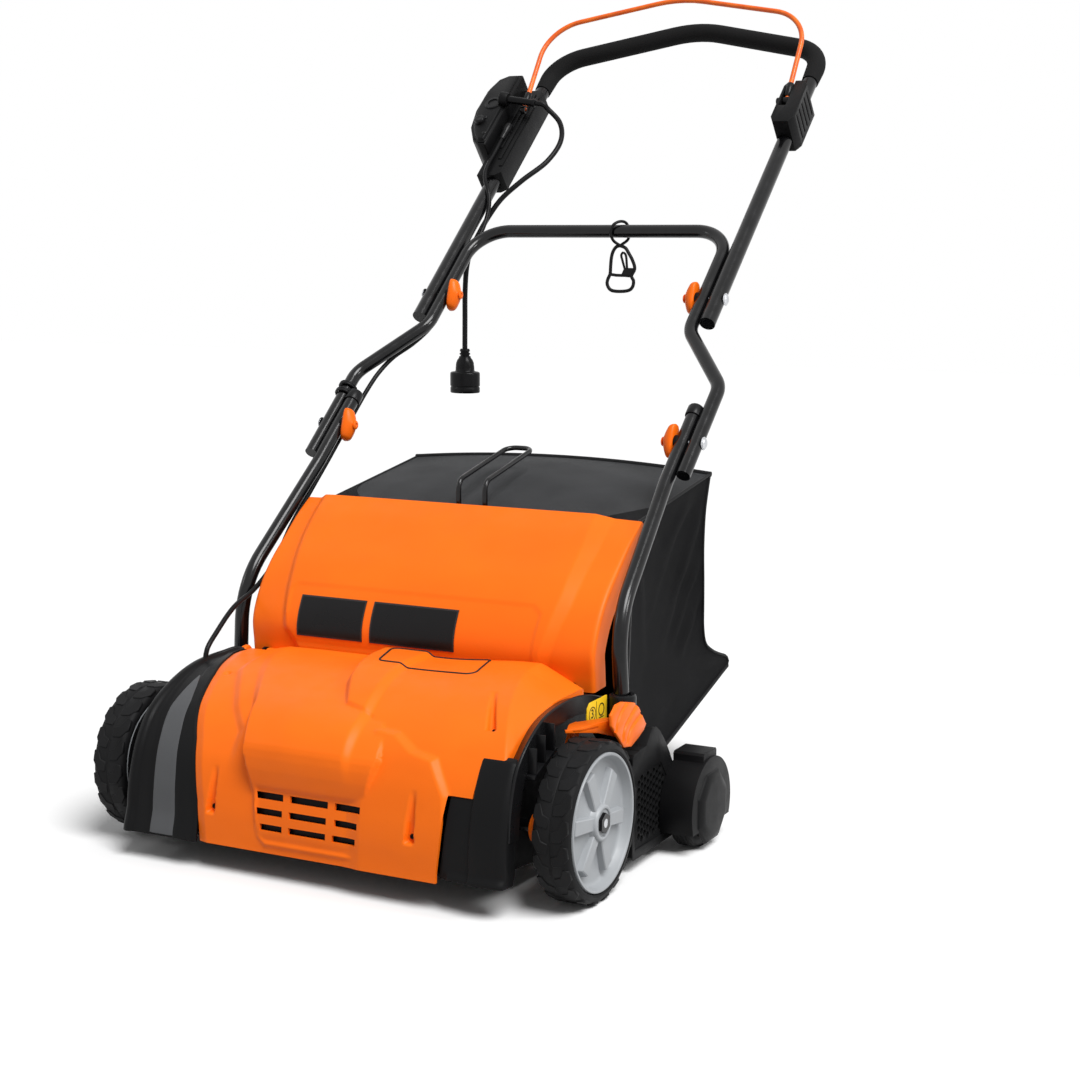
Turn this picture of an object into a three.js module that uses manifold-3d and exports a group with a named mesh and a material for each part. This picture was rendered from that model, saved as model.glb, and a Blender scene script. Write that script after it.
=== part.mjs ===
// An electric lawn dethatcher with a folding handle, a spring-tine rotor, a hinged hood and a grass bag.
// Millimetres, +Z up, the front of the machine faces -Y and +X is on the right seen from the front.
// Every part is placed from a point on the floor below the front wheels' centres, and the whole
// machine is then moved so that the middle of its footprint is at the origin.

import * as THREE from 'three'
import { mergeVertices } from 'three/addons/utils/BufferGeometryUtils.js'
import Module from 'manifold-3d'

const wasm = await Module()
wasm.setup()

// Whole machine
const rearReach = 1117
const fitGap = 0.3
const runningGap = 0.4
const overrun = 2
const weldDistance = 0.001
const bendStepDegrees = 15
const tubeSides = 12
const boreSides = 8
const rodSides = 12
const wheelSides = 32

// Places, from front to back and from low to high, that the pieces are hung from
const coverFrontY = -118
const coverLength = 281
const coverHeight = 228
const hoodLineInset = 41
const hoodLineY = coverFrontY + coverLength - hoodLineInset
const hoodSpace = 18
const hoodFrontY = hoodLineY + hoodSpace
const hoodDrop = 6
const hoodBaseZ = coverHeight - hoodDrop
const rotorSpace = 8
const rotorY = hoodLineY + rotorSpace
const deckReach = 132
const deckRearY = rotorY + deckReach
const socketReach = 33
const socketY = rotorY + socketReach
const lowerBoltReach = 233
const lowerBoltY = socketY + lowerBoltReach

// Widths that the side pieces are hung from
const coverHalfWidth = 280
const topInset = 18
const topHalfWidth = coverHalfWidth - topInset
const deckInset = 40
const deckHalfWidth = coverHalfWidth - deckInset

// Front wheels
const frontWheelRadius = 100
const frontWheelWidth = 50
const frontWheelSpace = 20.7
const frontWheelInnerX = coverHalfWidth + frontWheelSpace
const frontRimRadius = 85
const frontRimWall = 5
const frontRimDish = 12
const frontHubRadius = 19
const frontHubBoss = 6
const spokeCount = 6
const spokeWidth = 14
const spokeHeight = 7
const spindleRadius = 8
const wheelNutRadius = 13
const wheelNutWidth = 9
const treadShoulder = 6

// Front axle crank and depth lever
const crankPivotY = -50
const crankRadius = 7
const crankArmWidth = 20
const crankArmThickness = 6
const leverSpace = 3
const leverInnerX = coverHalfWidth + leverSpace
const leverPlateThickness = 6
const leverRootWidth = 24
const leverRise = 108
const leverBarDepth = 60
const leverBarHeight = 8
const leverKnobSpace = 38
const leverKnobInnerX = coverHalfWidth + leverKnobSpace
const leverKnobWidth = 26
const leverKnobLength = 124
const leverKnobHeight = 54
const leverFrontShare = 0.2
const leverKnobLowShare = 1.78
const leverKnobFrontShare = 0.25
const leverFluteShares = [0.3, 0.5, 0.7]
const leverFluteRiseShare = 0.45

// Rear wheels
const rearWheelRadius = 56
const rearWheelWidth = 30
const rearWheelSpace = 63
const rearWheelInnerX = coverHalfWidth + rearWheelSpace
const rearAxleInset = 2
const rearAxleY = deckRearY - rearAxleInset
const rearAxleRadius = 6

// Body covers
const coverThickness = 4
const splitInset = 105
const splitBottomX = coverHalfWidth - splitInset
const splitSlope = 0.41
const cornerLowInset = 103
const cornerLowX = coverHalfWidth - cornerLowInset
const cornerMidInset = 57
const cornerMidX = coverHalfWidth - cornerMidInset
const cornerLowZ = 125
const cornerMidZ = 160
const stripeWidth = 26
const stripeDepth = 2
const bulgeLeftX = -78
const bulgeRightX = 108
const bulgeHeight = 11
const bulgeCorners = 6
const ventCount = 3
const ventRows = 3
const ventWidth = 40
const ventHeight = 6
const ventPitchX = 52
const ventPitchZ = 17
const ventLowZ = 64
const badgeWidth = 92
const badgeLength = 46
const badgeThickness = 2
const badgeX = 90
const badgeY = 66

// Deck
const deckThickness = 4
const deckFloorZ = 42
const deckSillZ = 20
const rotorZ = 85
const chamberRadius = 88
const archCorners = 12
const archStartDegrees = 228
const archSweepDegrees = 110
const bearingRadius = 20
const bearingLength = 12
const postRadius = 8
const ledgeLength = 24
const ledgeThickness = 6
const ledgeReach = 56

// Rotor
const rotorShaftRadius = 12
const rotorCoreRadius = 16
const rotorInset = 35
const rotorHalfLength = deckHalfWidth - rotorInset
const tineTipRadius = 78
const tineRadius = 1.6
const tineOffset = 9
const carrierCount = 6
const carrierPitch = 64
const carrierWidth = 34
const carrierRadius = 27
const carrierTurnDegrees = 30
const tinesPerCarrier = 4
const rotorPulleyRadius = 30
const pulleyWidth = 14
const pulleySpace = 16
const pulleyX = -deckHalfWidth - pulleySpace

// Motor and belt
const motorInset = 88
const motorY = coverFrontY + motorInset
const motorDrop = 62
const motorZ = coverHeight - motorDrop
const motorRadius = 36
const motorLeftX = -70
const motorLength = 150
const motorShaftRadius = 6
const motorPulleyRadius = 12
const beltThickness = 3
const beltWidth = 10
const cradleThickness = 8
const motorFloorClearance = 0.3

// Side housings
const sideInnerX = coverHalfWidth + fitGap
const sideWidth = 57.7
const sideOuterX = sideInnerX + sideWidth
const sideLead = 22
const sideFrontY = rotorY - sideLead
const sideTopZ = 158
const sideTail = 20
const sideRearY = rearAxleY + sideTail
const sideBottomZ = 17
const sideWall = 5
const combCell = 9
const combWall = 3
const combDepth = 3
const socketRadius = 18
const socketTopZ = 218
const socketDepth = 44
const socketNeckShare = 0.7
const hollowTopShare = 1.9
const combRows = 8
const combColumns = 5
const rearCoverWall = 5
const rearCoverReach = 46
const rearCoverOuterX = sideOuterX + rearCoverReach
const rearCoverBulge = 5
const rearTabWidth = 44
const rearTabTopZ = 130
const rearBulgeShare = 0.6
const rearOpenShare = 0.55
const backFrontShare = 0.7
const backRearShare = 0.3
const backLowShare = 0.6
const backHighShare = 1.5
const spineLowShare = 1.4
const spineRise = 7.5

// Depth plate
const plateLead = 38
const plateY = rotorY - plateLead
const plateLength = 58
const plateLowZ = 184
const plateHeight = 34
const plateThickness = 2

// Lower handle tubes
const lowerTubeRadius = 10
const tubeWall = 1.5
const socketSpace = 16
const socketX = coverHalfWidth + socketSpace
const lowerBoltZ = 517
const handleAngleDegrees = 41.36
const lowerTubeOverrun = 63
const lowerTubeStraight = 75
const lowerBendRadius = 120
const lowerTopBendRadius = 150

// Middle handle
const middleLegSpace = 18.2
const middleLegLowX = coverHalfWidth + middleLegSpace
const middleLegHighX = 217.5
const middleLegEnd = 60
const shoulderLow = 108
const shoulderHigh = 216
const shoulderBendRadius = 45
const crossbarS = 430.5
const crossbarBendRadius = 58
const upperBoltS = 282.5

// Upper handle
const upperTubeRadius = 12
const upperTubeEndS = 231.5
const cornerS = 864.6
const apexS = 940
const cornerBendRadius = 65
const apexBendRadius = 140
const gripRadius = 15
const gripStartS = 786

// Joint hardware
const boltRadius = 3
const boltHeadRadius = 8
const boltHeadThickness = 4
const knobLength = 47
const knobWidth = 28
const knobThickness = 19
const knobBossRadius = 10
const knobBossThickness = 6
const knobGap = 1.5
const knobSides = 16
const knobWaistShare = 0.22

// Switch box and bail bracket
const boxLeftX = -316
const boxStepX = -262
const boxRightX = -222
const boxLowS = 548
const boxHighS = 783
const boxBodyLowS = 600
const boxFloorN = -20
const boxStepN = 17.5
const boxTopN = 46
const cableX = -250
const cableGlandS = 655
const cordGlandS = 705
const cordGlandN = 50
const glandLength = 20
const glandHeight = 10
const glandWidth = 16
const bracketLowS = 640
const bracketHighS = 740
const bailPivotS = 700
const bailPivotN = 30
const bailPinRadius = 3
const bailSlotWidth = 12
const buttonRadius = 9
const buttonHeight = 8
const buttonX = -289
const buttonS = 652
const buttonTravel = 5

// Bail
const bailRadius = 4
const bailX = 232
const bailTiltDegrees = 15
const bailCornerQ = 176
const bailApexQ = 245
const bailCornerRadius = 55
const bailEyeRadius = 7

// Hood
const hoodLength = 153
const hoodHeight = 199
const hoodInset = 15
const hoodHalfWidth = coverHalfWidth - hoodInset
const hoodThickness = 4
const hoodSkirtDepth = 34
const hingePinRadius = 4
const hingeBarrelRadius = 8
const hingeLugRadius = 9
const hingeWebShare = 1.6
const labelThickness = 1
const labelWidth = 100
const labelHeight = 50
const leftLabelWidth = 78
const labelLift = 62
const labelInset = 113
const leftLabelX = labelInset - hoodHalfWidth
const labelPitch = 110
const rightLabelX = leftLabelX + labelPitch

// Grass bag
const bagSpace = 12
const bagFrontLowY = deckRearY + bagSpace
const bagFrontLowZ = 46
const bagLean = 30
const bagFrontHighY = bagFrontLowY + bagLean
const bagFrontHighZ = 416
const bagInset = 30
const bagHalfWidth = coverHalfWidth - bagInset
const bagLength = 376
const bagHeight = 425
const bagWall = 3
const frameWireRadius = 3
const frameCornerRadius = 40
const frameButtGap = 1
const bagHandleHalfWidth = 21
const bagHandleRise = 42
const bagHandleReach = 146
const bagHandleClimb = 32
const bagHandleBend = 16

// Cord, cable and hook
const cordRadius = 4.25
const cableRadius = 3.5
const reliefRadius = 7
const reliefLength = 56
const plugNeckRadius = 9
const plugTaperShare = 0.8
const reliefTipShare = 1.3
const plugNeckLength = 15
const plugBodyRadius = 16
const plugBodyLength = 22
const plugFlangeRadius = 24.5
const plugFlangeLength = 35
const hookX = 32
const hookRingWidth = 16
const hookRingWall = 5
const hookPlateThickness = 7
const hookWidth = 50
const hookLength = 82
const hookBar = 7

// Colours
const blackPlastic = { color: 0x1b1c1e, roughness: 0.55, metalness: 0 }
const orangePlastic = { color: 0xf26a1b, roughness: 0.45, metalness: 0 }
const greyPlastic = { color: 0x9ba1a5, roughness: 0.5, metalness: 0 }
const darkGreyPlastic = { color: 0x4d4f52, roughness: 0.5, metalness: 0 }
const yellowPlastic = { color: 0xf4d21f, roughness: 0.5, metalness: 0 }
const blackPaint = { color: 0x111213, roughness: 0.3, metalness: 0.4 }
const tyreRubber = { color: 0x1d1e20, roughness: 0.85, metalness: 0 }
const softRubber = { color: 0x161718, roughness: 0.75, metalness: 0 }
const steel = { color: 0xb4b8bb, roughness: 0.35, metalness: 0.9 }
const fabric = { color: 0x26282b, roughness: 0.95, metalness: 0 }

const radians = THREE.MathUtils.degToRad
const alongX = new THREE.Matrix4().makeBasis(
  new THREE.Vector3(0, 1, 0), new THREE.Vector3(0, 0, 1), new THREE.Vector3(1, 0, 0))
const alongY = new THREE.Matrix4().makeBasis(
  new THREE.Vector3(0, 0, 1), new THREE.Vector3(1, 0, 0), new THREE.Vector3(0, 1, 0))

// Solids that can be cut and joined

// The closed surface of a geometry, with shared corners welded and flat slivers left out.
function solidOf(geometry) {
  const bare = geometry.index ? geometry.toNonIndexed() : geometry.clone()
  bare.deleteAttribute('normal')
  bare.deleteAttribute('uv')
  const welded = mergeVertices(bare, weldDistance)
  const corners = welded.index.array
  const kept = []
  for (let i = 0; i < corners.length; i += 3) {
    const [a, b, c] = corners.slice(i, i + 3)
    if (a !== b && b !== c && c !== a) kept.push(a, b, c)
  }
  const place = welded.attributes.position.array
  const faces = volumeOf(place, kept) < 0 ? kept.reverse() : kept
  const mesh = new wasm.Mesh({
    numProp: 3, vertProperties: place, triVerts: new Uint32Array(faces),
  })
  return new wasm.Manifold(mesh)
}

// The signed volume inside a list of triangles.
function volumeOf(place, faces) {
  const corner = (i) => new THREE.Vector3().fromArray(place, faces[i] * 3)
  let total = 0
  for (let i = 0; i < faces.length; i += 3) {
    total += corner(i).dot(corner(i + 1).cross(corner(i + 2)))
  }
  return total
}

// A solid turned back into a geometry.
function geometryOf(solid) {
  const mesh = solid.getMesh()
  const geometry = new THREE.BufferGeometry()
  geometry.setAttribute('position', new THREE.BufferAttribute(mesh.vertProperties, 3))
  geometry.setIndex(new THREE.BufferAttribute(mesh.triVerts, 1))
  geometry.computeVertexNormals()
  return geometry
}

// Solids joined into one.
function joined(...solids) {
  return solids.reduce((whole, next) => whole.add(next))
}

// One named piece of the machine with its own material.
function piece(name, solid, look) {
  const mesh = new THREE.Mesh(geometryOf(solid), new THREE.MeshStandardMaterial(look))
  mesh.name = name
  return mesh
}

// Basic shapes

// A prism whose outline of [y, z] points is drawn out along X.
function prismX(points, fromX, toX) {
  const shape = new THREE.Shape(points.map(([y, z]) => new THREE.Vector2(y, z)))
  const drawn = new THREE.ExtrudeGeometry(shape, { depth: toX - fromX, bevelEnabled: false })
  return solidOf(drawn.applyMatrix4(alongX).translate(fromX, 0, 0))
}

// A prism whose outline of [x, z] points is drawn out along Y.
function prismY(points, fromY, toY) {
  const shape = new THREE.Shape(points.map(([x, z]) => new THREE.Vector2(z, x)))
  const drawn = new THREE.ExtrudeGeometry(shape, { depth: toY - fromY, bevelEnabled: false })
  return solidOf(drawn.applyMatrix4(alongY).translate(0, fromY, 0))
}

// A prism whose outline of [x, y] points is drawn out along Z.
function prismZ(points, fromZ, toZ) {
  const shape = new THREE.Shape(points.map(([x, y]) => new THREE.Vector2(x, y)))
  const drawn = new THREE.ExtrudeGeometry(shape, { depth: toZ - fromZ, bevelEnabled: false })
  return solidOf(drawn.translate(0, 0, fromZ))
}

// A box between two opposite corners.
function block(low, high) {
  const [x, y, z] = high.map((value, axis) => value - low[axis])
  const [middleX, middleY, middleZ] = high.map((value, axis) => (value + low[axis]) / 2)
  return solidOf(new THREE.BoxGeometry(x, y, z).translate(middleX, middleY, middleZ))
}

// A round rod along X between two places.
function rodX(radius, fromX, toX, y, z, sides = rodSides) {
  const rod = new THREE.CylinderGeometry(radius, radius, toX - fromX, sides)
  return solidOf(rod.rotateZ(Math.PI / 2).translate((fromX + toX) / 2, y, z))
}

// A body turned about the X axis from [radius, x] points that close on themselves.
function turnX(points, y, z, sides) {
  const outline = [...points, points[0]].map(([radius, x]) => new THREE.Vector2(radius, x))
  const turned = new THREE.LatheGeometry(outline, sides).rotateZ(-Math.PI / 2)
  return solidOf(turned.translate(0, y, z))
}

// A straight round bar between two points in space.
function bar(from, to, radius, sides) {
  const length = from.distanceTo(to)
  const rod = new THREE.CylinderGeometry(radius, radius, length, sides)
  const turn = new THREE.Quaternion().setFromUnitVectors(
    new THREE.Vector3(0, 1, 0), to.clone().sub(from).normalize())
  rod.applyQuaternion(turn)
  const middle = from.clone().add(to).multiplyScalar(1 / 2)
  return solidOf(rod.translate(middle.x, middle.y, middle.z))
}

// The points of a circle of the given radius.
function circle(radius, sides) {
  return Array.from({ length: sides }, (_, i) => {
    const angle = (2 * Math.PI * i) / sides
    return new THREE.Vector2(radius * Math.cos(angle), radius * Math.sin(angle))
  })
}

// A chain of points moved sideways by a distance, to the right of its direction.
function inset(chain, distance) {
  const normals = chain.slice(1).map(([y, z], i) => {
    const [fromY, fromZ] = chain[i]
    const length = Math.hypot(y - fromY, z - fromZ)
    return [(z - fromZ) / length, (fromY - y) / length]
  })
  return chain.map(([y, z], i) => {
    const before = normals[Math.max(i - 1, 0)]
    const after = normals[Math.min(i, normals.length - 1)]
    const sumY = before[0] + after[0]
    const sumZ = before[1] + after[1]
    const reach = (2 * distance) / (sumY * sumY + sumZ * sumZ)
    return [y + sumY * reach, z + sumZ * reach]
  })
}

// A thin sheet along X that follows a chain of points, on its right-hand side.
function sheetX(chain, outside, inside, fromX, toX) {
  return prismX([...inset(chain, outside), ...inset(chain, inside).reverse()], fromX, toX)
}

// Bent tubes

// A run of straight lengths and round bends, measured only at the ends of its straights and
// along its bends.
class BentRun extends THREE.Curve {
  constructor(corners) {
    super()
    this.stations = []
    corners.forEach((corner, i) => {
      if (i === 0 || i === corners.length - 1) {
        const other = i === 0 ? corners[1] : corners[i - 1]
        const sign = i === 0 ? 1 : -1
        const tangent = other.point.clone().sub(corner.point).multiplyScalar(sign).normalize()
        this.stations.push({ point: corner.point, tangent })
        return
      }
      this.addBend(corners[i - 1].point, corner, corners[i + 1].point)
    })
  }

  addBend(before, corner, after) {
    const inward = corner.point.clone().sub(before).normalize()
    const outward = after.clone().sub(corner.point).normalize()
    const angle = inward.angleTo(outward)
    const reach = corner.bend * Math.tan(angle / 2)
    const start = corner.point.clone().addScaledVector(inward, -reach)
    const sideways = outward.clone().addScaledVector(inward, -inward.dot(outward)).normalize()
    const steps = Math.max(2, Math.ceil(THREE.MathUtils.radToDeg(angle) / bendStepDegrees))
    for (let i = 0; i <= steps; i += 1) {
      const turn = (angle * i) / steps
      const point = start.clone()
        .addScaledVector(inward, corner.bend * Math.sin(turn))
        .addScaledVector(sideways, corner.bend * (1 - Math.cos(turn)))
      const tangent = inward.clone().multiplyScalar(Math.cos(turn))
        .addScaledVector(sideways, Math.sin(turn))
      this.stations.push({ point, tangent })
    }
  }

  station(share) {
    return this.stations[Math.round(share * (this.stations.length - 1))]
  }

  getPoint(share) {
    return this.station(share).point.clone()
  }

  getTangent(share) {
    return this.station(share).tangent.clone()
  }

  getUtoTmapping(share) {
    return share
  }
}

// A corner of a bent run, with its bend radius.
function corner(x, y, z, bend = 0) {
  return { point: new THREE.Vector3(x, y, z), bend }
}

// A bent round bar, with a bore along it where a bore radius is given.
function bentBar(corners, radius, bore = 0, sides = tubeSides) {
  const run = new BentRun(corners)
  const section = new THREE.Shape(circle(radius, sides))
  if (bore > 0) section.holes.push(new THREE.Path(circle(bore, boreSides)))
  const steps = run.stations.length - 1
  return solidOf(new THREE.ExtrudeGeometry(section, { steps, extrudePath: run }))
}

// A flexible round cord through points chosen by hand.
function cordThrough(points, radius, sides) {
  const run = new THREE.CatmullRomCurve3(points.map((point) => new THREE.Vector3(...point)))
  const steps = Math.ceil(run.getLength() / (radius * 6))
  const section = new THREE.Shape(circle(radius, sides))
  return solidOf(new THREE.ExtrudeGeometry(section, { steps, extrudePath: run }))
}

// Outlines that several pieces share

// The side view of the covers, from the front bottom edge over the top to the rear.
const coverOutlineShares = [
  [0, 0.16], [0.011, 0.35], [0.032, 0.478], [0.082, 0.645], [0.171, 0.798],
  [0.32, 0.912], [0.509, 0.985], [0.747, 1], [0.854, 0.996], [1, 0.925],
]
const coverChain = coverOutlineShares.map(([along, up]) => [
  coverFrontY + along * coverLength, up * coverHeight])
const orangeChain = coverChain.slice(0, -1)

// The side view of the hood, from its hinge to its rear edge.
const hoodOutlineShares = [
  [0.05, 0.06], [0.04, 0.236], [0.15, 0.432], [0.327, 0.603], [0.556, 0.754],
  [0.784, 0.894], [1, 1],
]
const hoodChain = hoodOutlineShares.map(([along, up]) => [
  hoodFrontY + along * hoodLength, hoodBaseZ + up * hoodHeight])

// Chassis pieces

// The wall between the orange cover and the belt cover, seen from above.
function splitOutline(shift) {
  const reach = coverLength + coverHalfWidth
  const splitX = (y) => -splitBottomX - splitSlope * (y - coverFrontY) + shift
  return [
    [-reach, coverFrontY - reach], [splitX(coverFrontY - reach), coverFrontY - reach],
    [splitX(hoodLineY), hoodLineY], [-topHalfWidth + shift, hoodLineY],
    [-topHalfWidth + shift, reach], [-reach, reach],
  ]
}

// The stepped front view of the black right corner.
function cornerOutline(shift) {
  return [
    [cornerLowX - shift, -overrun], [coverHalfWidth + overrun, -overrun],
    [coverHalfWidth + overrun, coverHeight + bulgeHeight + overrun],
    [topHalfWidth - shift, coverHeight + bulgeHeight + overrun],
    [topHalfWidth - shift, cornerMidZ + shift], [cornerMidX - shift, cornerMidZ + shift],
    [cornerMidX - shift, cornerLowZ + shift], [cornerLowX - shift, cornerLowZ + shift],
  ]
}

function deckShell() {
  const wallX = [deckHalfWidth - deckThickness, deckHalfWidth]
  const inner = inset(coverChain, coverThickness + fitGap)
  const toeShare = (deckFloorZ - inner[0][1]) / (inner[1][1] - inner[0][1])
  inner[0] = [inner[0][0] + (inner[1][0] - inner[0][0]) * toeShare, deckFloorZ]
  const sideOutline = [
    ...inner, [rotorY + bearingRadius * 3, sideTopZ], [deckRearY, rotorZ], [deckRearY, deckSillZ],
    [rotorY - chamberRadius / 2, deckSillZ],
  ]
  const lug = (fromX, toX) => rodX(hingeLugRadius, fromX, toX, hoodFrontY, hoodBaseZ)
  const side = (sign) => {
    const [fromX, toX] = sign < 0 ? [-wallX[1], -wallX[0]] : wallX
    const bearingX = sign < 0 ? [-wallX[1] - overrun, -wallX[0] + bearingLength] :
      [wallX[0] - bearingLength, wallX[1] + overrun]
    const ledgeTopZ = bagFrontLowZ - frameWireRadius - fitGap
    const ledge = block(
      [sign < 0 ? fromX : fromX - ledgeReach, deckRearY - ledgeThickness * 2, ledgeTopZ - ledgeThickness],
      [sign < 0 ? toX + ledgeReach : toX, deckRearY + ledgeLength, ledgeTopZ])
    return joined(
      prismX(sideOutline, fromX, toX), lug(fromX, toX), ledge,
      rodX(bearingRadius, ...bearingX, rotorY, rotorZ))
  }
  const post = (sign, y, z) => {
    const [fromX, toX] = [deckHalfWidth - overrun, coverHalfWidth]
    return sign < 0 ? rodX(postRadius, -toX, -fromX, y, z) : rodX(postRadius, fromX, toX, y, z)
  }
  const posts = [-1, 1].flatMap((sign) => [
    post(sign, deckRearY - postRadius * 3, deckSillZ + postRadius * 2),
    post(sign, rotorY + bearingRadius * 3, rotorZ + bearingRadius)])
  const archChain = Array.from({ length: archCorners }, (_, i) => {
    const angle = radians(archStartDegrees - (i * archSweepDegrees) / (archCorners - 1))
    return [rotorY + (chamberRadius + deckThickness) * Math.cos(angle),
      rotorZ + (chamberRadius + deckThickness) * Math.sin(angle)]
  })
  const archX = [-deckHalfWidth + overrun, deckHalfWidth - overrun]
  const arch = sheetX(archChain, 0, deckThickness, ...archX)
  const archTop = archChain[archChain.length - 1]
  const hingeWall = sheetX(
    [[archTop[0], archTop[1] - overrun],
      [hoodFrontY - hingeBarrelRadius - deckThickness, hoodBaseZ - hingeBarrelRadius]],
    0, deckThickness, ...archX)
  const floorRear = rotorY - chamberRadius
  const floor = block(
    [archX[0], inner[0][0], deckFloorZ], [archX[1], floorRear + overrun, deckFloorZ + deckThickness])
  const sill = block(
    [archX[0], deckRearY - postRadius, deckSillZ],
    [archX[1], deckRearY, deckSillZ + deckThickness])
  const cradleTop = motorZ - motorRadius - motorFloorClearance
  const cradle = (x) => block(
    [x, motorY - motorRadius / 2, deckFloorZ + overrun],
    [x + cradleThickness, motorY + motorRadius / 2, cradleTop])
  const cradles = [motorLeftX + cradleThickness, motorLeftX + motorLength - cradleThickness * 2].map(cradle)
  const cradleSlot = rodX(
    crankRadius + fitGap * 3, -deckHalfWidth, deckHalfWidth, crankPivotY, frontWheelRadius)
  const whole = joined(side(-1), side(1), ...posts, arch, hingeWall, floor, sill, ...cradles)
  const reach = coverHalfWidth + overrun
  return whole
    .subtract(rodX(rotorShaftRadius + runningGap, -reach, reach, rotorY, rotorZ, rodSides))
    .subtract(cradleSlot)
    .subtract(rodX(crankRadius + runningGap, -reach, reach, crankPivotY, frontWheelRadius))
    .subtract(rodX(rearAxleRadius + fitGap, -reach, reach, rearAxleY, rearWheelRadius))
    .subtract(rodX(hingePinRadius + fitGap, -reach, reach, hoodFrontY, hoodBaseZ))
    .subtract(rodX(motorShaftRadius + runningGap, -reach, motorLeftX, motorY, motorZ))
}

function frontCover() {
  const skin = sheetX(orangeChain, 0, coverThickness, -coverHalfWidth, topHalfWidth)
  const bulgeChain = [
    ...inset(orangeChain, -bulgeHeight).slice(0, bulgeCorners),
    inset(orangeChain, coverThickness / 4)[bulgeCorners]]
  const bulgeInner = [bulgeLeftX + coverThickness, bulgeRightX - coverThickness]
  const bulgeSide = [
    ...bulgeChain,
    ...inset(orangeChain, (coverThickness * 3) / 4).slice(0, bulgeCorners + 1).reverse()]
  const bulge = joined(
    sheetX(bulgeChain, 0, coverThickness, bulgeLeftX, bulgeRightX),
    prismX(bulgeSide, bulgeLeftX, bulgeInner[0]),
    prismX(bulgeSide, bulgeInner[1], bulgeRightX))
  const window = sheetX(
    orangeChain.slice(0, bulgeCorners), -overrun / 2, coverThickness + overrun,
    bulgeInner[0] + overrun, bulgeInner[1] - overrun)
  const badge = sheetX(
    orangeChain.slice(bulgeCorners, bulgeCorners + 2), -badgeThickness, overrun / 2,
    badgeX - badgeWidth / 2, badgeX + badgeWidth / 2)
    .intersect(block(
      [badgeX - badgeWidth, badgeY - badgeLength / 2, 0],
      [badgeX + badgeWidth, badgeY + badgeLength / 2, coverHeight * 2]))
  const vents = []
  const ventMiddle = (bulgeLeftX + bulgeRightX) / 2
  for (let row = 0; row < ventRows; row += 1) {
    for (let column = 0; column < ventCount; column += 1) {
      const x = ventMiddle + (column - (ventCount - 1) / 2) * ventPitchX
      const z = ventLowZ + row * ventPitchZ
      vents.push(block(
        [x - ventWidth / 2, coverFrontY - bulgeHeight * 3, z],
        [x + ventWidth / 2, coverFrontY + bulgeHeight, z + ventHeight]))
    }
  }
  return joined(...vents.reduce(
    (shell, vent) => [shell[0].subtract(vent)],
    [joined(skin.subtract(window), bulge, badge)]))
    .subtract(prismZ(splitOutline(fitGap), 0, coverHeight * 2))
    .subtract(prismY(cornerOutline(fitGap), coverFrontY * 2, coverLength))
}

// The outer wall of a side cover, with the crank bore through it.
function coverWall(sign) {
  const wall = [...coverChain, [coverFrontY + coverLength, coverChain[0][1]]]
  const [fromX, toX] = sign < 0 ? [-coverHalfWidth, coverThickness - coverHalfWidth] :
    [coverHalfWidth - coverThickness, coverHalfWidth]
  return prismX(wall, fromX, toX)
    .subtract(rodX(crankRadius + runningGap, fromX - overrun, toX + overrun, crankPivotY, frontWheelRadius))
}

// The holes in a side cover for the deck's posts and, on the right, nothing else.
function postHoles(fromX, toX) {
  return joined(
    rodX(postRadius + fitGap, fromX, toX, deckRearY - postRadius * 3, deckSillZ + postRadius * 2),
    rodX(postRadius + fitGap, fromX, toX, rotorY + bearingRadius * 3, rotorZ + bearingRadius))
}

function beltCover() {
  const wall = coverWall(-1)
  const skin = sheetX(coverChain, 0, coverThickness, -coverHalfWidth, topHalfWidth)
    .intersect(prismZ(splitOutline(0), 0, coverHeight * 2))
    .subtract(block(
      [-topHalfWidth - fitGap, hoodLineY - fitGap, 0],
      [topHalfWidth, coverLength, coverHeight * 2]))
  const groove = sheetX(
    coverChain, -overrun, stripeDepth, -coverHalfWidth + stripeWidth, -coverHalfWidth + stripeWidth * 2)
  return joined(skin, wall).subtract(groove)
    .subtract(postHoles(-coverHalfWidth - overrun, -deckHalfWidth - overrun * 2))
}

function beltStripe() {
  const low = coverChain.slice(0, -2)
  return sheetX(
    low, 0, stripeDepth - fitGap,
    -coverHalfWidth + stripeWidth + fitGap, -coverHalfWidth + stripeWidth * 2 - fitGap)
    .intersect(prismZ(splitOutline(-overrun), 0, coverHeight * 2))
}

function rightCorner() {
  const skin = sheetX(coverChain, 0, coverThickness, 0, coverHalfWidth)
    .intersect(prismY(cornerOutline(0), coverFrontY * 2, coverLength))
    .subtract(block(
      [0, hoodLineY - fitGap, 0],
      [topHalfWidth + fitGap, coverLength, coverHeight * 2]))
  return joined(skin, coverWall(1))
    .subtract(postHoles(deckHalfWidth + overrun * 2, coverHalfWidth + overrun))
}

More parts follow.
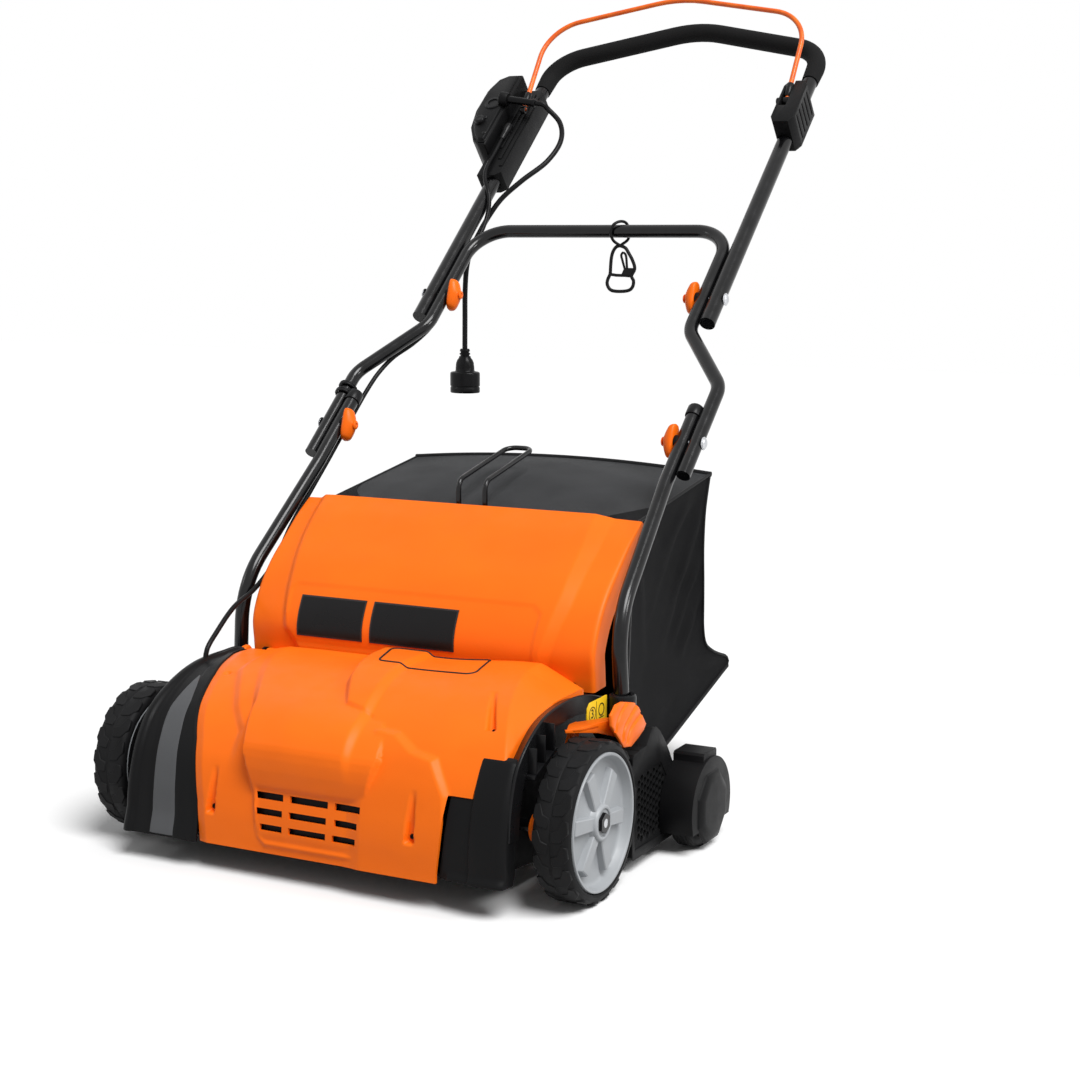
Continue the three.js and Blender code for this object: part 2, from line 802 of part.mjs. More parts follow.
// A side housing behind the front wheel, with the handle's socket and a honeycomb panel.
function sideHousing(sign) {
  const outline = [
    [sideFrontY, sideBottomZ + sideWall], [sideFrontY, sideTopZ],
    [socketY - sideWall, sideTopZ], [socketY, sideTopZ + socketDepth * socketNeckShare],
    [socketY + socketRadius, sideTopZ + socketDepth * socketNeckShare],
    [rearAxleY - rearWheelRadius / 2, rearWheelRadius * 2],
    [sideRearY, rearWheelRadius + postRadius * 2], [sideRearY, rearWheelRadius - postRadius * 2],
    [rearAxleY - rearWheelRadius / 2, sideBottomZ], [sideFrontY + sideWall, sideBottomZ],
  ]
  const socket = new THREE.CylinderGeometry(socketRadius, socketRadius, socketTopZ - sideTopZ, tubeSides)
    .rotateX(Math.PI / 2)
    .translate(socketX + overrun, socketY, (socketTopZ + sideTopZ) / 2)
  const bore = new THREE.CylinderGeometry(
    lowerTubeRadius + fitGap, lowerTubeRadius + fitGap, socketDepth * 2, tubeSides)
    .rotateX(Math.PI / 2).translate(socketX, socketY, socketTopZ)
  const inside = block(
    [sideInnerX, -sideRearY, 0], [sideInnerX + sideOuterX, sideRearY * 2, socketTopZ * 2])
  const recess = block(
    [sideInnerX - overrun, plateY - overrun, plateLowZ - overrun],
    [sideInnerX + plateThickness + fitGap, plateY + plateLength + fitGap, socketTopZ])
  const hollowTop = sideTopZ - sideWall
  const hollow = prismX([
    [sideFrontY + sideWall, sideBottomZ + sideWall * 2], [sideFrontY + sideWall, hollowTop],
    [socketY - sideWall, hollowTop],
    [rearAxleY - rearWheelRadius / 2 - sideWall, rearWheelRadius * hollowTopShare],
    [sideRearY - sideWall, rearWheelRadius + postRadius], [sideRearY - sideWall, rearWheelRadius],
    [rearAxleY - rearWheelRadius / 2 - sideWall, sideBottomZ + sideWall * 2],
  ], sideInnerX - overrun, sideOuterX - sideWall - combDepth)
  let housing = joined(
    prismX(outline, sideInnerX, sideOuterX).subtract(knobRoom()).subtract(hollow),
    solidOf(socket).intersect(inside), rearCover())
    .subtract(solidOf(bore)).subtract(recess)
    .subtract(rodX(rearAxleRadius + fitGap, 0, sideOuterX + overrun * 2, rearAxleY, rearWheelRadius))
  for (const [y, z] of combPlaces()) {
    const cell = rodX(combCell / 2, sideOuterX - combDepth, sideOuterX + overrun, y, z, spokeCount)
    housing = housing.subtract(cell)
  }
  return sign < 0 ? housing.mirror([1, 0, 0]) : housing
}

// The room above the housing, outboard of the handle's socket, that the lever's knob needs.
function knobRoom() {
  return block(
    [leverKnobInnerX - overrun, -sideRearY, sideTopZ],
    [sideOuterX + overrun, socketY, socketTopZ * 2])
}

// The middles of the honeycomb's cells, inside a tapered panel.
function combPlaces() {
  const places = []
  const pitch = combCell + combWall
  for (let row = 0; row < combRows; row += 1) {
    const z = sideBottomZ + combCell * 2 + (row * pitch * Math.sqrt(3)) / 2
    const columns = combColumns - Math.round(Math.abs(row - combRows / 2 + 1) / 2)
    for (let column = 0; column < columns; column += 1) {
      places.push([sideFrontY + pitch + column * pitch + (row % 2) * (pitch / 2), z])
    }
  }
  return places
}

// The cover outboard of a rear wheel, open below so that the wheel reaches the ground.
function rearCover() {
  const outerRadius = rearWheelRadius + rearCoverWall * 2
  const innerX = sideOuterX - overrun / 2
  const capX = rearCoverOuterX - rearCoverWall
  const cup = joined(
    rodX(outerRadius, innerX, rearCoverOuterX, rearAxleY, rearWheelRadius, tubeSides * 2),
    rodX(outerRadius * rearBulgeShare, innerX, rearCoverOuterX + rearCoverBulge,
      rearAxleY, rearWheelRadius, boreSides),
    block(
      [innerX, rearAxleY - rearTabWidth / 2, rearWheelRadius],
      [rearCoverOuterX - rearCoverWall, rearAxleY + rearTabWidth / 2, rearTabTopZ]))
  const room = rodX(
    rearWheelRadius + rearCoverWall, innerX - overrun, capX, rearAxleY, rearWheelRadius, tubeSides * 2)
  const below = block(
    [innerX - overrun, rearAxleY - outerRadius * 2, -outerRadius],
    [rearCoverOuterX + rearCoverBulge + overrun, rearAxleY + outerRadius * 2,
      rearWheelRadius * rearOpenShare])
  const backPlate = block(
    [innerX, rearAxleY - outerRadius * backFrontShare, rearWheelRadius * backLowShare],
    [innerX + rearCoverWall - overrun, rearAxleY + outerRadius * backRearShare,
      rearWheelRadius * backHighShare])
  const spine = block(
    [innerX, rearAxleY - rearTabWidth / 2, rearWheelRadius * spineLowShare],
    [innerX + rearCoverWall - overrun, rearAxleY + rearTabWidth / 2,
      rearWheelRadius * 2 + spineRise])
  const bore = rodX(rearAxleRadius + fitGap, 0, capX + overrun, rearAxleY, rearWheelRadius)
  return joined(cup.subtract(room), backPlate, spine).subtract(below).subtract(bore)
}

// A lower handle tube, from its socket up to the joint with the middle handle.
function lowerTube(sign) {
  const jointX = middleLegLowX - lowerTubeRadius * 2 - runningGap
  const along = (s) => [
    lowerBoltY + s * Math.cos(radians(handleAngleDegrees)),
    lowerBoltZ + s * Math.sin(radians(handleAngleDegrees))]
  const [kneeY, kneeZ] = along(-lowerTubeStraight)
  const [endY, endZ] = along(lowerTubeOverrun)
  const turnY = socketY
  const turnZ = lowerBoltZ - (lowerBoltY - turnY) * Math.tan(radians(handleAngleDegrees))
  const turnShare = (turnZ - socketTopZ) / (turnZ - socketTopZ + Math.hypot(kneeY - turnY, kneeZ - turnZ))
  const turnX2 = socketX + (jointX - socketX) * turnShare
  const baseZ = socketTopZ - socketDepth + fitGap
  const tube = bentBar([
    corner(socketX, socketY, baseZ),
    corner(socketX, socketY, socketTopZ + lowerTubeRadius / 2, lowerTubeRadius * 10),
    corner(turnX2, turnY, turnZ, lowerBendRadius),
    corner(jointX, kneeY, kneeZ, lowerTopBendRadius),
    corner(jointX, endY, endZ),
  ], lowerTubeRadius, lowerTubeRadius - tubeWall)
    .subtract(rodX(boltRadius + fitGap, jointX - lowerTubeRadius * 2, jointX + lowerTubeRadius * 2,
      lowerBoltY, lowerBoltZ, boreSides))
  return sign < 0 ? tube.mirror([1, 0, 0]) : tube
}

function motorCan() {
  const [fromX, toX] = [motorLeftX, motorLeftX + motorLength]
  return rodX(motorRadius, fromX, toX, motorY, motorZ, tubeSides * 2)
    .subtract(rodX(motorShaftRadius + runningGap, fromX - overrun, fromX + motorLength / 3, motorY, motorZ))
}

// A belt round both pulleys, with its inner face just off their rims.
function driveBelt() {
  const toRotor = new THREE.Vector2(rotorY - motorY, rotorZ - motorZ)
  const heading = toRotor.angle()
  const lean = Math.asin((rotorPulleyRadius - motorPulleyRadius) / toRotor.length())
  const loop = (extra) => {
    const points = []
    const arc = (y, z, radius, fromAngle, toAngle) => {
      for (let i = 0; i <= boreSides; i += 1) {
        const angle = fromAngle + ((toAngle - fromAngle) * i) / boreSides
        points.push([y + radius * Math.cos(angle), z + radius * Math.sin(angle)])
      }
    }
    const quarter = Math.PI / 2
    arc(rotorY, rotorZ, rotorPulleyRadius + extra, heading - quarter - lean, heading + quarter + lean)
    arc(motorY, motorZ, motorPulleyRadius + extra, heading + quarter + lean, heading + quarter * 3 - lean)
    return points
  }
  const fromX = pulleyX - beltWidth / 2
  const toX = pulleyX + beltWidth / 2
  const clearance = fitGap * 3
  return prismX(loop(clearance + beltThickness), fromX, toX)
    .subtract(prismX(loop(clearance), fromX - overrun, toX + overrun))
}

function chassis() {
  const group = new THREE.Group()
  const pinX = deckHalfWidth + deckThickness
  const axleX = rearCoverOuterX - rearCoverWall
  group.add(
    piece('deck_shell', deckShell(), blackPlastic),
    piece('front_cover', frontCover(), orangePlastic),
    piece('belt_cover', beltCover(), blackPlastic),
    piece('belt_cover_stripe', beltStripe(), darkGreyPlastic),
    piece('right_corner_cover', rightCorner(), blackPlastic),
    piece('side_housing_left', sideHousing(-1), blackPlastic),
    piece('side_housing_right', sideHousing(1), blackPlastic),
    piece('depth_plate', block(
      [coverHalfWidth + fitGap, plateY, plateLowZ],
      [coverHalfWidth + fitGap + plateThickness, plateY + plateLength, plateLowZ + plateHeight]),
    yellowPlastic),
    piece('motor_can', motorCan(), steel),
    piece('drive_belt', driveBelt(), softRubber),
    piece('hood_hinge_pin', rodX(hingePinRadius, -pinX, pinX, hoodFrontY, hoodBaseZ), steel),
    piece('rear_axle', rodX(rearAxleRadius, -axleX, axleX, rearAxleY, rearWheelRadius), steel),
    piece('lower_tube_left', lowerTube(-1), blackPaint),
    piece('lower_tube_right', lowerTube(1), blackPaint),
    piece('motor_cable_lower', cordThrough(lowerCablePoints, cableRadius, boreSides), softRubber))
  return group
}

// Axle, wheels and lever

// The crank bar with its arms, wheel spindles and nuts.
function crankAxle() {
  const armX = frontWheelInnerX - crankArmThickness - overrun * 2
  const outerX = frontWheelInnerX + frontWheelWidth + overrun
  const arm = (sign) => {
    const [fromX, toX] = sign < 0 ? [-armX - crankArmThickness, -armX] : [armX, armX + crankArmThickness]
    const spindle = sign < 0 ? [-outerX, -armX] : [armX, outerX]
    const nut = sign < 0 ? [-outerX, wheelNutWidth - outerX] : [outerX - wheelNutWidth, outerX]
    const half = crankArmWidth / 2
    return joined(
      prismX([
        [crankPivotY - half, frontWheelRadius - half], [half, frontWheelRadius - half],
        [half, frontWheelRadius + half], [crankPivotY - half, frontWheelRadius + half],
      ], fromX, toX),
      rodX(spindleRadius, ...spindle, 0, frontWheelRadius),
      rodX(wheelNutRadius, ...nut, 0, frontWheelRadius, spokeCount))
  }
  return joined(
    rodX(crankRadius, -armX - overrun, armX + overrun, crankPivotY, frontWheelRadius),
    arm(-1), arm(1))
}

// The lever on the crank's right end, with its arm over the wheel and its fluted knob.
function depthLever() {
  const half = leverRootWidth / 2
  const topZ = frontWheelRadius + leverRise
  const plateX = [leverInnerX, leverInnerX + leverPlateThickness]
  const frontY = -leverBarDepth * leverFrontShare
  const rearY = leverBarDepth + frontY
  const root = prismX([
    [crankPivotY - half, frontWheelRadius - half], [crankPivotY + half, frontWheelRadius - half],
    [rearY, topZ - leverBarHeight], [rearY, topZ], [frontY, topZ + leverBarHeight / 2],
    [crankPivotY - half, frontWheelRadius + half],
  ], ...plateX)
  const overWheel = prismX([
    [frontY, topZ - leverBarHeight / 2], [rearY, topZ - leverBarHeight], [rearY, topZ],
    [frontY, topZ + leverBarHeight / 2],
  ], leverInnerX, leverKnobInnerX + overrun)
  const knobShares = [
    [0, 0.42], [0.35, 0], [1, 0.07], [0.82, 0.56], [0.4, 1], [0.24, 0.8],
  ]
  const knobLow = frontWheelRadius * leverKnobLowShare
  const knobFront = frontWheelRadius * leverKnobFrontShare
  const knobOutline = knobShares.map(([along, up]) => [
    knobFront + along * leverKnobLength, knobLow + up * leverKnobHeight])
  const knob = prismX(knobOutline, leverKnobInnerX, leverKnobInnerX + leverKnobWidth)
  const knobOuterX = leverKnobInnerX + leverKnobWidth
  const flutes = leverFluteShares.map((share) => rodX(
    overrun, knobOuterX - overrun, knobOuterX + overrun,
    knobFront + leverKnobLength * share, knobLow + leverKnobHeight * leverFluteRiseShare, spokeCount))
  const wheelRoom = rodX(
    frontWheelRadius + fitGap * 3, frontWheelInnerX - overrun * 2, sideOuterX + frontWheelWidth,
    0, frontWheelRadius, wheelSides * 2)
  return joined(root, overWheel, knob)
    .subtract(joined(...flutes))
    .subtract(wheelRoom)
    .subtract(rodX(crankRadius + fitGap, leverInnerX - overrun, leverInnerX + leverRootWidth,
      crankPivotY, frontWheelRadius))
}

function frontTyre(sign) {
  const [innerX, outerX] = [frontWheelInnerX, frontWheelInnerX + frontWheelWidth]
  const tyre = turnX([
    [frontRimRadius, innerX + overrun], [frontRimRadius, outerX - overrun],
    [frontRimRadius + treadShoulder, outerX], [frontWheelRadius - treadShoulder / 2, outerX],
    [frontWheelRadius, outerX - treadShoulder], [frontWheelRadius, innerX + treadShoulder],
    [frontWheelRadius - treadShoulder / 2, innerX], [frontRimRadius + treadShoulder, innerX],
  ], 0, frontWheelRadius, wheelSides)
  return sign < 0 ? tyre.mirror([1, 0, 0]) : tyre
}

// A dished rim with raised spokes and a hub boss on its outer face.
function frontRim(sign) {
  const innerX = frontWheelInnerX + overrun
  const outerX = frontWheelInnerX + frontWheelWidth - overrun
  const seat = frontRimRadius - fitGap
  const discX = outerX - frontRimDish
  const nutX = frontWheelInnerX + frontWheelWidth + overrun - wheelNutWidth - fitGap
  const bore = spindleRadius + runningGap
  let rim = turnX([
    [bore, innerX], [frontHubRadius, innerX], [frontHubRadius, discX - frontHubBoss],
    [seat - frontRimWall, discX - frontHubBoss], [seat - frontRimWall, innerX], [seat, innerX],
    [seat, outerX], [seat - frontRimWall, outerX], [seat - frontRimWall, discX],
    [frontHubRadius, discX], [frontHubRadius, nutX], [bore, nutX],
  ], 0, frontWheelRadius, wheelSides)
  for (let i = 0; i < spokeCount; i += 1) {
    const spoke = block(
      [discX - overrun, -spokeWidth / 2, frontHubRadius - overrun],
      [discX + spokeHeight, spokeWidth / 2, seat - frontRimWall])
      .rotate([(360 * i) / spokeCount, 0, 0]).translate([0, 0, frontWheelRadius])
    rim = rim.add(spoke)
  }
  return sign < 0 ? rim.mirror([1, 0, 0]) : rim
}

function rearWheel(sign) {
  const [innerX, outerX] = [rearWheelInnerX, rearWheelInnerX + rearWheelWidth]
  const wheel = turnX([
    [rearAxleRadius + runningGap, innerX], [rearWheelRadius - overrun, innerX],
    [rearWheelRadius, innerX + overrun], [rearWheelRadius, outerX - overrun],
    [rearWheelRadius - overrun, outerX], [rearAxleRadius + runningGap, outerX],
  ], rearAxleY, rearWheelRadius, wheelSides)
  return sign < 0 ? wheel.mirror([1, 0, 0]) : wheel
}

// Rotor and motor shaft

function rotorShaft() {
  const endX = deckHalfWidth + overrun
  return joined(
    rodX(rotorShaftRadius, pulleyX - pulleyWidth, endX, rotorY, rotorZ),
    rodX(rotorCoreRadius, -rotorHalfLength, rotorHalfLength, rotorY, rotorZ))
}

// One tine carrier: a ring on the rotor's core with spring tines in pairs, each turned a
// little further round than the one before.
function tineCarrier(index) {
  const middleX = (index - (carrierCount - 1) / 2) * carrierPitch
  const turn = index * carrierTurnDegrees
  const ring = rodX(carrierRadius, middleX - carrierWidth / 2, middleX + carrierWidth / 2, 0, 0)
  const root = carrierRadius - tineRadius * 2
  const tines = []
  for (let i = 0; i < tinesPerCarrier; i += 1) {
    const side = i % 2 === 0 ? 1 : -1
    const x = middleX + (i < tinesPerCarrier / 2 ? tineOffset : -tineOffset)
    tines.push(bar(
      new THREE.Vector3(x, 0, side * root), new THREE.Vector3(x, 0, side * tineTipRadius),
      tineRadius, spokeCount))
  }
  return joined(ring, ...tines)
    .subtract(rodX(
      rotorCoreRadius + fitGap, middleX - carrierWidth, middleX + carrierWidth, 0, 0))
    .rotate([turn, 0, 0]).translate([0, rotorY, rotorZ])
}

function pulley(radius, boreRadius, y, z) {
  const half = pulleyWidth / 2
  const flange = (pulleyWidth - beltWidth) / 2 - fitGap
  return turnX([
    [boreRadius, pulleyX - half], [radius + beltThickness, pulleyX - half],
    [radius + beltThickness, pulleyX - half + flange], [radius, pulleyX - half + flange],
    [radius, pulleyX + half - flange], [radius + beltThickness, pulleyX + half - flange],
    [radius + beltThickness, pulleyX + half], [boreRadius, pulleyX + half],
  ], y, z, tubeSides * 2)
}

function rotor() {
  const group = new THREE.Group()
  group.add(
    piece('rotor_shaft', rotorShaft(), blackPaint),
    piece('rotor_pulley', pulley(rotorPulleyRadius, rotorShaftRadius + fitGap, rotorY, rotorZ), steel))
  for (let i = 0; i < carrierCount; i += 1) {
    group.add(piece(`tine_carrier_${i + 1}`, tineCarrier(i), blackPlastic))
  }
  return group
}

function motorShaft() {
  const endX = motorLeftX + motorLength / 3 - overrun
  return joined(
    rodX(motorShaftRadius, pulleyX - pulleyWidth / 2, endX, motorY, motorZ),
    pulley(motorPulleyRadius, motorShaftRadius / 2, motorY, motorZ))
}

// Hood

function hoodPanel() {
  const skin = sheetX(hoodChain, 0, hoodThickness, -hoodHalfWidth, hoodHalfWidth)
  const skirt = (fromX, toX) => sheetX(hoodChain, 0, hoodSkirtDepth, fromX, toX)
    .subtract(rodX(hingeBarrelRadius * 2, fromX - overrun, toX + overrun, hoodFrontY, hoodBaseZ))
  const barrelX = deckHalfWidth - deckThickness - overrun
  const web = prismX([
    [hoodFrontY, hoodBaseZ], [hoodFrontY + hingeBarrelRadius, hoodBaseZ],
    [hoodFrontY + hingeBarrelRadius * hingeWebShare, hoodBaseZ + hingeBarrelRadius * 2],
    [hoodFrontY + hoodThickness, hoodBaseZ + hingeBarrelRadius * 2]], -barrelX, barrelX)
  return joined(
    skin.subtract(block(
      [-hoodHalfWidth * 2, 0, 0],
      [hoodHalfWidth * 2, hoodFrontY + hoodHeight, hoodBaseZ + hingeLugRadius + overrun])),
    skirt(-hoodHalfWidth, hoodThickness - hoodHalfWidth),
    skirt(hoodHalfWidth - hoodThickness, hoodHalfWidth),
    rodX(hingeBarrelRadius, -barrelX, barrelX, hoodFrontY, hoodBaseZ), web)
    .subtract(rodX(hingePinRadius + fitGap, -hoodHalfWidth, hoodHalfWidth, hoodFrontY, hoodBaseZ))
}

// A thin plate on the hood's steep face.
function hoodLabel(x, width) {
  const [low, high] = [hoodChain[1], hoodChain[2]]
  const slope = Math.atan2(high[0] - low[0], high[1] - low[1])
  const length = Math.hypot(high[0] - low[0], high[1] - low[1])
  const size = Math.min(labelHeight, length - overrun)
  const geometry = new THREE.BoxGeometry(width, labelThickness, size)
    .translate(0, -labelThickness / 2 - fitGap, length / 2)
    .rotateX(-slope)
    .translate(x, low[0], low[1])
  return solidOf(geometry)
}

function hood() {
  const group = new THREE.Group()
  group.add(
    piece('hood_panel', hoodPanel(), orangePlastic),
    piece('hood_label_left', hoodLabel(leftLabelX, leftLabelWidth), blackPlastic),
    piece('hood_label_right', hoodLabel(rightLabelX, labelWidth), blackPlastic))
  return group
}

// Grass bag

// The side view of the bag, round from its lower front edge.
const bagOutlineShares = [
  [0.78, 0.956], [0.727, 0.791], [0.73, 0.4], [1, 0.262], [0.36, 0.085],
]
const bagFrontShare = 0.864

function bagFabric() {
  const start = [bagFrontLowY + frameWireRadius + fitGap, bagFrontLowZ]
  const front = [bagFrontHighY + frameWireRadius + fitGap, start[1] + bagFrontShare * bagHeight]
  const rear = bagOutlineShares.map(([along, up]) => [
    start[0] + along * bagLength, start[1] + up * bagHeight])
  const outline = [start, front, ...rear]
  const outer = prismX(outline, -bagHalfWidth, bagHalfWidth)
  const open = [...outline.slice(1), outline[0]]
  const inner = inset(open, bagWall)
  const mouth = [
    [outline[0][0] - overrun, inner[inner.length - 1][1] + bagWall],
    [outline[1][0] - overrun, inner[0][1] - bagWall / 2]]
  return outer.subtract(prismX(
    [...inner, ...mouth], bagWall - bagHalfWidth, bagHalfWidth - bagWall))
}

// The wire round the bag's mouth, with its ends butted at the bottom.
function bagFrame() {
  const halfWidth = bagHalfWidth - frameWireRadius
  return bentBar([
    corner(frameButtGap / 2, bagFrontLowY, bagFrontLowZ),
    corner(halfWidth, bagFrontLowY, bagFrontLowZ, frameCornerRadius),
    corner(halfWidth, bagFrontHighY, bagFrontHighZ, frameCornerRadius),
    corner(-halfWidth, bagFrontHighY, bagFrontHighZ, frameCornerRadius),
    corner(-halfWidth, bagFrontLowY, bagFrontLowZ, frameCornerRadius),
    corner(-frameButtGap / 2, bagFrontLowY, bagFrontLowZ),
  ], frameWireRadius, 0, boreSides)
}

function bagHandle() {
  const footZ = bagFrontHighZ + frameWireRadius + fitGap
  const kneeZ = bagFrontHighZ + bagHandleRise
  const tipY = bagFrontHighY + bagHandleReach
  const tipZ = kneeZ + bagHandleClimb
  return bentBar([
    corner(-bagHandleHalfWidth, bagFrontHighY, footZ),
    corner(-bagHandleHalfWidth, bagFrontHighY, kneeZ, bagHandleBend),
    corner(-bagHandleHalfWidth, tipY, tipZ, bagHandleBend),
    corner(bagHandleHalfWidth, tipY, tipZ, bagHandleBend),
    corner(bagHandleHalfWidth, bagFrontHighY, kneeZ, bagHandleBend),
    corner(bagHandleHalfWidth, bagFrontHighY, footZ),
  ], frameWireRadius, 0, boreSides)
}

function grassBag() {
  const group = new THREE.Group()
  group.add(
    piece('bag_fabric', bagFabric(), fabric),
    piece('bag_frame', bagFrame(), blackPaint),
    piece('bag_handle', bagHandle(), blackPaint))
  return group
}

// Middle and upper handle, in the handle's own frame: X across, Y up along the handle from the
// lower bolt, Z out of its front.

function middleTube() {
  return bentBar([
    corner(-middleLegLowX, -middleLegEnd, 0),
    corner(-middleLegLowX, shoulderLow, 0, shoulderBendRadius),
    corner(-middleLegHighX, shoulderHigh, 0, shoulderBendRadius),
    corner(-middleLegHighX, crossbarS, 0, crossbarBendRadius),
    corner(middleLegHighX, crossbarS, 0, crossbarBendRadius),
    corner(middleLegHighX, shoulderHigh, 0, shoulderBendRadius),
    corner(middleLegLowX, shoulderLow, 0, shoulderBendRadius),
    corner(middleLegLowX, -middleLegEnd, 0),
  ], lowerTubeRadius, lowerTubeRadius - tubeWall)
    .subtract(rodX(boltRadius + fitGap, -middleLegLowX * 2, middleLegLowX * 2, 0, 0, boreSides))
    .subtract(rodX(boltRadius + fitGap, -middleLegHighX * 2, middleLegHighX * 2, upperBoltS, 0, boreSides))
}

// The corners of the upper tube, which the foam grip follows too.
const upperTubeX = middleLegHighX + lowerTubeRadius + upperTubeRadius + runningGap
function upperCorners(startS) {
  return [
    corner(-upperTubeX, startS, 0),
    corner(-upperTubeX, cornerS, 0, cornerBendRadius),
    corner(0, apexS, 0, apexBendRadius),
    corner(upperTubeX, cornerS, 0, cornerBendRadius),
    corner(upperTubeX, startS, 0),
  ]
}

function upperTube() {
  return bentBar(upperCorners(upperTubeEndS), upperTubeRadius, upperTubeRadius - tubeWall)
    .subtract(rodX(boltRadius + fitGap, -upperTubeX * 2, upperTubeX * 2, upperBoltS, 0, boreSides))
}

function foamGrip() {
  const run = upperCorners(gripStartS)
  return bentBar(run, gripRadius).subtract(bentBar(
    upperCorners(gripStartS - overrun), upperTubeRadius + fitGap))
}

// A bolt across a joint, from inside its knob to a domed head on the outside.
function jointBolt(innerX, outerX, s) {
  const head = turnX([
    [0, outerX], [boltHeadRadius, outerX], [boltHeadRadius, outerX + boltHeadThickness / 2],
    [boltHeadRadius / 2, outerX + boltHeadThickness], [0, outerX + boltHeadThickness],
  ], s, 0, tubeSides)
  return joined(rodX(boltRadius, innerX, outerX + overrun / 2, s, 0, boreSides), head)
}

// A wing knob whose boss bears on the tube at the given X.
function wingKnob(bearingX, s) {
  const wing = Array.from({ length: knobSides }, (_, i) => {
    const angle = (2 * Math.PI * i) / knobSides
    const rise = Math.sin(angle)
    const waist = 1 - knobWaistShare * rise ** 2 * (1 - Math.abs(rise))
    return [s + (knobLength / 2) * Math.cos(angle), (knobWidth / 2) * rise * waist]
  })
  const bossX = bearingX - knobBossThickness
  return joined(
    prismX(wing, bearingX - knobThickness, bossX + overrun / 2),
    rodX(knobBossRadius, bossX, bearingX, s, 0))
    .subtract(rodX(boltRadius + fitGap, bearingX - knobThickness + knobBossThickness, bearingX + overrun,
      s, 0, boreSides))
}

// The two handle joints, with the X of each knob's bearing face and each bolt head's seat.
const lowerJoint = {
  s: 0,
  knobX: middleLegLowX - lowerTubeRadius * 3 - runningGap - fitGap,
  headX: middleLegLowX + lowerTubeRadius + fitGap,
}
const upperJoint = {
  s: upperBoltS,
  knobX: middleLegHighX - lowerTubeRadius - knobGap,
  headX: upperTubeX + upperTubeRadius + fitGap,
}

function boltAt(joint, sign) {
  const innerX = joint.knobX - knobThickness + knobBossThickness + fitGap
  const bolt = jointBolt(innerX, joint.headX, joint.s)
  return sign < 0 ? bolt.mirror([1, 0, 0]) : bolt
}

function knobAt(joint, sign) {
  const knob = wingKnob(joint.knobX, joint.s)
  return sign < 0 ? knob.mirror([1, 0, 0]) : knob
}

// The slot that a bail end stands in, open at the top and front, and the pin across it.
function bailSlot(x) {
  return block(
    [x - bailSlotWidth / 2, bailPivotS - bailEyeRadius - overrun, bailPivotN - bailEyeRadius - overrun],
    [x + bailSlotWidth / 2, boxHighS * 2, boxTopN * 2])
}

function bailPin(x) {
  return rodX(
    bailPinRadius, x - bailSlotWidth / 2 - overrun, x + bailSlotWidth / 2 + overrun,
    bailPivotS, bailPivotN, boreSides)
}

function switchBox() {
  const lowBody = prismZ([
    [boxRightX, boxLowS], [boxRightX, boxHighS - gripRadius],
    [boxStepX - overrun, boxHighS - gripRadius], [boxStepX - overrun, boxLowS + gripRadius],
    [boxStepX + gripRadius / 2, boxLowS],
  ], boxFloorN, boxStepN)
  const middleX = (boxLeftX + boxStepX) / 2
  const bigBody = prismZ([
    [boxStepX, boxBodyLowS], [boxStepX, boxHighS - gripRadius * 2], [middleX, boxHighS],
    [boxLeftX + gripRadius / 2, boxHighS - gripRadius * 2], [boxLeftX, boxHighS - gripRadius * 4],
    [boxLeftX + gripRadius / 2, (boxBodyLowS + boxHighS) / 2], [boxStepX - gripRadius, boxBodyLowS],
  ], boxFloorN + overrun * 2, boxTopN)
  const cheek = (x) => block(
    [x, bailPivotS - gripRadius, boxStepN - overrun],
    [x + overrun * 2, bailPivotS + gripRadius, bailPivotN + bailEyeRadius - overrun])
  const cableGland = block(
    [cableX - glandWidth / 2, cableGlandS + fitGap, boxStepN - overrun],
    [cableX + glandWidth / 2, cableGlandS + glandLength, boxStepN + glandHeight])
  const cordGland = block(
    [boxStepX - glandLength, cordGlandS - glandWidth / 2, boxTopN - glandHeight * 2],
    [boxStepX, cordGlandS + glandWidth / 2, cordGlandN + glandWidth / 2])
  return joined(
    lowBody, bigBody, cableGland, cordGland,
    cheek(-bailX - bailSlotWidth / 2 - overrun * 2), cheek(-bailX + bailSlotWidth / 2))
    .subtract(bailSlot(-bailX)).add(bailPin(-bailX))
    .subtract(tubeBore(-upperTubeX, boxLowS, boxHighS))
    .subtract(buttonHole())
}

// The bore that clamps a housing on the upper tube.
function tubeBore(x, fromS, toS) {
  const length = toS - fromS + overrun * 10
  const bore = new THREE.CylinderGeometry(
    upperTubeRadius + fitGap, upperTubeRadius + fitGap, length, tubeSides)
  return solidOf(bore.translate(x, (fromS + toS) / 2, 0))
}

function buttonHole() {
  const depth = buttonHeight + buttonTravel
  const hole = new THREE.CylinderGeometry(
    buttonRadius + runningGap, buttonRadius + runningGap, depth * 2, rodSides)
  return solidOf(hole.rotateX(Math.PI / 2).translate(buttonX, buttonS, boxTopN))
}

function lockButton() {
  const length = buttonHeight * 2
  const button = new THREE.CylinderGeometry(buttonRadius, buttonRadius, length, rodSides)
  return solidOf(button.rotateX(Math.PI / 2).translate(buttonX, buttonS, boxTopN))
}

function bailBracket() {
  const half = bailSlotWidth / 2 + overrun * 2
  const [fromX, toX] = [bailX - half, upperTubeX + upperTubeRadius + overrun * 4]
  const outlineTop = bailPivotN + bailEyeRadius + overrun
  const body = prismX([
    [bracketLowS, boxFloorN], [bracketHighS, boxFloorN], [bracketHighS, boxStepN],
    [bailPivotS + gripRadius, outlineTop], [bailPivotS - gripRadius, outlineTop],
    [bracketLowS, boxStepN],
  ], fromX, toX)
  return body.subtract(bailSlot(bailX)).add(bailPin(bailX))
    .subtract(tubeBore(upperTubeX, bracketLowS, bracketHighS))
}

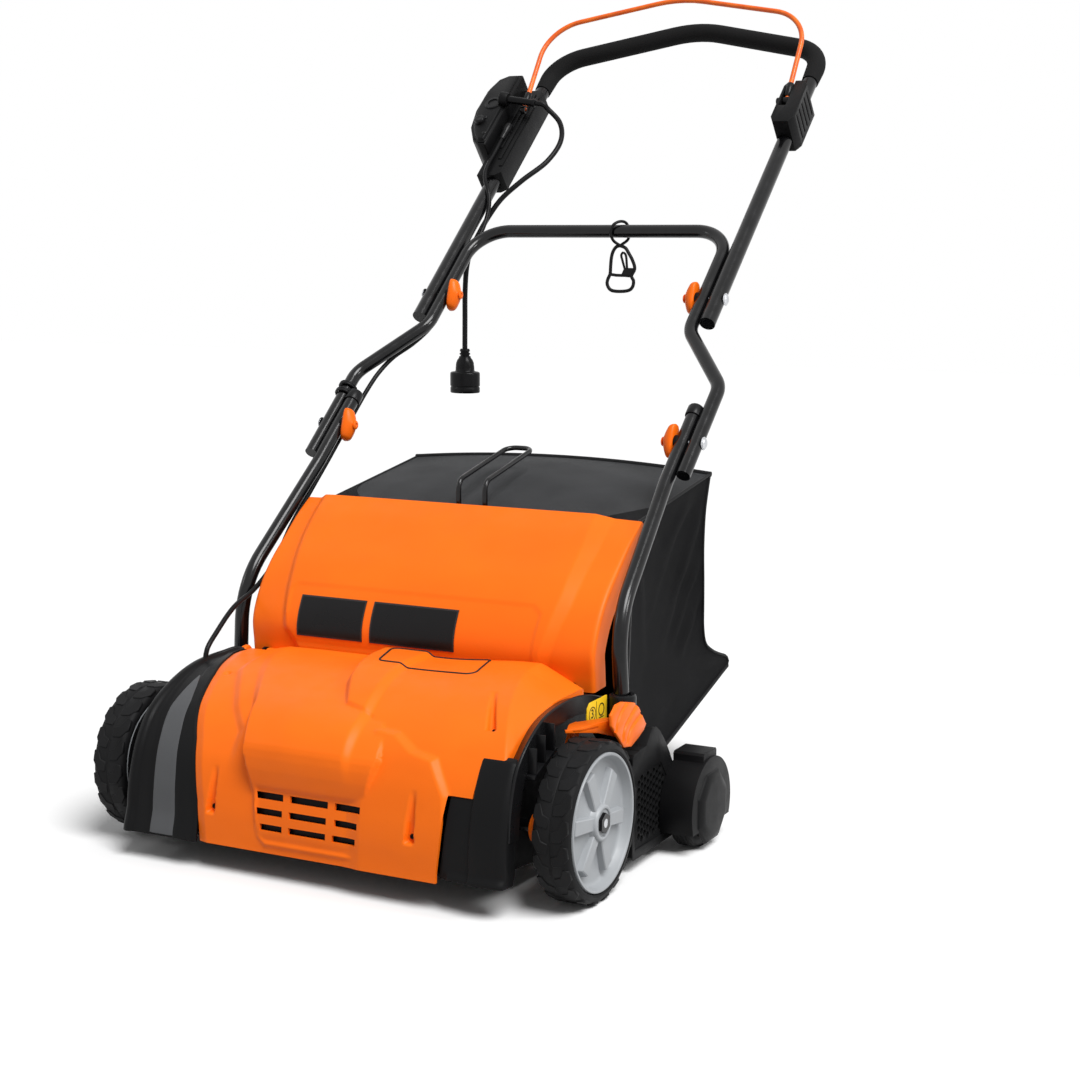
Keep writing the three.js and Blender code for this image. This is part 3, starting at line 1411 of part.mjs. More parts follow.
// The bail, in its own frame: Y along the bail from its pivot line.
function bailWire() {
  const eye = (x) => rodX(
    bailEyeRadius, x - bailSlotWidth / 2 + runningGap * 2, x + bailSlotWidth / 2 - runningGap * 2,
    0, 0, rodSides)
    .subtract(rodX(bailPinRadius + fitGap, x - bailSlotWidth, x + bailSlotWidth, 0, 0, boreSides))
  const footQ = bailEyeRadius - overrun / 2
  const wire = bentBar([
    corner(-bailX, footQ, 0), corner(-bailX, bailCornerQ, 0, bailCornerRadius),
    corner(0, bailApexQ, 0, apexBendRadius), corner(bailX, bailCornerQ, 0, bailCornerRadius),
    corner(bailX, footQ, 0),
  ], bailRadius, 0, boreSides)
  return joined(wire, eye(-bailX), eye(bailX))
}

// A closed outline of [x, z] points, mirrored so that it is the same on both sides.
function mirrored(points) {
  const left = points.map(([x, z]) => new THREE.Vector2(-x, z))
  const right = points.map(([x, z]) => new THREE.Vector2(x, z)).reverse()
  return [...left, ...right]
}

// Half outlines of the hook and its two openings, as shares of its half width and length.
const hookShares = [[0.5, 0], [1, 0.3], [0.72, 0.55], [1, 0.86], [0.75, 1]]
const hookUpperShares = [[0.35, 0.1], [0.7, 0.3], [0.42, 0.48]]
const hookLowerShares = [[0.42, 0.6], [0.72, 0.84], [0.55, 0.9]]

// A cord hook that hangs on the crossbar: a ring, an upper loop and a lower loop.
function cordHook() {
  const ringRadius = lowerTubeRadius + fitGap + hookRingWall
  const top = hookRingWall / 2 - ringRadius
  const sized = (shares) => mirrored(
    shares.map(([across, down]) => [(across * hookWidth) / 2, top - down * hookLength]))
  const outline = new THREE.Shape(sized(hookShares))
  outline.holes.push(new THREE.Path(sized(hookUpperShares)), new THREE.Path(sized(hookLowerShares)))
  const plate = new THREE.ExtrudeGeometry(
    outline, { depth: hookPlateThickness, bevelEnabled: false })
    .rotateX(Math.PI / 2).translate(0, hookPlateThickness / 2, 0)
  return joined(
    rodX(ringRadius, -hookRingWidth / 2, hookRingWidth / 2, 0, 0), solidOf(plate))
    .subtract(rodX((lowerTubeRadius + fitGap) / Math.cos(Math.PI / rodSides),
      -hookRingWidth, hookRingWidth, 0, 0))
}

// The plug, turned about a vertical axis, with its neck at the top.
function plug() {
  const bodyLow = -plugNeckLength - plugBodyLength
  const outline = [
    [0, 0], [plugNeckRadius * plugTaperShare, 0], [plugNeckRadius, -plugNeckLength],
    [plugBodyRadius * plugTaperShare, -plugNeckLength], [plugBodyRadius, bodyLow],
    [plugFlangeRadius - overrun, bodyLow], [plugFlangeRadius, bodyLow - overrun],
    [plugFlangeRadius, bodyLow - plugFlangeLength], [0, bodyLow - plugFlangeLength],
  ].map(([radius, z]) => new THREE.Vector2(radius, z))
  return solidOf(new THREE.LatheGeometry(outline, tubeSides * 2).rotateX(Math.PI / 2))
}

// The moulded strain relief, tapering from the switch box towards the cord.
function strainRelief() {
  const [from, to] = [cordStart, reliefEnd]
  const length = from.distanceTo(to)
  const cone = new THREE.CylinderGeometry(cordRadius * reliefTipShare, reliefRadius, length, rodSides)
  const turn = new THREE.Quaternion().setFromUnitVectors(
    new THREE.Vector3(0, 1, 0), to.clone().sub(from).normalize())
  const middle = from.clone().add(to).multiplyScalar(1 / 2)
  const inside = block(
    [boxLeftX, boxLowS, -boxHighS], [boxStepX + fitGap, boxHighS * 2, boxHighS])
  return solidOf(cone.applyQuaternion(turn).translate(middle.x, middle.y, middle.z))
    .subtract(inside)
}

// Routes of the motor cable and the power cord, chosen by hand
const lowerCablePoints = [
  [-277.8, 406.9, 504.3], [-277.8, 361.9, 464.7], [-278.6, 316.8, 425], [-275, 262, 383],
  [-273, 215, 336], [-272, 165, 306], [-272, 115, 288], [-271, 75, 262], [-270, 50, 242],
  [-270, 45, 228.9],
]
const middleCablePoints = [
  [-231, 282, -17], [-227, 250, -17], [-226, 225, -16.5], [-240, 190, -16], [-262, 158, -16],
  [-273, 125, -16.5], [-277, 90, -17], [-277.8, 40, -17], [-277.8, 0.3, -17],
]
const upperCablePoints = [
  [-250, 655, 22.5], [-249, 610, 22.5], [-247, 553, 22.5], [-241, 533, 19], [-230, 514, 13.5],
  [-223.5, 495, 4], [-222, 474, -5], [-223, 450, -12], [-226, 425, -17], [-229, 390, -17.5],
  [-231, 330, -17], [-231, 282.6, -17],
]
const cordPath = [
  [-186, 699, 31], [-164, 684, 15], [-149, 645, 8], [-157, 598, 4],
  [-186, 550, 3], [-211, 512, -3], [-228, 480, -16], [-238, 456, -27], [-247, 430, -40],
  [-251, 408, -55], [-253, 380.7, -82], [-253.5, 350, -116.5], [-254, 317.8, -153],
]
const cordStart = new THREE.Vector3(boxStepX - overrun, cordGlandS, cordGlandN)
const reliefEnd = new THREE.Vector3(
  boxStepX + reliefLength, cordGlandS - overrun * 2, cordGlandN - overrun * 4)
const cordLead = [fitGap, reliefLength / 4].map((distance) => reliefEnd.clone().addScaledVector(
  reliefEnd.clone().sub(cordStart).normalize(), distance).toArray())
const cordPoints = [...cordLead, ...cordPath]

const handleFrame = new THREE.Group()
handleFrame.position.set(0, lowerBoltY, lowerBoltZ)
handleFrame.rotation.x = radians(handleAngleDegrees)

function middleHandle() {
  handleFrame.add(
    piece('middle_tube', middleTube(), blackPaint),
    piece('lower_bolt_left', boltAt(lowerJoint, -1), steel),
    piece('lower_bolt_right', boltAt(lowerJoint, 1), steel),
    piece('lower_knob_left', knobAt(lowerJoint, -1), orangePlastic),
    piece('lower_knob_right', knobAt(lowerJoint, 1), orangePlastic),
    piece('motor_cable_middle', cordThrough(middleCablePoints, cableRadius, boreSides), softRubber))
  const hook = piece('cord_hook', cordHook(), blackPlastic)
  hook.position.set(hookX, crossbarS, 0)
  hook.rotation.x = -radians(handleAngleDegrees)
  handleFrame.add(hook)
}

function upperHandle() {
  handleFrame.add(
    piece('upper_tube', upperTube(), blackPaint),
    piece('foam_grip', foamGrip(), softRubber),
    piece('switch_box', switchBox(), blackPlastic),
    piece('bail_bracket', bailBracket(), blackPlastic),
    piece('lock_button', lockButton(), blackPlastic),
    piece('upper_bolt_left', boltAt(upperJoint, -1), steel),
    piece('upper_bolt_right', boltAt(upperJoint, 1), steel),
    piece('upper_knob_left', knobAt(upperJoint, -1), orangePlastic),
    piece('upper_knob_right', knobAt(upperJoint, 1), orangePlastic),
    piece('strain_relief', strainRelief(), softRubber),
    piece('power_cord', cordThrough(cordPoints, cordRadius, boreSides), softRubber),
    piece('motor_cable_upper', cordThrough(upperCablePoints, cableRadius, boreSides), softRubber))
  const bail = piece('bail', bailWire(), orangePlastic)
  bail.position.set(0, bailPivotS, bailPivotN)
  bail.rotation.x = radians(bailTiltDegrees)
  handleFrame.add(bail)
  const plugPiece = piece('plug', plug(), blackPlastic)
  const [plugX, plugS, plugN] = cordPoints[cordPoints.length - 1]
  plugPiece.position.set(plugX, plugS, plugN)
  plugPiece.rotation.x = -radians(handleAngleDegrees)
  plugPiece.translateZ(-fitGap)
  handleFrame.add(plugPiece)
}

const machine = new THREE.Group()
machine.position.y = (bulgeHeight - coverFrontY - rearReach) / 2
machine.add(
  chassis(),
  piece('crank_axle', crankAxle(), steel),
  piece('depth_lever', depthLever(), orangePlastic),
  piece('front_tyre_left', frontTyre(-1), tyreRubber),
  piece('front_tyre_right', frontTyre(1), tyreRubber),
  piece('front_rim_left', frontRim(-1), greyPlastic),
  piece('front_rim_right', frontRim(1), greyPlastic),
  piece('rear_wheel_left', rearWheel(-1), tyreRubber),
  piece('rear_wheel_right', rearWheel(1), tyreRubber),
  rotor(),
  piece('motor_shaft', motorShaft(), steel),
  hood(),
  grassBag(),
  handleFrame)
middleHandle()
upperHandle()

const dethatcher = new THREE.Group()
dethatcher.add(machine)

export default dethatcher
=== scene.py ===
"""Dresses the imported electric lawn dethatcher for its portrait.

Lengths are written in millimetres in the maker's frame: the origin lies on the floor
under the front axle, -Y is the front, +X the right of the picture and +Z is up.
Draft turns them into metres in the row frame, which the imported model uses.
"""

from __future__ import annotations

import logging
import math
from dataclasses import dataclass, field
from enum import Enum
from typing import Callable, Iterable, Sequence

import bmesh
import bpy
import numpy as np
from mathutils import Matrix, Vector


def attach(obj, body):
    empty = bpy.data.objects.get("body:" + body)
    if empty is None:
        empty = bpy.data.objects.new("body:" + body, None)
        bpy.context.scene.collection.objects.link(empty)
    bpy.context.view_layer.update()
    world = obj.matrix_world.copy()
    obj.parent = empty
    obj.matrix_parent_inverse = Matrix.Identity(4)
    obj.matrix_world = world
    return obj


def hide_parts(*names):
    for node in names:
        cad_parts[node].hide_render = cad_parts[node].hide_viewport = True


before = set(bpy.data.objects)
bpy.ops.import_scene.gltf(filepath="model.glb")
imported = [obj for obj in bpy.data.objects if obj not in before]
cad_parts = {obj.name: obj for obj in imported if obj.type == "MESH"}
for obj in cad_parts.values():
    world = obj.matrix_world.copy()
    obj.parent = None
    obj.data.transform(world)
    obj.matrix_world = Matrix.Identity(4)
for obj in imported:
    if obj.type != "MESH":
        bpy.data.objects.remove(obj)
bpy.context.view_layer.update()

LOG = logging.getLogger("dethatcher")
MM = 0.001
FRONT_SHIFT = -494.0
HANDLE_TILT = math.radians(41.36)
HANDLE_FOOT = (396.0, 517.0)
FULL_TURN = 2 * math.pi

Point = Sequence[float]
Route = list[Point]
Outline = tuple[tuple[float, float], ...]
Place = Callable[[float, float, float], Point]
Numbers = float | np.ndarray
Colour = tuple[float, float, float]
Socket = bpy.types.NodeSocket


class Side(Enum):
    """The two sides of the machine."""

    LEFT = "left"
    RIGHT = "right"

    @property
    def sign(self) -> float:
        """Which way is outwards along X."""
        return 1.0 if self is Side.RIGHT else -1.0


# ---------------------------------------------------------------- sums and places


def slope(value: Numbers, low: Numbers, high: Numbers) -> np.ndarray:
    """Straight rise from 0 at low to 1 at high."""
    return np.clip((np.asarray(value, float) - low) / (high - low), 0.0, 1.0)


def ramp(value: Numbers, low: Numbers, high: Numbers) -> np.ndarray:
    """Smooth step from 0 at low to 1 at high."""
    share = slope(value, low, high)
    return share * share * (3.0 - 2.0 * share)


def row_point(point: Point) -> Vector:
    """A point in millimetres, in metres in the row frame."""
    return Vector((point[0] * MM, (point[1] + FRONT_SHIFT) * MM, point[2] * MM))


def handle_point(x: float, along: float, above: float = 0.0) -> Point:
    """A point of the tilted handle, in the maker's frame.

    Args:
        x: how far it lies to the right.
        along: how far it lies up the handle from the lower fold.
        above: how far it stands off the handle's plane.

    Returns:
        The point in the maker's frame.
    """
    cosine, sine = math.cos(HANDLE_TILT), math.sin(HANDLE_TILT)
    return (
        x,
        HANDLE_FOOT[0] + along * cosine - above * sine,
        HANDLE_FOOT[1] + along * sine + above * cosine,
    )


def handle_route(points: Iterable[Point]) -> Route:
    """A route on the handle in the maker's frame."""
    return [handle_point(*point) for point in points]


def handle_way(x: float, along: float, above: float) -> Vector:
    """A direction on the handle, as a vector in the maker's frame."""
    return Vector(handle_point(x, along, above)) - Vector(handle_point(0, 0, 0))


def rounded(points: Sequence[Point], bends: Sequence[float], turn: float = 5.0) -> Route:
    """A route whose corners are turned on an arc.

    Args:
        points: the corners of the route.
        bends: the bend radius at each corner between the two ends.
        turn: the most degrees between two neighbouring points of an arc.

    Returns:
        The points of the rounded route.
    """
    corners = [Vector(p) for p in points]
    route = [corners[0]]
    for past, corner, coming, radius in zip(corners, corners[1:], corners[2:], bends):
        before, after = (past - corner).normalized(), (coming - corner).normalized()
        opening = before.angle(after)
        if radius <= 0 or opening > math.radians(179.5):
            route.append(corner)
            continue
        reach = radius / math.tan(opening / 2)
        centre = corner + (before + after).normalized() * (radius / math.sin(opening / 2))
        first, last = corner + before * reach - centre, corner + after * reach - centre
        steps = max(2, math.ceil(math.degrees(math.pi - opening) / turn))
        for step in range(steps + 1):
            route.append(centre + first.slerp(last, step / steps).normalized() * radius)
    route.append(corners[-1])
    return [tuple(p) for p in route]


def smooth_route(points: Sequence[Point], step: float = 6.0) -> Route:
    """A curve that passes through all the points.

    Args:
        points: the points, in order.
        step: about how far apart the curve's own points lie.

    Returns:
        The points of the curve.
    """
    knots = np.array(points, float)
    padded = np.vstack([2 * knots[0] - knots[1], knots, 2 * knots[-1] - knots[-2]])
    route = []
    for index in range(1, len(padded) - 2):
        p0, p1, p2, p3 = padded[index - 1 : index + 3]
        count = max(2, int(np.linalg.norm(p2 - p1) / step))
        t0 = 0.0
        t1 = t0 + max(np.linalg.norm(p1 - p0), 1e-6) ** 0.5
        t2 = t1 + max(np.linalg.norm(p2 - p1), 1e-6) ** 0.5
        t3 = t2 + max(np.linalg.norm(p3 - p2), 1e-6) ** 0.5
        for share in np.arange(count) / count:
            t = t1 + (t2 - t1) * share
            a1 = (t1 - t) / (t1 - t0) * p0 + (t - t0) / (t1 - t0) * p1
            a2 = (t2 - t) / (t2 - t1) * p1 + (t - t1) / (t2 - t1) * p2
            a3 = (t3 - t) / (t3 - t2) * p2 + (t - t2) / (t3 - t2) * p3
            b1 = (t2 - t) / (t2 - t0) * a1 + (t - t0) / (t2 - t0) * a2
            b2 = (t3 - t) / (t3 - t1) * a2 + (t - t1) / (t3 - t1) * a3
            route.append(tuple((t2 - t) / (t2 - t1) * b1 + (t - t1) / (t2 - t1) * b2))
    route.append(tuple(knots[-1]))
    return route


def edge_distance(across: Numbers, along: Numbers, outline: Sequence[Point]) -> np.ndarray:
    """Signed distance to a closed outline, positive inside it.

    Args:
        across: first coordinates of the points asked about, any array shape.
        along: their second coordinates.
        outline: the corners of the outline.

    Returns:
        An array of distances of the same shape.
    """
    corners = np.array(outline, float)
    nearest = np.full(np.shape(across), 1e9)
    inside = np.zeros(np.shape(across), bool)
    for start, end in zip(corners, np.roll(corners, -1, axis=0)):
        run = end - start
        share = ((across - start[0]) * run[0] + (along - start[1]) * run[1]) / max(run @ run, 1e-9)
        share = np.clip(share, 0, 1)
        gap = np.hypot(across - start[0] - share * run[0], along - start[1] - share * run[1])
        nearest = np.minimum(nearest, gap)
        crosses = (start[1] > along) != (end[1] > along)
        reach = start[0] + (along - start[1]) * run[0] / (run[1] if run[1] else 1e-9)
        inside ^= crosses & (across < reach)
    return np.where(inside, nearest, -nearest)


def eased(at: Numbers, marks: Sequence[float], values: Sequence[float], reach: float) -> np.ndarray:
    """Straight runs between marks with their corners rounded over a reach."""
    shifts = np.linspace(-reach, reach, 9)
    return sum(np.interp(at + shift, marks, values) for shift in shifts) / len(shifts)


def disc_points(radius: float, sides: int, y: float = 0.0, z: float = 0.0, turn: float = 0.0) -> Route:
    """The corners of a regular outline round a point, its first one turned by turn."""
    turns = (turn + FULL_TURN * k / sides for k in range(sides))
    return [(y + radius * math.cos(t), z + radius * math.sin(t)) for t in turns]


def side_place(sign: float) -> Place:
    """Places an outline drawn in (y, z) at a distance sign * depth from the middle."""
    return lambda y, z, depth: (sign * depth, y, z)


# ---------------------------------------------------------------- finishes


class Wiring:
    """A node tree that is being wired."""

    def __init__(self, tree: bpy.types.NodeTree) -> None:
        """Takes a tree over and clears it."""
        self.tree = tree
        tree.nodes.clear()

    def node(
        self, kind: str, inputs: dict[str | int, Socket | float | Point], **settings: str
    ) -> bpy.types.NodeOutputs:
        """Adds a node and wires its inputs.

        Args:
            kind: the node's type.
            inputs: for each input's name or place, the socket or plain value that it takes.
            **settings: the node's own properties, which are set first.

        Returns:
            The node's outputs.
        """
        node = self.tree.nodes.new(kind)
        for name, value in settings.items():
            setattr(node, name, value)
        for name, value in inputs.items():
            if isinstance(value, Socket):
                self.tree.links.new(value, node.inputs[name])
            else:
                node.inputs[name].default_value = value
        return node.outputs

    def math(self, kind: str, first: Socket | float, second: Socket | float) -> Socket:
        """One sum of two sockets or numbers."""
        return self.node("ShaderNodeMath", {0: first, 1: second}, operation=kind)[0]


class Board(Wiring):
    """The node tree of one material, with short ways to add to it."""

    def __init__(self, name: str) -> None:
        """Starts a material that has only its shader and its output.

        Args:
            name: the material's name.
        """
        self.material = bpy.data.materials.new(name)
        self.material.use_nodes = True
        super().__init__(self.material.node_tree)
        self.shader = self.tree.nodes.new("ShaderNodeBsdfPrincipled").inputs
        self.node("ShaderNodeOutputMaterial", {"Surface": self.tree.nodes[0].outputs["BSDF"]})
        self.place = self.node("ShaderNodeTexCoord", {})["Object"]

    def noise(self, scale: float, detail: float = 3.0, stretch: Point = (1, 1, 1)) -> Socket:
        """Grey noise on object coordinates.

        Args:
            scale: about how many grains go to the metre.
            detail: how many finer layers are laid over it.
            stretch: how much closer the grains lie along each axis.

        Returns:
            The noise's socket.
        """
        place = self.place
        if tuple(stretch) != (1, 1, 1):
            place = self.node("ShaderNodeMapping", {"Scale": stretch, "Vector": place})["Vector"]
        return self.node("ShaderNodeTexNoise", {"Scale": scale, "Detail": detail, "Vector": place})["Fac"]

    def cells(self, scale: float) -> Socket:
        """Distance to the nearest of many scattered cell centres."""
        return self.node("ShaderNodeTexVoronoi", {"Scale": scale, "Vector": self.place})["Distance"]

    def fit(self, source: Socket, low: float, high: float, to_low: float, to_high: float) -> Socket:
        """Maps a range of one socket to another range, clamped."""
        ends = {"From Min": low, "From Max": high, "To Min": to_low, "To Max": to_high}
        return self.node("ShaderNodeMapRange", {"Value": source, **ends})["Result"]

    def mix(self, share: Socket, first: Socket | Point, second: Socket | Point) -> Socket:
        """A colour between two colours."""
        return self.node("ShaderNodeMix", {0: share, 6: first, 7: second}, data_type="RGBA")[2]

    def tint(self, source: Socket, span: Point, colour: Colour, dark: float, light: float) -> Socket:
        """The colour from dark to light times itself, as a socket goes through a span."""
        return self.mix(self.fit(source, *span, 0, 1), shade(colour, dark), shade(colour, light))

    def coat(self, tint: Socket, rough: Socket | None = None) -> None:
        """Puts a colour on the shader, and a roughness if there is one.

        Args:
            tint: the colour's socket.
            rough: the roughness's socket.
        """
        for name, source in (("Base Color", tint), ("Roughness", rough)):
            if source is not None:
                self.tree.links.new(source, self.shader[name])

    def bump(self, height: Socket, distance: float, strength: float) -> None:
        """Gives the shader a bump of that height in metres."""
        inputs = {"Strength": strength, "Distance": distance, "Height": height}
        self.tree.links.new(self.node("ShaderNodeBump", inputs)["Normal"], self.shader["Normal"])

    def set(self, **values: float) -> None:
        """Sets plain numbers on the shader's own sockets."""
        for name, value in values.items():
            self.shader[name.replace("_", " ")].default_value = value


def shade(colour: Colour, factor: float) -> tuple[float, float, float, float]:
    """The colour made darker or lighter."""
    return tuple(min(1.0, c * factor) for c in colour) + (1.0,)


@dataclass(frozen=True)
class Finish:
    """A surface finish: what every finish of the machine has in common."""

    name: str
    slot: str
    colour: Colour
    roughness: float = 0.5

    def build(self) -> bpy.types.Material:
        """Makes the material, once for each finish.

        Returns:
            The material.
        """
        ready = bpy.data.materials.get(self.name)
        if ready:
            return ready
        board = Board(self.name)
        self.paint(board)
        board.material.diffuse_color = (*self.colour, 1.0)
        return board.material

    def paint(self, board: Board) -> None:
        """Draws the finish on the board; each kind of finish has its own way."""
        raise NotImplementedError


@dataclass(frozen=True)
class Moulded(Finish):
    """Injection-moulded plastic: fine grain, faint flow marks, rubbed patches."""

    grain: float = 2600.0
    depth: float = 0.00006
    specular: float = 0.45

    def paint(self, board: Board) -> None:
        """Grain in the bump, slow flow marks in the colour and the gloss.

        Args:
            board: the material's board.
        """
        flow, speck = board.noise(9.0, 2.0, (1, 1, 2.2)), board.noise(420.0, 2.0)
        tint = board.tint(flow, (0.3, 0.7), self.colour, 0.94, 1.04)
        tint = board.mix(board.fit(speck, 0.6, 0.78, 0, 0.25), tint, shade(self.colour, 0.86))
        board.coat(tint, board.fit(board.noise(34.0, 4.0), 0.35, 0.68, self.roughness + 0.05, self.roughness - 0.05))
        board.bump(board.noise(self.grain, 2.0), self.depth, 0.6)
        board.set(Specular_IOR_Level=self.specular)


@dataclass(frozen=True)
class GlossPaint(Finish):
    """Baked black enamel on steel tube, with a slight orange peel."""

    def paint(self, board: Board) -> None:
        """Orange peel in the bump, dust in the gloss.

        Args:
            board: the material's board.
        """
        dust = board.noise(60.0, 5.0)
        tint = board.tint(dust, (0.4, 0.7), self.colour, 0.9, 1.5)
        board.coat(tint, board.fit(dust, 0.35, 0.75, self.roughness, self.roughness + 0.1))
        board.bump(board.noise(520.0, 1.0), 0.00012, 0.12)
        board.set(Specular_IOR_Level=0.3, Coat_Weight=0.06, Coat_Roughness=0.05)


@dataclass(frozen=True)
class Metal(Finish):
    """Bright zinc-plated or turned steel."""

    turned: float = 900.0

    def paint(self, board: Board) -> None:
        """Fine turning marks and slightly uneven plating.

        Args:
            board: the material's board.
        """
        cloud = board.noise(70.0, 4.0)
        tint = board.tint(cloud, (0.35, 0.7), self.colour, 0.85, 1.05)
        board.coat(tint, board.fit(cloud, 0.3, 0.7, self.roughness - 0.06, self.roughness + 0.08))
        board.bump(board.noise(self.turned, 2.0, (6, 1, 1)), 0.00004, 0.3)
        board.set(Metallic=1.0)


@dataclass(frozen=True)
class Rubber(Finish):
    """Tyre or cable rubber: dull, with a dusty bloom in patches."""

    grain: float = 900.0

    def paint(self, board: Board) -> None:
        """Dusty bloom over a dark base, with a pebbled bump.

        Args:
            board: the material's board.
        """
        bloom = board.noise(26.0, 5.0)
        tint = board.tint(bloom, (0.35, 0.75), self.colour, 0.8, 1.5)
        board.coat(tint, board.fit(bloom, 0.3, 0.7, self.roughness - 0.06, self.roughness + 0.08))
        board.bump(board.noise(self.grain, 3.0), 0.0001, 0.5)
        board.set(Specular_IOR_Level=0.12)


@dataclass(frozen=True)
class Foam(Finish):
    """Closed-cell foam of the hand grip: small open pores, no shine."""

    def paint(self, board: Board) -> None:
        """Pores in the bump, and painted shade darkening the pores in the colour.

        Args:
            board: the material's board.
        """
        pores = board.cells(900.0)
        # Painted shade: the colour darkens towards each pore's middle, where the bump dips.
        board.coat(board.tint(pores, (0.0, 0.5), self.colour, 0.6, 1.25))
        board.bump(pores, 0.0003, 0.5)
        board.set(Roughness=self.roughness, Specular_IOR_Level=0.1)


@dataclass(frozen=True)
class Weave(Finish):
    """Woven bag cloth, on the piece's own UV map in millimetres."""

    pitch: float = 1.6
    painted_glint: float = 0.0

    def paint(self, board: Board) -> None:
        """Over-and-under threads in bump and colour, with painted glints (grey specks that stand in for highlights) if
        asked.

        Args:
            board: the material's board.
        """
        grid = board.node("ShaderNodeUVMap", {}, uv_map="cloth")["UV"]
        parts = board.node("ShaderNodeSeparateXYZ", {0: grid})
        turn = FULL_TURN / self.pitch
        warp, weft = (board.math("SINE", board.math("MULTIPLY", parts[i], turn), 0.0) for i in (0, 1))
        thread = board.math("MULTIPLY", warp, weft)
        cloud = board.noise(14.0, 4.0)
        tint = board.tint(thread, (-0.6, 0.8), self.colour, 0.55, 1.35)
        tint = board.mix(board.fit(cloud, 0.35, 0.7, 0, 0.35), tint, shade(self.colour, 1.7))
        if self.painted_glint:
            # Painted glints: grey specks in the base colour stand in for highlights on the coated cloth.
            glint = board.cells(700.0)
            tint = board.mix(board.fit(glint, 0.0, 0.16, self.painted_glint, 0), tint, (0.5, 0.5, 0.5, 1))
        board.coat(tint)
        board.bump(thread, 0.00035, 0.7)
        board.set(Roughness=self.roughness, Specular_IOR_Level=0.08)


@dataclass(frozen=True)
class Plate(Finish):
    """A plain printed plate: a flat colour film without lettering."""

    def paint(self, board: Board) -> None:
        """Film with faint orange peel and handling marks in the gloss.

        Args:
            board: the material's board.
        """
        marks = board.noise(48.0, 4.0)
        tint = board.tint(marks, (0.3, 0.75), self.colour, 0.95, 1.05)
        board.coat(tint, board.fit(marks, 0.35, 0.7, self.roughness, self.roughness + 0.12))
        board.bump(board.noise(700.0, 1.0), 0.00003, 0.3)
        board.set(Specular_IOR_Level=0.3)


ORANGE = Moulded("orange_plastic_finish", "orange_plastic", (1.0, 0.168, 0.005), 0.45, specular=0.22)
BLACK = Moulded(
    "black_plastic_finish", "black_plastic", (0.0058, 0.0058, 0.0062), 0.42, depth=0.0001, specular=0.09
)
BLACK_SATIN = Moulded("satin_black_finish", "black_plastic", (0.006, 0.006, 0.0066), 0.3, specular=0.16)
GREY = Moulded("grey_plastic_finish", "grey_plastic", (0.34, 0.355, 0.37), 0.42)
STRIPE = Moulded("dark_grey_stripe_finish", "dark_grey_plastic", (0.07, 0.072, 0.076), 0.46, specular=0.3)
ORANGE_KNOB = Moulded("orange_knob_finish", "orange_plastic", (1.0, 0.16, 0.005), 0.38, specular=0.2)
PAINT = GlossPaint("black_enamel_finish", "black_paint", (0.003, 0.003, 0.0035), 0.16)
GUNMETAL = GlossPaint("rotor_enamel_finish", "steel", (0.02, 0.02, 0.022), 0.3)
STEEL = Metal("zinc_steel_finish", "steel", (0.62, 0.63, 0.65), 0.28)
MOTOR = Metal("motor_metal_finish", "motor_metal", (0.35, 0.36, 0.38), 0.4)
TYRE = Rubber("tyre_rubber_finish", "tyre_rubber", (0.0062, 0.0062, 0.0066), 0.55)
CABLE = Rubber("cable_jacket_finish", "soft_rubber", (0.005, 0.005, 0.0055), 0.3, grain=500.0)
BELT = Rubber("belt_rubber_finish", "soft_rubber", (0.02, 0.02, 0.02), 0.7)
FOAM = Foam("grip_foam_finish", "soft_rubber", (0.009, 0.009, 0.0092), 0.85)
# The coated cloth carries painted glints: grey specks standing in for highlights.
CLOTH = Weave("coated_cloth_finish", "bag_fabric", (0.04, 0.041, 0.043), 0.6, 1.3, painted_glint=0.3)
NET = Weave("net_cloth_finish", "bag_fabric", (0.006, 0.006, 0.0065), 0.75, 2.4)
PIPING = Rubber("piping_finish", "bag_fabric", (0.008, 0.008, 0.0085), 0.5)
YELLOW = Plate("yellow_plate_finish", "yellow_plate", (0.95, 0.62, 0.02), 0.35)
INK = Plate("black_print_finish", "yellow_plate", (0.01, 0.01, 0.01), 0.4)
# Painted shade: a near-black without shine for the honeycomb's pit floors, darker than the black plastic round them.
PIT_SHADE = Moulded("comb_pit_shade_finish", "black_plastic", (0.0012, 0.0012, 0.0012), 0.95, specular=0.0)
LABEL = Plate("dark_label_finish", "dark_grey_plastic", (0.016, 0.013, 0.013), 0.4)
BADGE_LINE = Plate("badge_line_finish", "black_plastic", (0.008, 0.006, 0.006), 0.6)
ORANGE_WIRE = GlossPaint("orange_wire_finish", "orange_wire", (0.9, 0.13, 0.01), 0.3)


# ---------------------------------------------------------------- mesh drafts


def linked(name: str, data: bpy.types.ID) -> bpy.types.Object:
    """Makes an object and puts it in the scene.

    Args:
        name: its name.
        data: its mesh, curve, camera or light.

    Returns:
        The object.
    """
    obj = bpy.data.objects.new(name, data)
    bpy.context.scene.collection.objects.link(obj)
    return obj


def evaluated(obj: bpy.types.Object) -> bpy.types.Mesh:
    """The mesh that an object has with its modifiers, as one of its own.

    Args:
        obj: the object, which is in the scene.

    Returns:
        The new mesh.
    """
    bpy.context.view_layer.update()
    graph = bpy.context.evaluated_depsgraph_get()
    return bpy.data.meshes.new_from_object(obj.evaluated_get(graph), depsgraph=graph)


def baked(obj: bpy.types.Object) -> None:
    """Turns an object's modifiers into its plain mesh.

    Args:
        obj: the object, which is in the scene.
    """
    mesh = evaluated(obj)
    obj.modifiers.clear()
    mesh.name = obj.name
    obj.data = mesh


def modified(obj: bpy.types.Object, kind: str, **settings: object) -> bpy.types.Modifier:
    """Adds one modifier to an object.

    Args:
        obj: the object.
        kind: the modifier's type.
        **settings: its values.

    Returns:
        The modifier.
    """
    modifier = obj.modifiers.new(kind.lower(), kind)
    for name, value in settings.items():
        setattr(modifier, name, value)
    return modifier


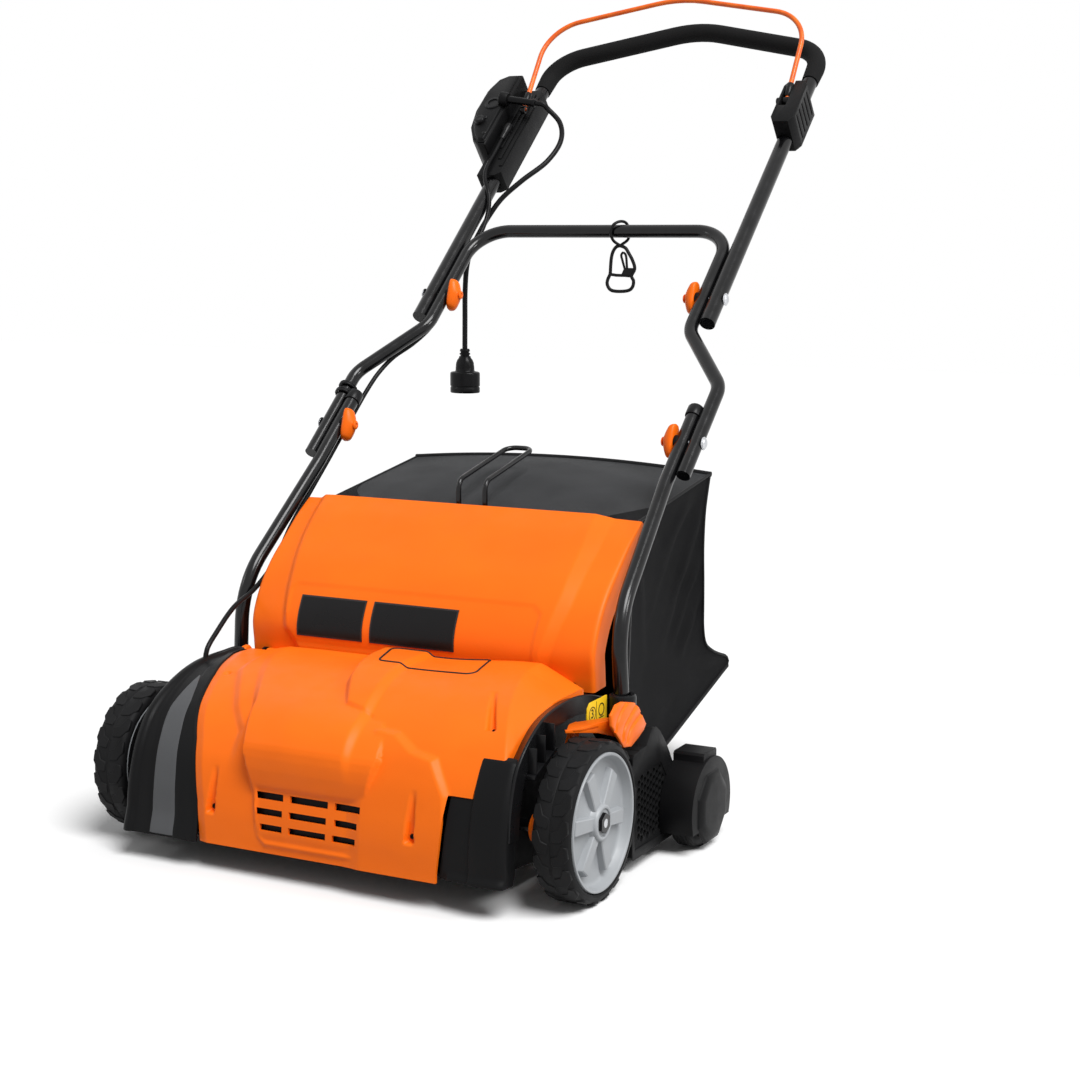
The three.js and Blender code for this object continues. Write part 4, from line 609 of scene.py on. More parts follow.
def circle(middle: Vector, side: Vector, rise: Vector, radius: float, sides: int) -> list[Vector]:
    """The points of a round section about its middle, in the plane of side and rise."""
    turns = (FULL_TURN * k / sides for k in range(sides))
    return [middle + side * (radius * math.cos(t)) + rise * (radius * math.sin(t)) for t in turns]


class Draft:
    """A mesh that is being drawn, in millimetres in the maker's frame."""

    def __init__(self, name: str) -> None:
        """Starts an empty draft.

        Args:
            name: the name of the piece that it will become.
        """
        self.name = name
        self.points: list[Point] = []
        self.faces: list[tuple[int, ...]] = []

    def add(self, points: Iterable[Point], faces: Iterable[Sequence[int]]) -> Draft:
        """Adds points and the faces that join them.

        Args:
            points: the points.
            faces: for each face, the places of its corners among these points.

        Returns:
            The draft itself.
        """
        start = len(self.points)
        self.points.extend(tuple(float(c) for c in p) for p in points)
        self.faces.extend(tuple(start + i for i in f) for f in faces)
        return self

    def rings(self, rings: Sequence[Sequence[Point]], closed: bool = False) -> Draft:
        """Joins rings of equal count into a skin.

        Args:
            rings: the rings, each a list of points.
            closed: whether the last joins the first; if not, both ends get a face.

        Returns:
            The draft itself.
        """
        count = len(rings[0])
        points = [p for ring in rings for p in ring]
        faces = []
        for a in range(len(rings) if closed else len(rings) - 1):
            b = (a + 1) % len(rings)
            for i in range(count):
                j = (i + 1) % count
                faces.append((a * count + i, a * count + j, b * count + j, b * count + i))
        if not closed:
            faces.append(tuple(range(count))[::-1])
            faces.append(tuple((len(rings) - 1) * count + i for i in range(count)))
        return self.add(points, faces)

    def tube(
        self, route: Sequence[Point], radius: float | Callable[[float], float], sides: int = 24, loop: bool = False
    ) -> Draft:
        """Sweeps a round section along a route.

        Args:
            route: the points that the middle follows.
            radius: the section's radius, or a function of the share of the length.
            sides: how many faces go round the section.
            loop: whether the route joins up with its start.

        Returns:
            The draft itself.
        """
        line = [Vector(p) for p in route]
        total = len(line)
        steps = [(line[i + 1] - line[i]).length for i in range(total - 1)]
        length = sum(steps) or 1.0
        travelled = 0.0
        side = None
        rings = []
        for index, point in enumerate(line):
            before = line[index - 1] if index or loop else point
            after = line[(index + 1) % total] if index < total - 1 or loop else point
            heading = (after - before).normalized()
            if side is None:
                guide = Vector((0, 0, 1)) if abs(heading.z) < 0.9 else Vector((1, 0, 0))
                side = heading.cross(guide).normalized()
            side = (side - heading * side.dot(heading)).normalized()
            size = radius(travelled / length) if callable(radius) else radius
            rings.append(circle(point, side, heading.cross(side), size, sides))
            if index < total - 1:
                travelled += steps[index]
        return self.rings(rings, loop)

    def lathe(
        self, profile: Sequence[Point], centre: Point, axis: Point, sides: int = 48, bored: bool = False
    ) -> Draft:
        """Turns a profile of (distance along the axis, radius) pairs round an axis.

        Args:
            profile: the pairs, from one end to the other.
            centre: where the distances start from.
            axis: the way that they run.
            sides: faces round the axis.
            bored: whether the profile joins up with its start, round a bore.

        Returns:
            The draft itself.
        """
        heading = Vector(axis).normalized()
        guide = Vector((0, 0, 1)) if abs(heading.z) < 0.9 else Vector((0, 1, 0))
        side = heading.cross(guide).normalized()
        rise = heading.cross(side)
        middle = Vector(centre)
        return self.rings([circle(middle + heading * a, side, rise, max(r, 0.001), sides) for a, r in profile], bored)

    def prism(self, outline: Sequence[Point], place: Place, low: float, high: float) -> Draft:
        """Raises a flat outline from low to high, through place(u, v, depth)."""
        return self.rings([[place(u, v, depth) for u, v in outline] for depth in (low, high)])

    def sheet(self, grid: np.ndarray, keep: np.ndarray | None = None) -> Draft:
        """Adds a grid of points as a skin.

        Args:
            grid: the points, as rows by columns by three.
            keep: which of the cells between them get a face, all if not given.

        Returns:
            The draft itself.
        """
        rows, columns = grid.shape[:2]
        faces = []
        for r in range(rows - 1):
            for c in range(columns - 1):
                if keep is None or keep[r, c]:
                    i = r * columns + c
                    faces.append((i, i + 1, i + columns + 1, i + columns))
        return self.add(grid.reshape(-1, 3), faces)

    def draw(self, recalculate: bool = True) -> bpy.types.Object:
        """Makes the object, with its doubles merged.

        Args:
            recalculate: whether its faces are turned outwards.

        Returns:
            The object, in the scene.
        """
        mesh = bpy.data.meshes.new(self.name)
        mesh.from_pydata([row_point(p) for p in self.points], [], self.faces)
        work = bmesh.new()
        work.from_mesh(mesh)
        bmesh.ops.remove_doubles(work, verts=work.verts, dist=2e-6)
        loose = [v for v in work.verts if not v.link_faces]
        bmesh.ops.delete(work, geom=loose, context="VERTS")
        if recalculate:
            bmesh.ops.recalc_face_normals(work, faces=work.faces)
        work.to_mesh(mesh)
        work.free()
        return linked(self.name, mesh)


class Arch:
    """A line in the (y, z) plane that runs across the machine as a surface.

    A place on the surface is x and t, the length along the line.
    """

    def __init__(self, knots: Sequence[Point], reach: float) -> None:
        """Lays out the line and its length.

        Args:
            knots: the points of the line in (y, z).
            reach: how far to each side the surface's direction is read.
        """
        line = np.array(smooth_route([(0.0, y, z) for y, z in knots], 2.0))
        self.lines = line[:, 1], line[:, 2]
        self.marks = np.concatenate([[0], np.cumsum(np.hypot(*(np.diff(part) for part in self.lines)))])
        self.top = float(self.marks[-1])
        self.reach = reach

    def at(self, x: Numbers, t: np.ndarray, proud: Numbers) -> np.ndarray:
        """Points of the surface, moved outwards.

        Args:
            x: how far they lie to the right.
            t: how far they lie along the line; past its ends it runs on straight.
            proud: how far they stand out.

        Returns:
            The points, with their three coordinates last.
        """
        inner = np.clip(t, 0, self.top)
        after, before = (np.clip(inner + reach, 0, self.top) for reach in (self.reach, -self.reach))
        y, z = (np.interp(inner, self.marks, line) for line in self.lines)
        run_y, run_z = (np.interp(after, self.marks, a) - np.interp(before, self.marks, a) for a in self.lines)
        size = np.hypot(run_y, run_z)
        y, z = y + (t - inner) * run_y / size, z + (t - inner) * run_z / size
        return np.stack([x + 0 * t, y - proud * run_z / size, z + proud * run_y / size], axis=-1)


def face_out(obj: bpy.types.Object, centre: Point) -> None:
    """Turns an open skin's faces away from a point inside it.

    Args:
        obj: the skin.
        centre: the point, in the maker's frame.
    """
    middle = row_point(centre)
    if sum((Vector(p.center) - middle).dot(p.normal) * p.area for p in obj.data.polygons) < 0:
        obj.data.flip_normals()


def cut(obj: bpy.types.Object, cutters: Sequence[bpy.types.Object], kind: str = "DIFFERENCE") -> None:
    """Cuts an object with others, which are then removed.

    Args:
        obj: the object.
        cutters: the others.
        kind: how they act on it.
    """
    for cutter in cutters:
        modified(obj, "BOOLEAN", operation=kind, object=cutter, solver="EXACT", use_self=False)
        baked(obj)
        bpy.data.objects.remove(cutter)


def dress(
    obj: bpy.types.Object,
    body: str,
    finish: Finish,
    replaces: Sequence[str] = (),
    bevel: float = 0.0,
    segments: int = 2,
    smooth: float = 38.0,
    thick: float = 0.0,
    subdivide: int = 0,
) -> bpy.types.Object:
    """Finishes a piece: its wall, rounded edges, shading, finish and body.

    Args:
        obj: the piece, whose mesh lies in the row frame.
        body: the CAD body that it rides on.
        finish: the surface finish.
        replaces: the CAD nodes that it stands for.
        bevel: how far its sharp edges are rounded, in millimetres.
        segments: faces across a rounded edge.
        smooth: the angle in degrees up to which shading runs on.
        thick: wall to give to an open skin, in millimetres, inwards.
        subdivide: levels of subdivision surface.

    Returns:
        The finished piece.
    """
    if thick:
        modified(obj, "SOLIDIFY", thickness=thick * MM, offset=-1.0, use_even_offset=True)
    if subdivide:
        modified(obj, "SUBSURF", levels=subdivide, render_levels=subdivide)
    if bevel:
        modified(
            obj, "BEVEL", width=bevel * MM, segments=segments, limit_method="ANGLE",
            angle_limit=math.radians(32), use_clamp_overlap=True, miter_outer="MITER_ARC",
        )
    if thick or subdivide or bevel:
        baked(obj)
    mesh = obj.data
    mesh.shade_smooth()
    mesh.set_sharp_from_angle(angle=math.radians(smooth))
    mesh.materials.clear()
    mesh.materials.append(finish.build())
    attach(obj, body)
    if replaces:
        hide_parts(*replaces)
    LOG.info("%s on %s: %d faces", obj.name, body, len(mesh.polygons))
    return obj


def dress_node(name: str, finish: Finish) -> None:
    """Gives a carried-over CAD node its finish.

    Args:
        name: the node's name.
        finish: its finish.
    """
    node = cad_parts[name]
    if not node.material_slots:
        node.data.materials.append(None)
    for slot in node.material_slots:
        slot.material = finish.build()
    LOG.info("%s keeps its solid", name)


# ---------------------------------------------------------------- repeats by Geometry Nodes


def geometry_wiring(name: str, sockets: dict[str, str]) -> Wiring:
    """Starts a Geometry Nodes tree with named inputs and one geometry output.

    Args:
        name: the tree's name.
        sockets: for each input, its kind.

    Returns:
        The wiring of the tree.
    """
    wiring = Wiring(bpy.data.node_groups.new(name, "GeometryNodeTree"))
    for label, kind in {**sockets, "Finish": "Material"}.items():
        wiring.tree.interface.new_socket(label, in_out="INPUT", socket_type=f"NodeSocket{kind}")
    wiring.tree.interface.new_socket("Geometry", in_out="OUTPUT", socket_type="NodeSocketGeometry")
    return wiring


def lay_out(wiring: Wiring, start: bpy.types.NodeOutputs, **inputs: Socket) -> bpy.types.NodeTree:
    """Ends a tree: lays instances on points, makes them real and gives them the finish.

    Args:
        wiring: the wiring of the tree.
        start: the outputs of its input node.
        **inputs: the points, the instance and its rotation.

    Returns:
        The tree.
    """
    laid = wiring.node("GeometryNodeInstanceOnPoints", inputs)[0]
    solid = wiring.node("GeometryNodeRealizeInstances", {0: laid})[0]
    done = wiring.node("GeometryNodeSetMaterial", {"Geometry": solid, "Material": start["Finish"]})[0]
    wiring.node("NodeGroupOutput", {0: done})
    return wiring.tree


def repeat_tree() -> bpy.types.NodeTree:
    """The tree that places a seed mesh many times, made once.

    Returns:
        The tree.
    """
    ready = bpy.data.node_groups.get("repeat_seed")
    if ready:
        return ready
    kinds = {"Seed": "Geometry", "Count": "Int", "Turn": "Vector", "Centre": "Vector"}
    wiring = geometry_wiring("repeat_seed", kinds)
    start = wiring.node("NodeGroupInput", {})
    away = wiring.node("ShaderNodeVectorMath", {0: start["Centre"], "Scale": -1.0}, operation="SCALE")[0]
    seed = wiring.node("GeometryNodeTransform", {"Geometry": start["Seed"], "Translation": away})[0]
    spots = {"Count": start["Count"], "Start Location": start["Centre"], "Offset": (0.0, 0.0, 0.0)}
    line = wiring.node("GeometryNodeMeshLine", spots)[0]
    number = wiring.node("GeometryNodeInputIndex", {})[0]
    turned = wiring.node("ShaderNodeVectorMath", {0: start["Turn"], "Scale": number}, operation="SCALE")[0]
    return lay_out(wiring, start, Points=line, Instance=seed, Rotation=turned)


def stud_tree() -> bpy.types.NodeTree:
    """The tree that sets a small turned stud on every point of a mesh, made once.

    Returns:
        The tree.
    """
    ready = bpy.data.node_groups.get("studs_on_points")
    if ready:
        return ready
    kinds = {"Points": "Geometry", "Radius": "Float", "Depth": "Float", "Sides": "Int", "Heading": "Vector"}
    wiring = geometry_wiring("studs_on_points", kinds)
    start = wiring.node("NodeGroupInput", {})
    sizes = {"Vertices": start["Sides"], "Radius": start["Radius"], "Depth": start["Depth"]}
    stud = wiring.node("GeometryNodeMeshCylinder", sizes)["Mesh"]
    return lay_out(wiring, start, Points=start["Points"], Instance=stud, Rotation=start["Heading"])


def run_tree(obj: bpy.types.Object, tree: bpy.types.NodeTree, finish: Finish, **values: object) -> None:
    """Runs a Geometry Nodes tree on an object and leaves a plain mesh.

    Args:
        obj: the object.
        tree: the tree.
        finish: the finish that the result gets.
        **values: the tree's other inputs, by name.
    """
    modifier = modified(obj, "NODES", node_group=tree)
    sockets = {i.name: i.identifier for i in tree.interface.items_tree if i.in_out == "INPUT"}
    for name, value in {**values, "Finish": finish.build()}.items():
        modifier[sockets[name]] = value
    baked(obj)


@dataclass(frozen=True)
class Repeat:
    """Repeats a piece's own mesh, each copy turned further about an X axis."""

    count: int
    turn: float
    centre: Point

    def apply(self, obj: bpy.types.Object, finish: Finish) -> None:
        """Repeats the piece's mesh and leaves the result as its plain mesh."""
        turn, centre = [math.radians(self.turn), 0.0, 0.0], list(row_point(self.centre))
        run_tree(obj, repeat_tree(), finish, Count=self.count, Turn=turn, Centre=centre)


@dataclass(frozen=True)
class Stud:
    """A small many-sided stud that is set at many points.

    Its radius and depth are in millimetres, and its heading says how it is turned from
    upright, in degrees.
    """

    radius: float
    depth: float
    sides: int
    heading: Point

    def lay(self, name: str, points: Sequence[Point], finish: Finish) -> bpy.types.Object:
        """Sets the studs.

        Args:
            name: the piece's name.
            points: where they stand, in millimetres.
            finish: their finish.

        Returns:
            The piece, as a plain mesh.
        """
        mesh = bpy.data.meshes.new(name)
        mesh.from_pydata([row_point(p) for p in points], [], [])
        obj = linked(name, mesh)
        heading = [math.radians(h) for h in self.heading]
        sizes = {"Radius": self.radius * MM, "Depth": self.depth * MM, "Sides": self.sides}
        run_tree(obj, stud_tree(), finish, Heading=heading, **sizes)
        return obj


# ---------------------------------------------------------------- camera and studio


@dataclass
class Studio:
    """The plain white floor, the soft lamps and the camera."""

    camera_place: Point = (1306.0, -2021.0, 798.7)
    lens: float = 64.377
    sensor: float = 36.0
    azimuth: float = 27.285
    dip: float = 9.03
    floor_half: float = 9000.0
    floor_drop: float = -0.4
    aim: Point = (0.0, 200.0, 500.0)

    def make_camera(self) -> None:
        """Sets the camera where the photograph was taken from."""
        data = bpy.data.cameras.new("portrait_camera")
        data.lens = self.lens
        data.sensor_width = self.sensor
        data.sensor_fit = "HORIZONTAL"
        data.clip_end = 100.0
        camera = linked("portrait_camera", data)
        camera.location = row_point(self.camera_place)
        camera.rotation_euler = (math.radians(90.0 - self.dip), 0.0, math.radians(self.azimuth))
        bpy.context.scene.camera = camera

    def make_floor(self) -> None:
        """Lays the floor, white to the camera and plain pale to the lamps."""
        half = self.floor_half
        corners = [(x, y, self.floor_drop) for x, y in ((-half, -half), (half, -half), (half, half), (-half, half))]
        floor = Draft("studio_floor").add(corners, [(0, 1, 2, 3)]).draw(recalculate=False)
        board = Board("studio_floor_finish")
        path = board.node("ShaderNodeLightPath", {})
        seen = board.math("MAXIMUM", path["Is Camera Ray"], path["Is Glossy Ray"])
        board.coat(board.mix(seen, (0.42, 0.42, 0.42, 1), (0.95, 0.95, 0.95, 1)))
        board.set(Roughness=0.9, Specular_IOR_Level=0.0)
        floor.data.materials.append(board.material)

    def lamp(self, name: str, place: Point, size: float, power: float) -> None:
        """Hangs one soft lamp and points it at the machine.

        Args:
            name: the lamp's name.
            place: where it hangs.
            size: how wide it is.
            power: its power in watts.
        """
        data = bpy.data.lights.new(name, "AREA")
        data.shape = "DISK"
        data.size = size * MM
        data.energy = power
        lamp = linked(name, data)
        lamp.location = row_point(place)
        heading = row_point(self.aim) - lamp.location
        lamp.rotation_euler = heading.to_track_quat("-Z", "Y").to_euler()

    def sun(self, name: str, heading: Point, spread: float, power: float) -> None:
        """Adds an even soft light from far away, so that the floor stays one white.

        Args:
            name: the light's name.
            heading: the way that it shines.
            spread: its angle in degrees.
            power: its strength.
        """
        data = bpy.data.lights.new(name, "SUN")
        data.angle = math.radians(spread)
        data.energy = power
        linked(name, data).rotation_euler = Vector(heading).to_track_quat("-Z", "Y").to_euler()

    def make_light(self) -> None:
        """A white surround, one even light and two soft lamps."""
        world = bpy.data.worlds.new("studio_world")
        bpy.context.scene.world = world
        world.use_nodes = True
        wiring = Wiring(world.node_tree)
        path = wiring.node("ShaderNodeLightPath", {})
        seen = wiring.math("MAXIMUM", path["Is Camera Ray"], path["Is Transmission Ray"])
        both = wiring.math("MAXIMUM", seen, path["Is Glossy Ray"])
        strength = wiring.node("ShaderNodeMapRange", {"Value": both, "To Min": 0.3, "To Max": 1.0})["Result"]
        ground = {"Color": (1.0, 1.0, 1.0, 1.0), "Strength": strength}
        wiring.node("ShaderNodeOutputWorld", {0: wiring.node("ShaderNodeBackground", ground)[0]})
        self.sun("key_sun", (-0.6, 0.35, -1.0), 30.0, 3.05)
        self.lamp("side_lamp", (2300, 300, 1500), 500, 12)
        self.lamp("left_lamp", (-2300, -900, 1500), 420, 3)
        bpy.context.scene.view_settings.view_transform = "Standard"

    def build(self) -> None:
        """Makes the whole studio."""
        self.make_camera()
        self.make_floor()
        self.make_light()


# ---------------------------------------------------------------- power cord


@dataclass
class PowerLead:
    """The short mains pigtail of the switch box, with its strain relief and plug."""

    radius: float = 4.25
    start: Point = (-264.0, 705.0, 50.0)
    relief_end: Point = (-206.0, 701.0, 42.0)
    route: Route = field(
        default_factory=lambda: [
            (-186, 699, 31), (-164, 684, 15), (-149, 645, 8), (-157, 598, 4), (-186, 550, 3),
            (-211, 512, -3), (-228, 480, -16), (-238, 456, -27), (-247, 430, -40), (-251, 408, -55),
            (-253, 380.7, -82), (-253.5, 350, -116.5), (-254, 317.8, -153),
        ]
    )
    plug_length: float = 72.0
    plug_flat: float = 0.86

    def points(self) -> Route:
        """The corners of the cord's middle, from the end of the strain relief to the plug.

        Returns:
            The points, in the maker's frame.
        """
        heading = Vector(self.relief_end) - Vector(self.start)
        heading.normalize()
        first = [tuple(Vector(self.relief_end) + heading * away) for away in (0.3, 14.0)]
        return handle_route(first + list(self.route))

    def make_plug(self) -> bpy.types.Object:
        """The moulded plug: ribbed neck, tapering grip and oval collar.

        Returns:
            The plug.
        """
        top, low = Vector(self.points()[-1]), -self.plug_length
        turns = [FULL_TURN * k / 40 for k in range(40)]
        rings = []
        for along, radius, wide in [
            (0.2, 6.0, 1.0), (-0.4, 7.6, 1.0), (-3.0, 8.6, 1.0), (-4.2, 8.6, 1.0), (-4.8, 7.2, 1.0),
            (-6.4, 7.2, 1.0), (-7.0, 9.0, 1.0), (-9.4, 9.0, 1.0), (-10.0, 7.6, 1.0), (-11.6, 7.6, 1.0),
            (-12.2, 9.6, 1.0), (-15.0, 10.4, 1.0), (-18.0, 13.0, 1.0), (-23.0, 15.0, 1.0), (-30.0, 15.8, 1.0),
            (-35.4, 16.0, 1.0), (-36.6, 17.0, 1.0), (-37.6, 22.6, 1.02), (-39.0, 24.2, 1.03), (-41.0, 24.6, 1.03),
            (low + 12, 24.6, 1.03), (low + 11, 23.6, 1.03), (low + 9.6, 23.6, 1.03), (low + 8.6, 24.4, 1.03),
            (low + 1.6, 24.4, 1.03), (low + 0.4, 23.4, 1.03), (low + 0.1, 21.0, 1.02), (low + 0.1, 18.0, 1.0),
            (low + 3.0, 17.4, 1.0), (low + 3.2, 6.0, 1.0),
        ]:
            side, rise = radius * wide, radius * self.plug_flat
            rings.append([(top.x + side * math.cos(t), top.y + rise * math.sin(t), top.z + along) for t in turns])
        obj = Draft("mains_plug").rings(rings).draw()
        return dress(obj, "upper_handle", CABLE, ["plug"], smooth=40, bevel=0)

    def make_relief(self) -> None:
        """The smooth tapered strain relief with its end collar."""
        start, end = (Vector(handle_point(*p)) for p in (self.start, self.relief_end))
        length = (end - start).length
        profile = [
            (0, 8.4), (4, 8.4), (5.5, 6.6), (length * 0.5, 6.2), (length - 6, 5.4), (length - 5, 6.9),
            (length - 0.9, 6.9), (length, 6.1)
        ]
        obj = Draft("mains_relief").lathe(profile, start, end - start, 28).draw()
        dress(obj, "upper_handle", CABLE, ["strain_relief"], smooth=40)

    def build(self) -> None:
        line = smooth_route(self.points(), 5.0)
        cord = Draft("mains_cord").tube(line, self.radius, 20).draw()
        dress(cord, "upper_handle", CABLE, ["power_cord"], smooth=50)
        plug = self.make_plug()
        self.make_relief()


# ---------------------------------------------------------------- tubes of the handle


@dataclass
class Handle:
    """The three pairs of black tubes, their bolts, wing knobs, grip and small fittings."""

    lower_radius: float = 10.0
    upper_radius: float = 12.0
    grip_radius: float = 15.0
    grip_start: float = 786.0
    cap_length: float = 16.0
    wing: tuple[float, float, float] = (47.0, 28.0, 19.0)
    wing_turn: float = 20.0
    upper_fold: float = 282.5
    lower_seats: tuple[float, float] = (308.6, 267.3)
    upper_seats: tuple[float, float] = (252.3, 207.0)
    lower_corners: Route = field(
        default_factory=lambda: [
            (296, 163, 174.3), (296, 163, 223), (290.8, 163, 311.9), (277.8, 339.7, 467.4), (277.8, 443.3, 558.6)
        ]
    )
    lower_bends: tuple[float, ...] = (100.0, 120.0, 150.0)
    middle_corners: Route = field(
        default_factory=lambda: [(298.2, -60, 0), (298.2, 108, 0), (217.5, 216, 0), (217.5, 430.5, 0)]
    )
    middle_bends: tuple[float, ...] = (45.0, 45.0, 58.0)
    upper_corners: Route = field(default_factory=lambda: [(239.9, 231.5, 0), (239.9, 864.6, 0), (0, 940, 0)])
    upper_bends: tuple[float, ...] = (65.0, 140.0)

    def both_ways(self, corners: Route, bends: Sequence[float], meets: bool) -> Route:
        """A route on the right that is carried over to the left, with its corners rounded.

        Args:
            corners: the corners on the right, in the handle's own lengths.
            bends: the bend radius at each.
            meets: whether the last corner lies in the middle and is shared.

        Returns:
            The points of the route.
        """
        left = [(-x, *rest) for x, *rest in corners][::-1]
        if meets:
            return rounded(handle_route(corners + left[1:]), tuple(bends) + tuple(bends[:-1])[::-1])
        return rounded(handle_route(corners + left), tuple(bends) + tuple(bends)[::-1])

    def painted_tube(self, name: str, route: Route, radius: float, body: str, replaces: str) -> None:
        """One painted tube along a route."""
        dress(Draft(name).tube(route, radius, 32).draw(), body, PAINT, [replaces], smooth=50)

    def end_cap(self, name: str, end: Point, inner: Point) -> None:
        """A plastic sleeve cap over a lower tube's end.

        Args:
            name: the piece's name.
            end: the end of the tube's middle.
            inner: a point of it further in.
        """
        tip, radius, long = Vector(end), self.lower_radius, self.cap_length
        heading = (tip - Vector(inner)).normalized()
        profile = [
            (0, radius + 0.1), (0.1, radius + 1.6), (1.2, radius + 2.0), (long - 1, radius + 2.0),
            (long + 1.2, radius + 1.0), (long + 2.6, radius - 2.0), (long + 3.0, radius * 0.5), (long + 3.1, 0),
        ]
        obj = Draft(name).lathe(profile, tip - heading * long, heading, 32).draw()
        dress(obj, "chassis", BLACK_SATIN, smooth=50)

    def bolt(self, name: str, place: Point, outward: float, body: str) -> None:
        """A bright domed bolt head on the outside of a joint; the shank stays a CAD rod.

        Args:
            name: the piece's name.
            place: the middle of its seat.
            outward: the way that it points along X.
            body: the body that it rides on.
        """
        profile = [
            (0, 9.2), (0.9, 9.2), (1.2, 8.2), (1.4, 7.6), (2.4, 7.2), (3.4, 6.0), (4.1, 4.0), (4.4, 2.0), (4.45, 0)
        ]
        obj = Draft(name).lathe(profile, place, (outward, 0, 0), 32).draw()
        dress(obj, body, STEEL, smooth=50)

    def wing_knob(self, name: str, centre: Point, body: str) -> None:
        """A leaf-shaped wing knob with a ridge over each wing and a round boss.

        Args:
            name: the piece's name.
            centre: the middle of its seat on the tube.
            body: the body that it rides on, and the node that it stands for.
        """
        turn = math.radians(self.wing_turn)
        along = handle_way(0, math.cos(turn), math.sin(turn))
        above = handle_way(0, -math.sin(turn), math.cos(turn))
        inward = Vector((-1.0 if centre[0] > 0 else 1.0, 0, 0))
        length, width, thickness = self.wing
        rings = []
        stations = [-1.0, -0.97, -0.9, -0.75, -0.55, -0.35, -0.15, 0.0, 0.15, 0.35, 0.55, 0.75, 0.9, 0.97, 1.0]
        for share in stations:
            reach = share * length / 2
            taper = (1 - abs(share) ** 2.6) ** 0.5 if abs(share) < 1 else 0.0
            half = max(0.6, width / 2 * (0.42 + 0.58 * taper) * (1.0 if abs(share) < 0.97 else 0.7))
            tall = thickness * (0.45 + 0.55 * (1 - abs(share)) ** 0.6) * (1.0 if abs(share) < 0.97 else 0.75)
            ring = []
            for u, v in [
                (-1.0, 0.12), (-0.98, 0.45), (-0.72, 0.78), (-0.3, 0.95), (0.0, 1.0), (0.3, 0.95), (0.72, 0.78),
                (0.98, 0.45), (1.0, 0.12), (0.8, 0.0), (0.0, 0.0), (-0.8, 0.0),
            ]:
                skew = 0.16 * width * share
                ring.append(Vector(centre) + along * reach + above * (u * half + skew) + inward * (v * tall))
            rings.append(ring)
        obj = Draft(name).rings(rings).draw()
        dress(obj, body, ORANGE_KNOB, [body], subdivide=1, smooth=60)
        boss = [(-6, 9.2), (-5.2, 10), (-0.6, 10), (0.4, 9.4), (0.5, 4)]
        collar = Draft(name + "_boss").lathe(boss, centre, inward, 32).draw()
        dress(collar, body, BLACK, smooth=40)
        eye = [(0, 6.4), (0.9, 6.4), (1.6, 5.6), (1.8, 3.0), (0.9, 2.4), (0.9, 0)]
        cap = Draft(name + "_nut").lathe(eye, Vector(centre) + inward * (thickness - 1.0), inward, 28).draw()
        dress(cap, body, ORANGE_KNOB, smooth=40)

    def grip(self) -> None:
        """The foam sleeve over the top bow of the upper tube."""
        corners = [(239.9, self.grip_start, 0), (239.9, 864.6, 0), (0, 940, 0)]
        route = self.both_ways(corners, self.upper_bends, True)
        radius = self.grip_radius

        def size(share: float) -> float:
            """The sleeve's radius, a little less at its two ends."""
            close = min(share, 1 - share) * 900.0
            return radius * (0.9 + 0.1 * float(ramp(close, 0.0, 2.5)))

        obj = Draft("grip_foam").tube(route, size, 32).draw()
        dress(obj, "upper_handle", FOAM, ["foam_grip"], smooth=60)

    def build(self) -> None:
        """Makes every tube and the fittings on them."""
        for side in (Side.RIGHT, Side.LEFT):
            sign, name = side.sign, side.value
            route = rounded([(sign * x, y, z) for x, y, z in self.lower_corners], self.lower_bends)
            self.painted_tube(f"stay_tube_{name}", route, self.lower_radius, "chassis", f"lower_tube_{name}")
            self.end_cap(f"stay_cap_{name}", route[-1], route[-2])
            folds = (("lower", 0.0, self.lower_seats), ("upper", self.upper_fold, self.upper_seats))
            for (fold, along, (head_x, _)), body in zip(folds, ("middle_handle", "upper_handle")):
                self.bolt(f"{fold}_bolt_head_{name}", handle_point(sign * head_x, along, 0), sign, body)
            for fold, along, (_, knob_x) in folds:
                place = handle_point(sign * knob_x, along, 0)
                self.wing_knob(f"{fold}_wing_{name}", place, f"{fold}_knob_{name}")
        middle = self.both_ways(self.middle_corners, self.middle_bends, False)
        self.painted_tube("bridge_tube", middle, self.lower_radius, "middle_handle", "middle_tube")
        upper = self.both_ways(self.upper_corners, self.upper_bends, True)
        self.painted_tube("bow_tube", upper, self.upper_radius, "upper_handle", "upper_tube")
        self.grip()


# ---------------------------------------------------------------- covers


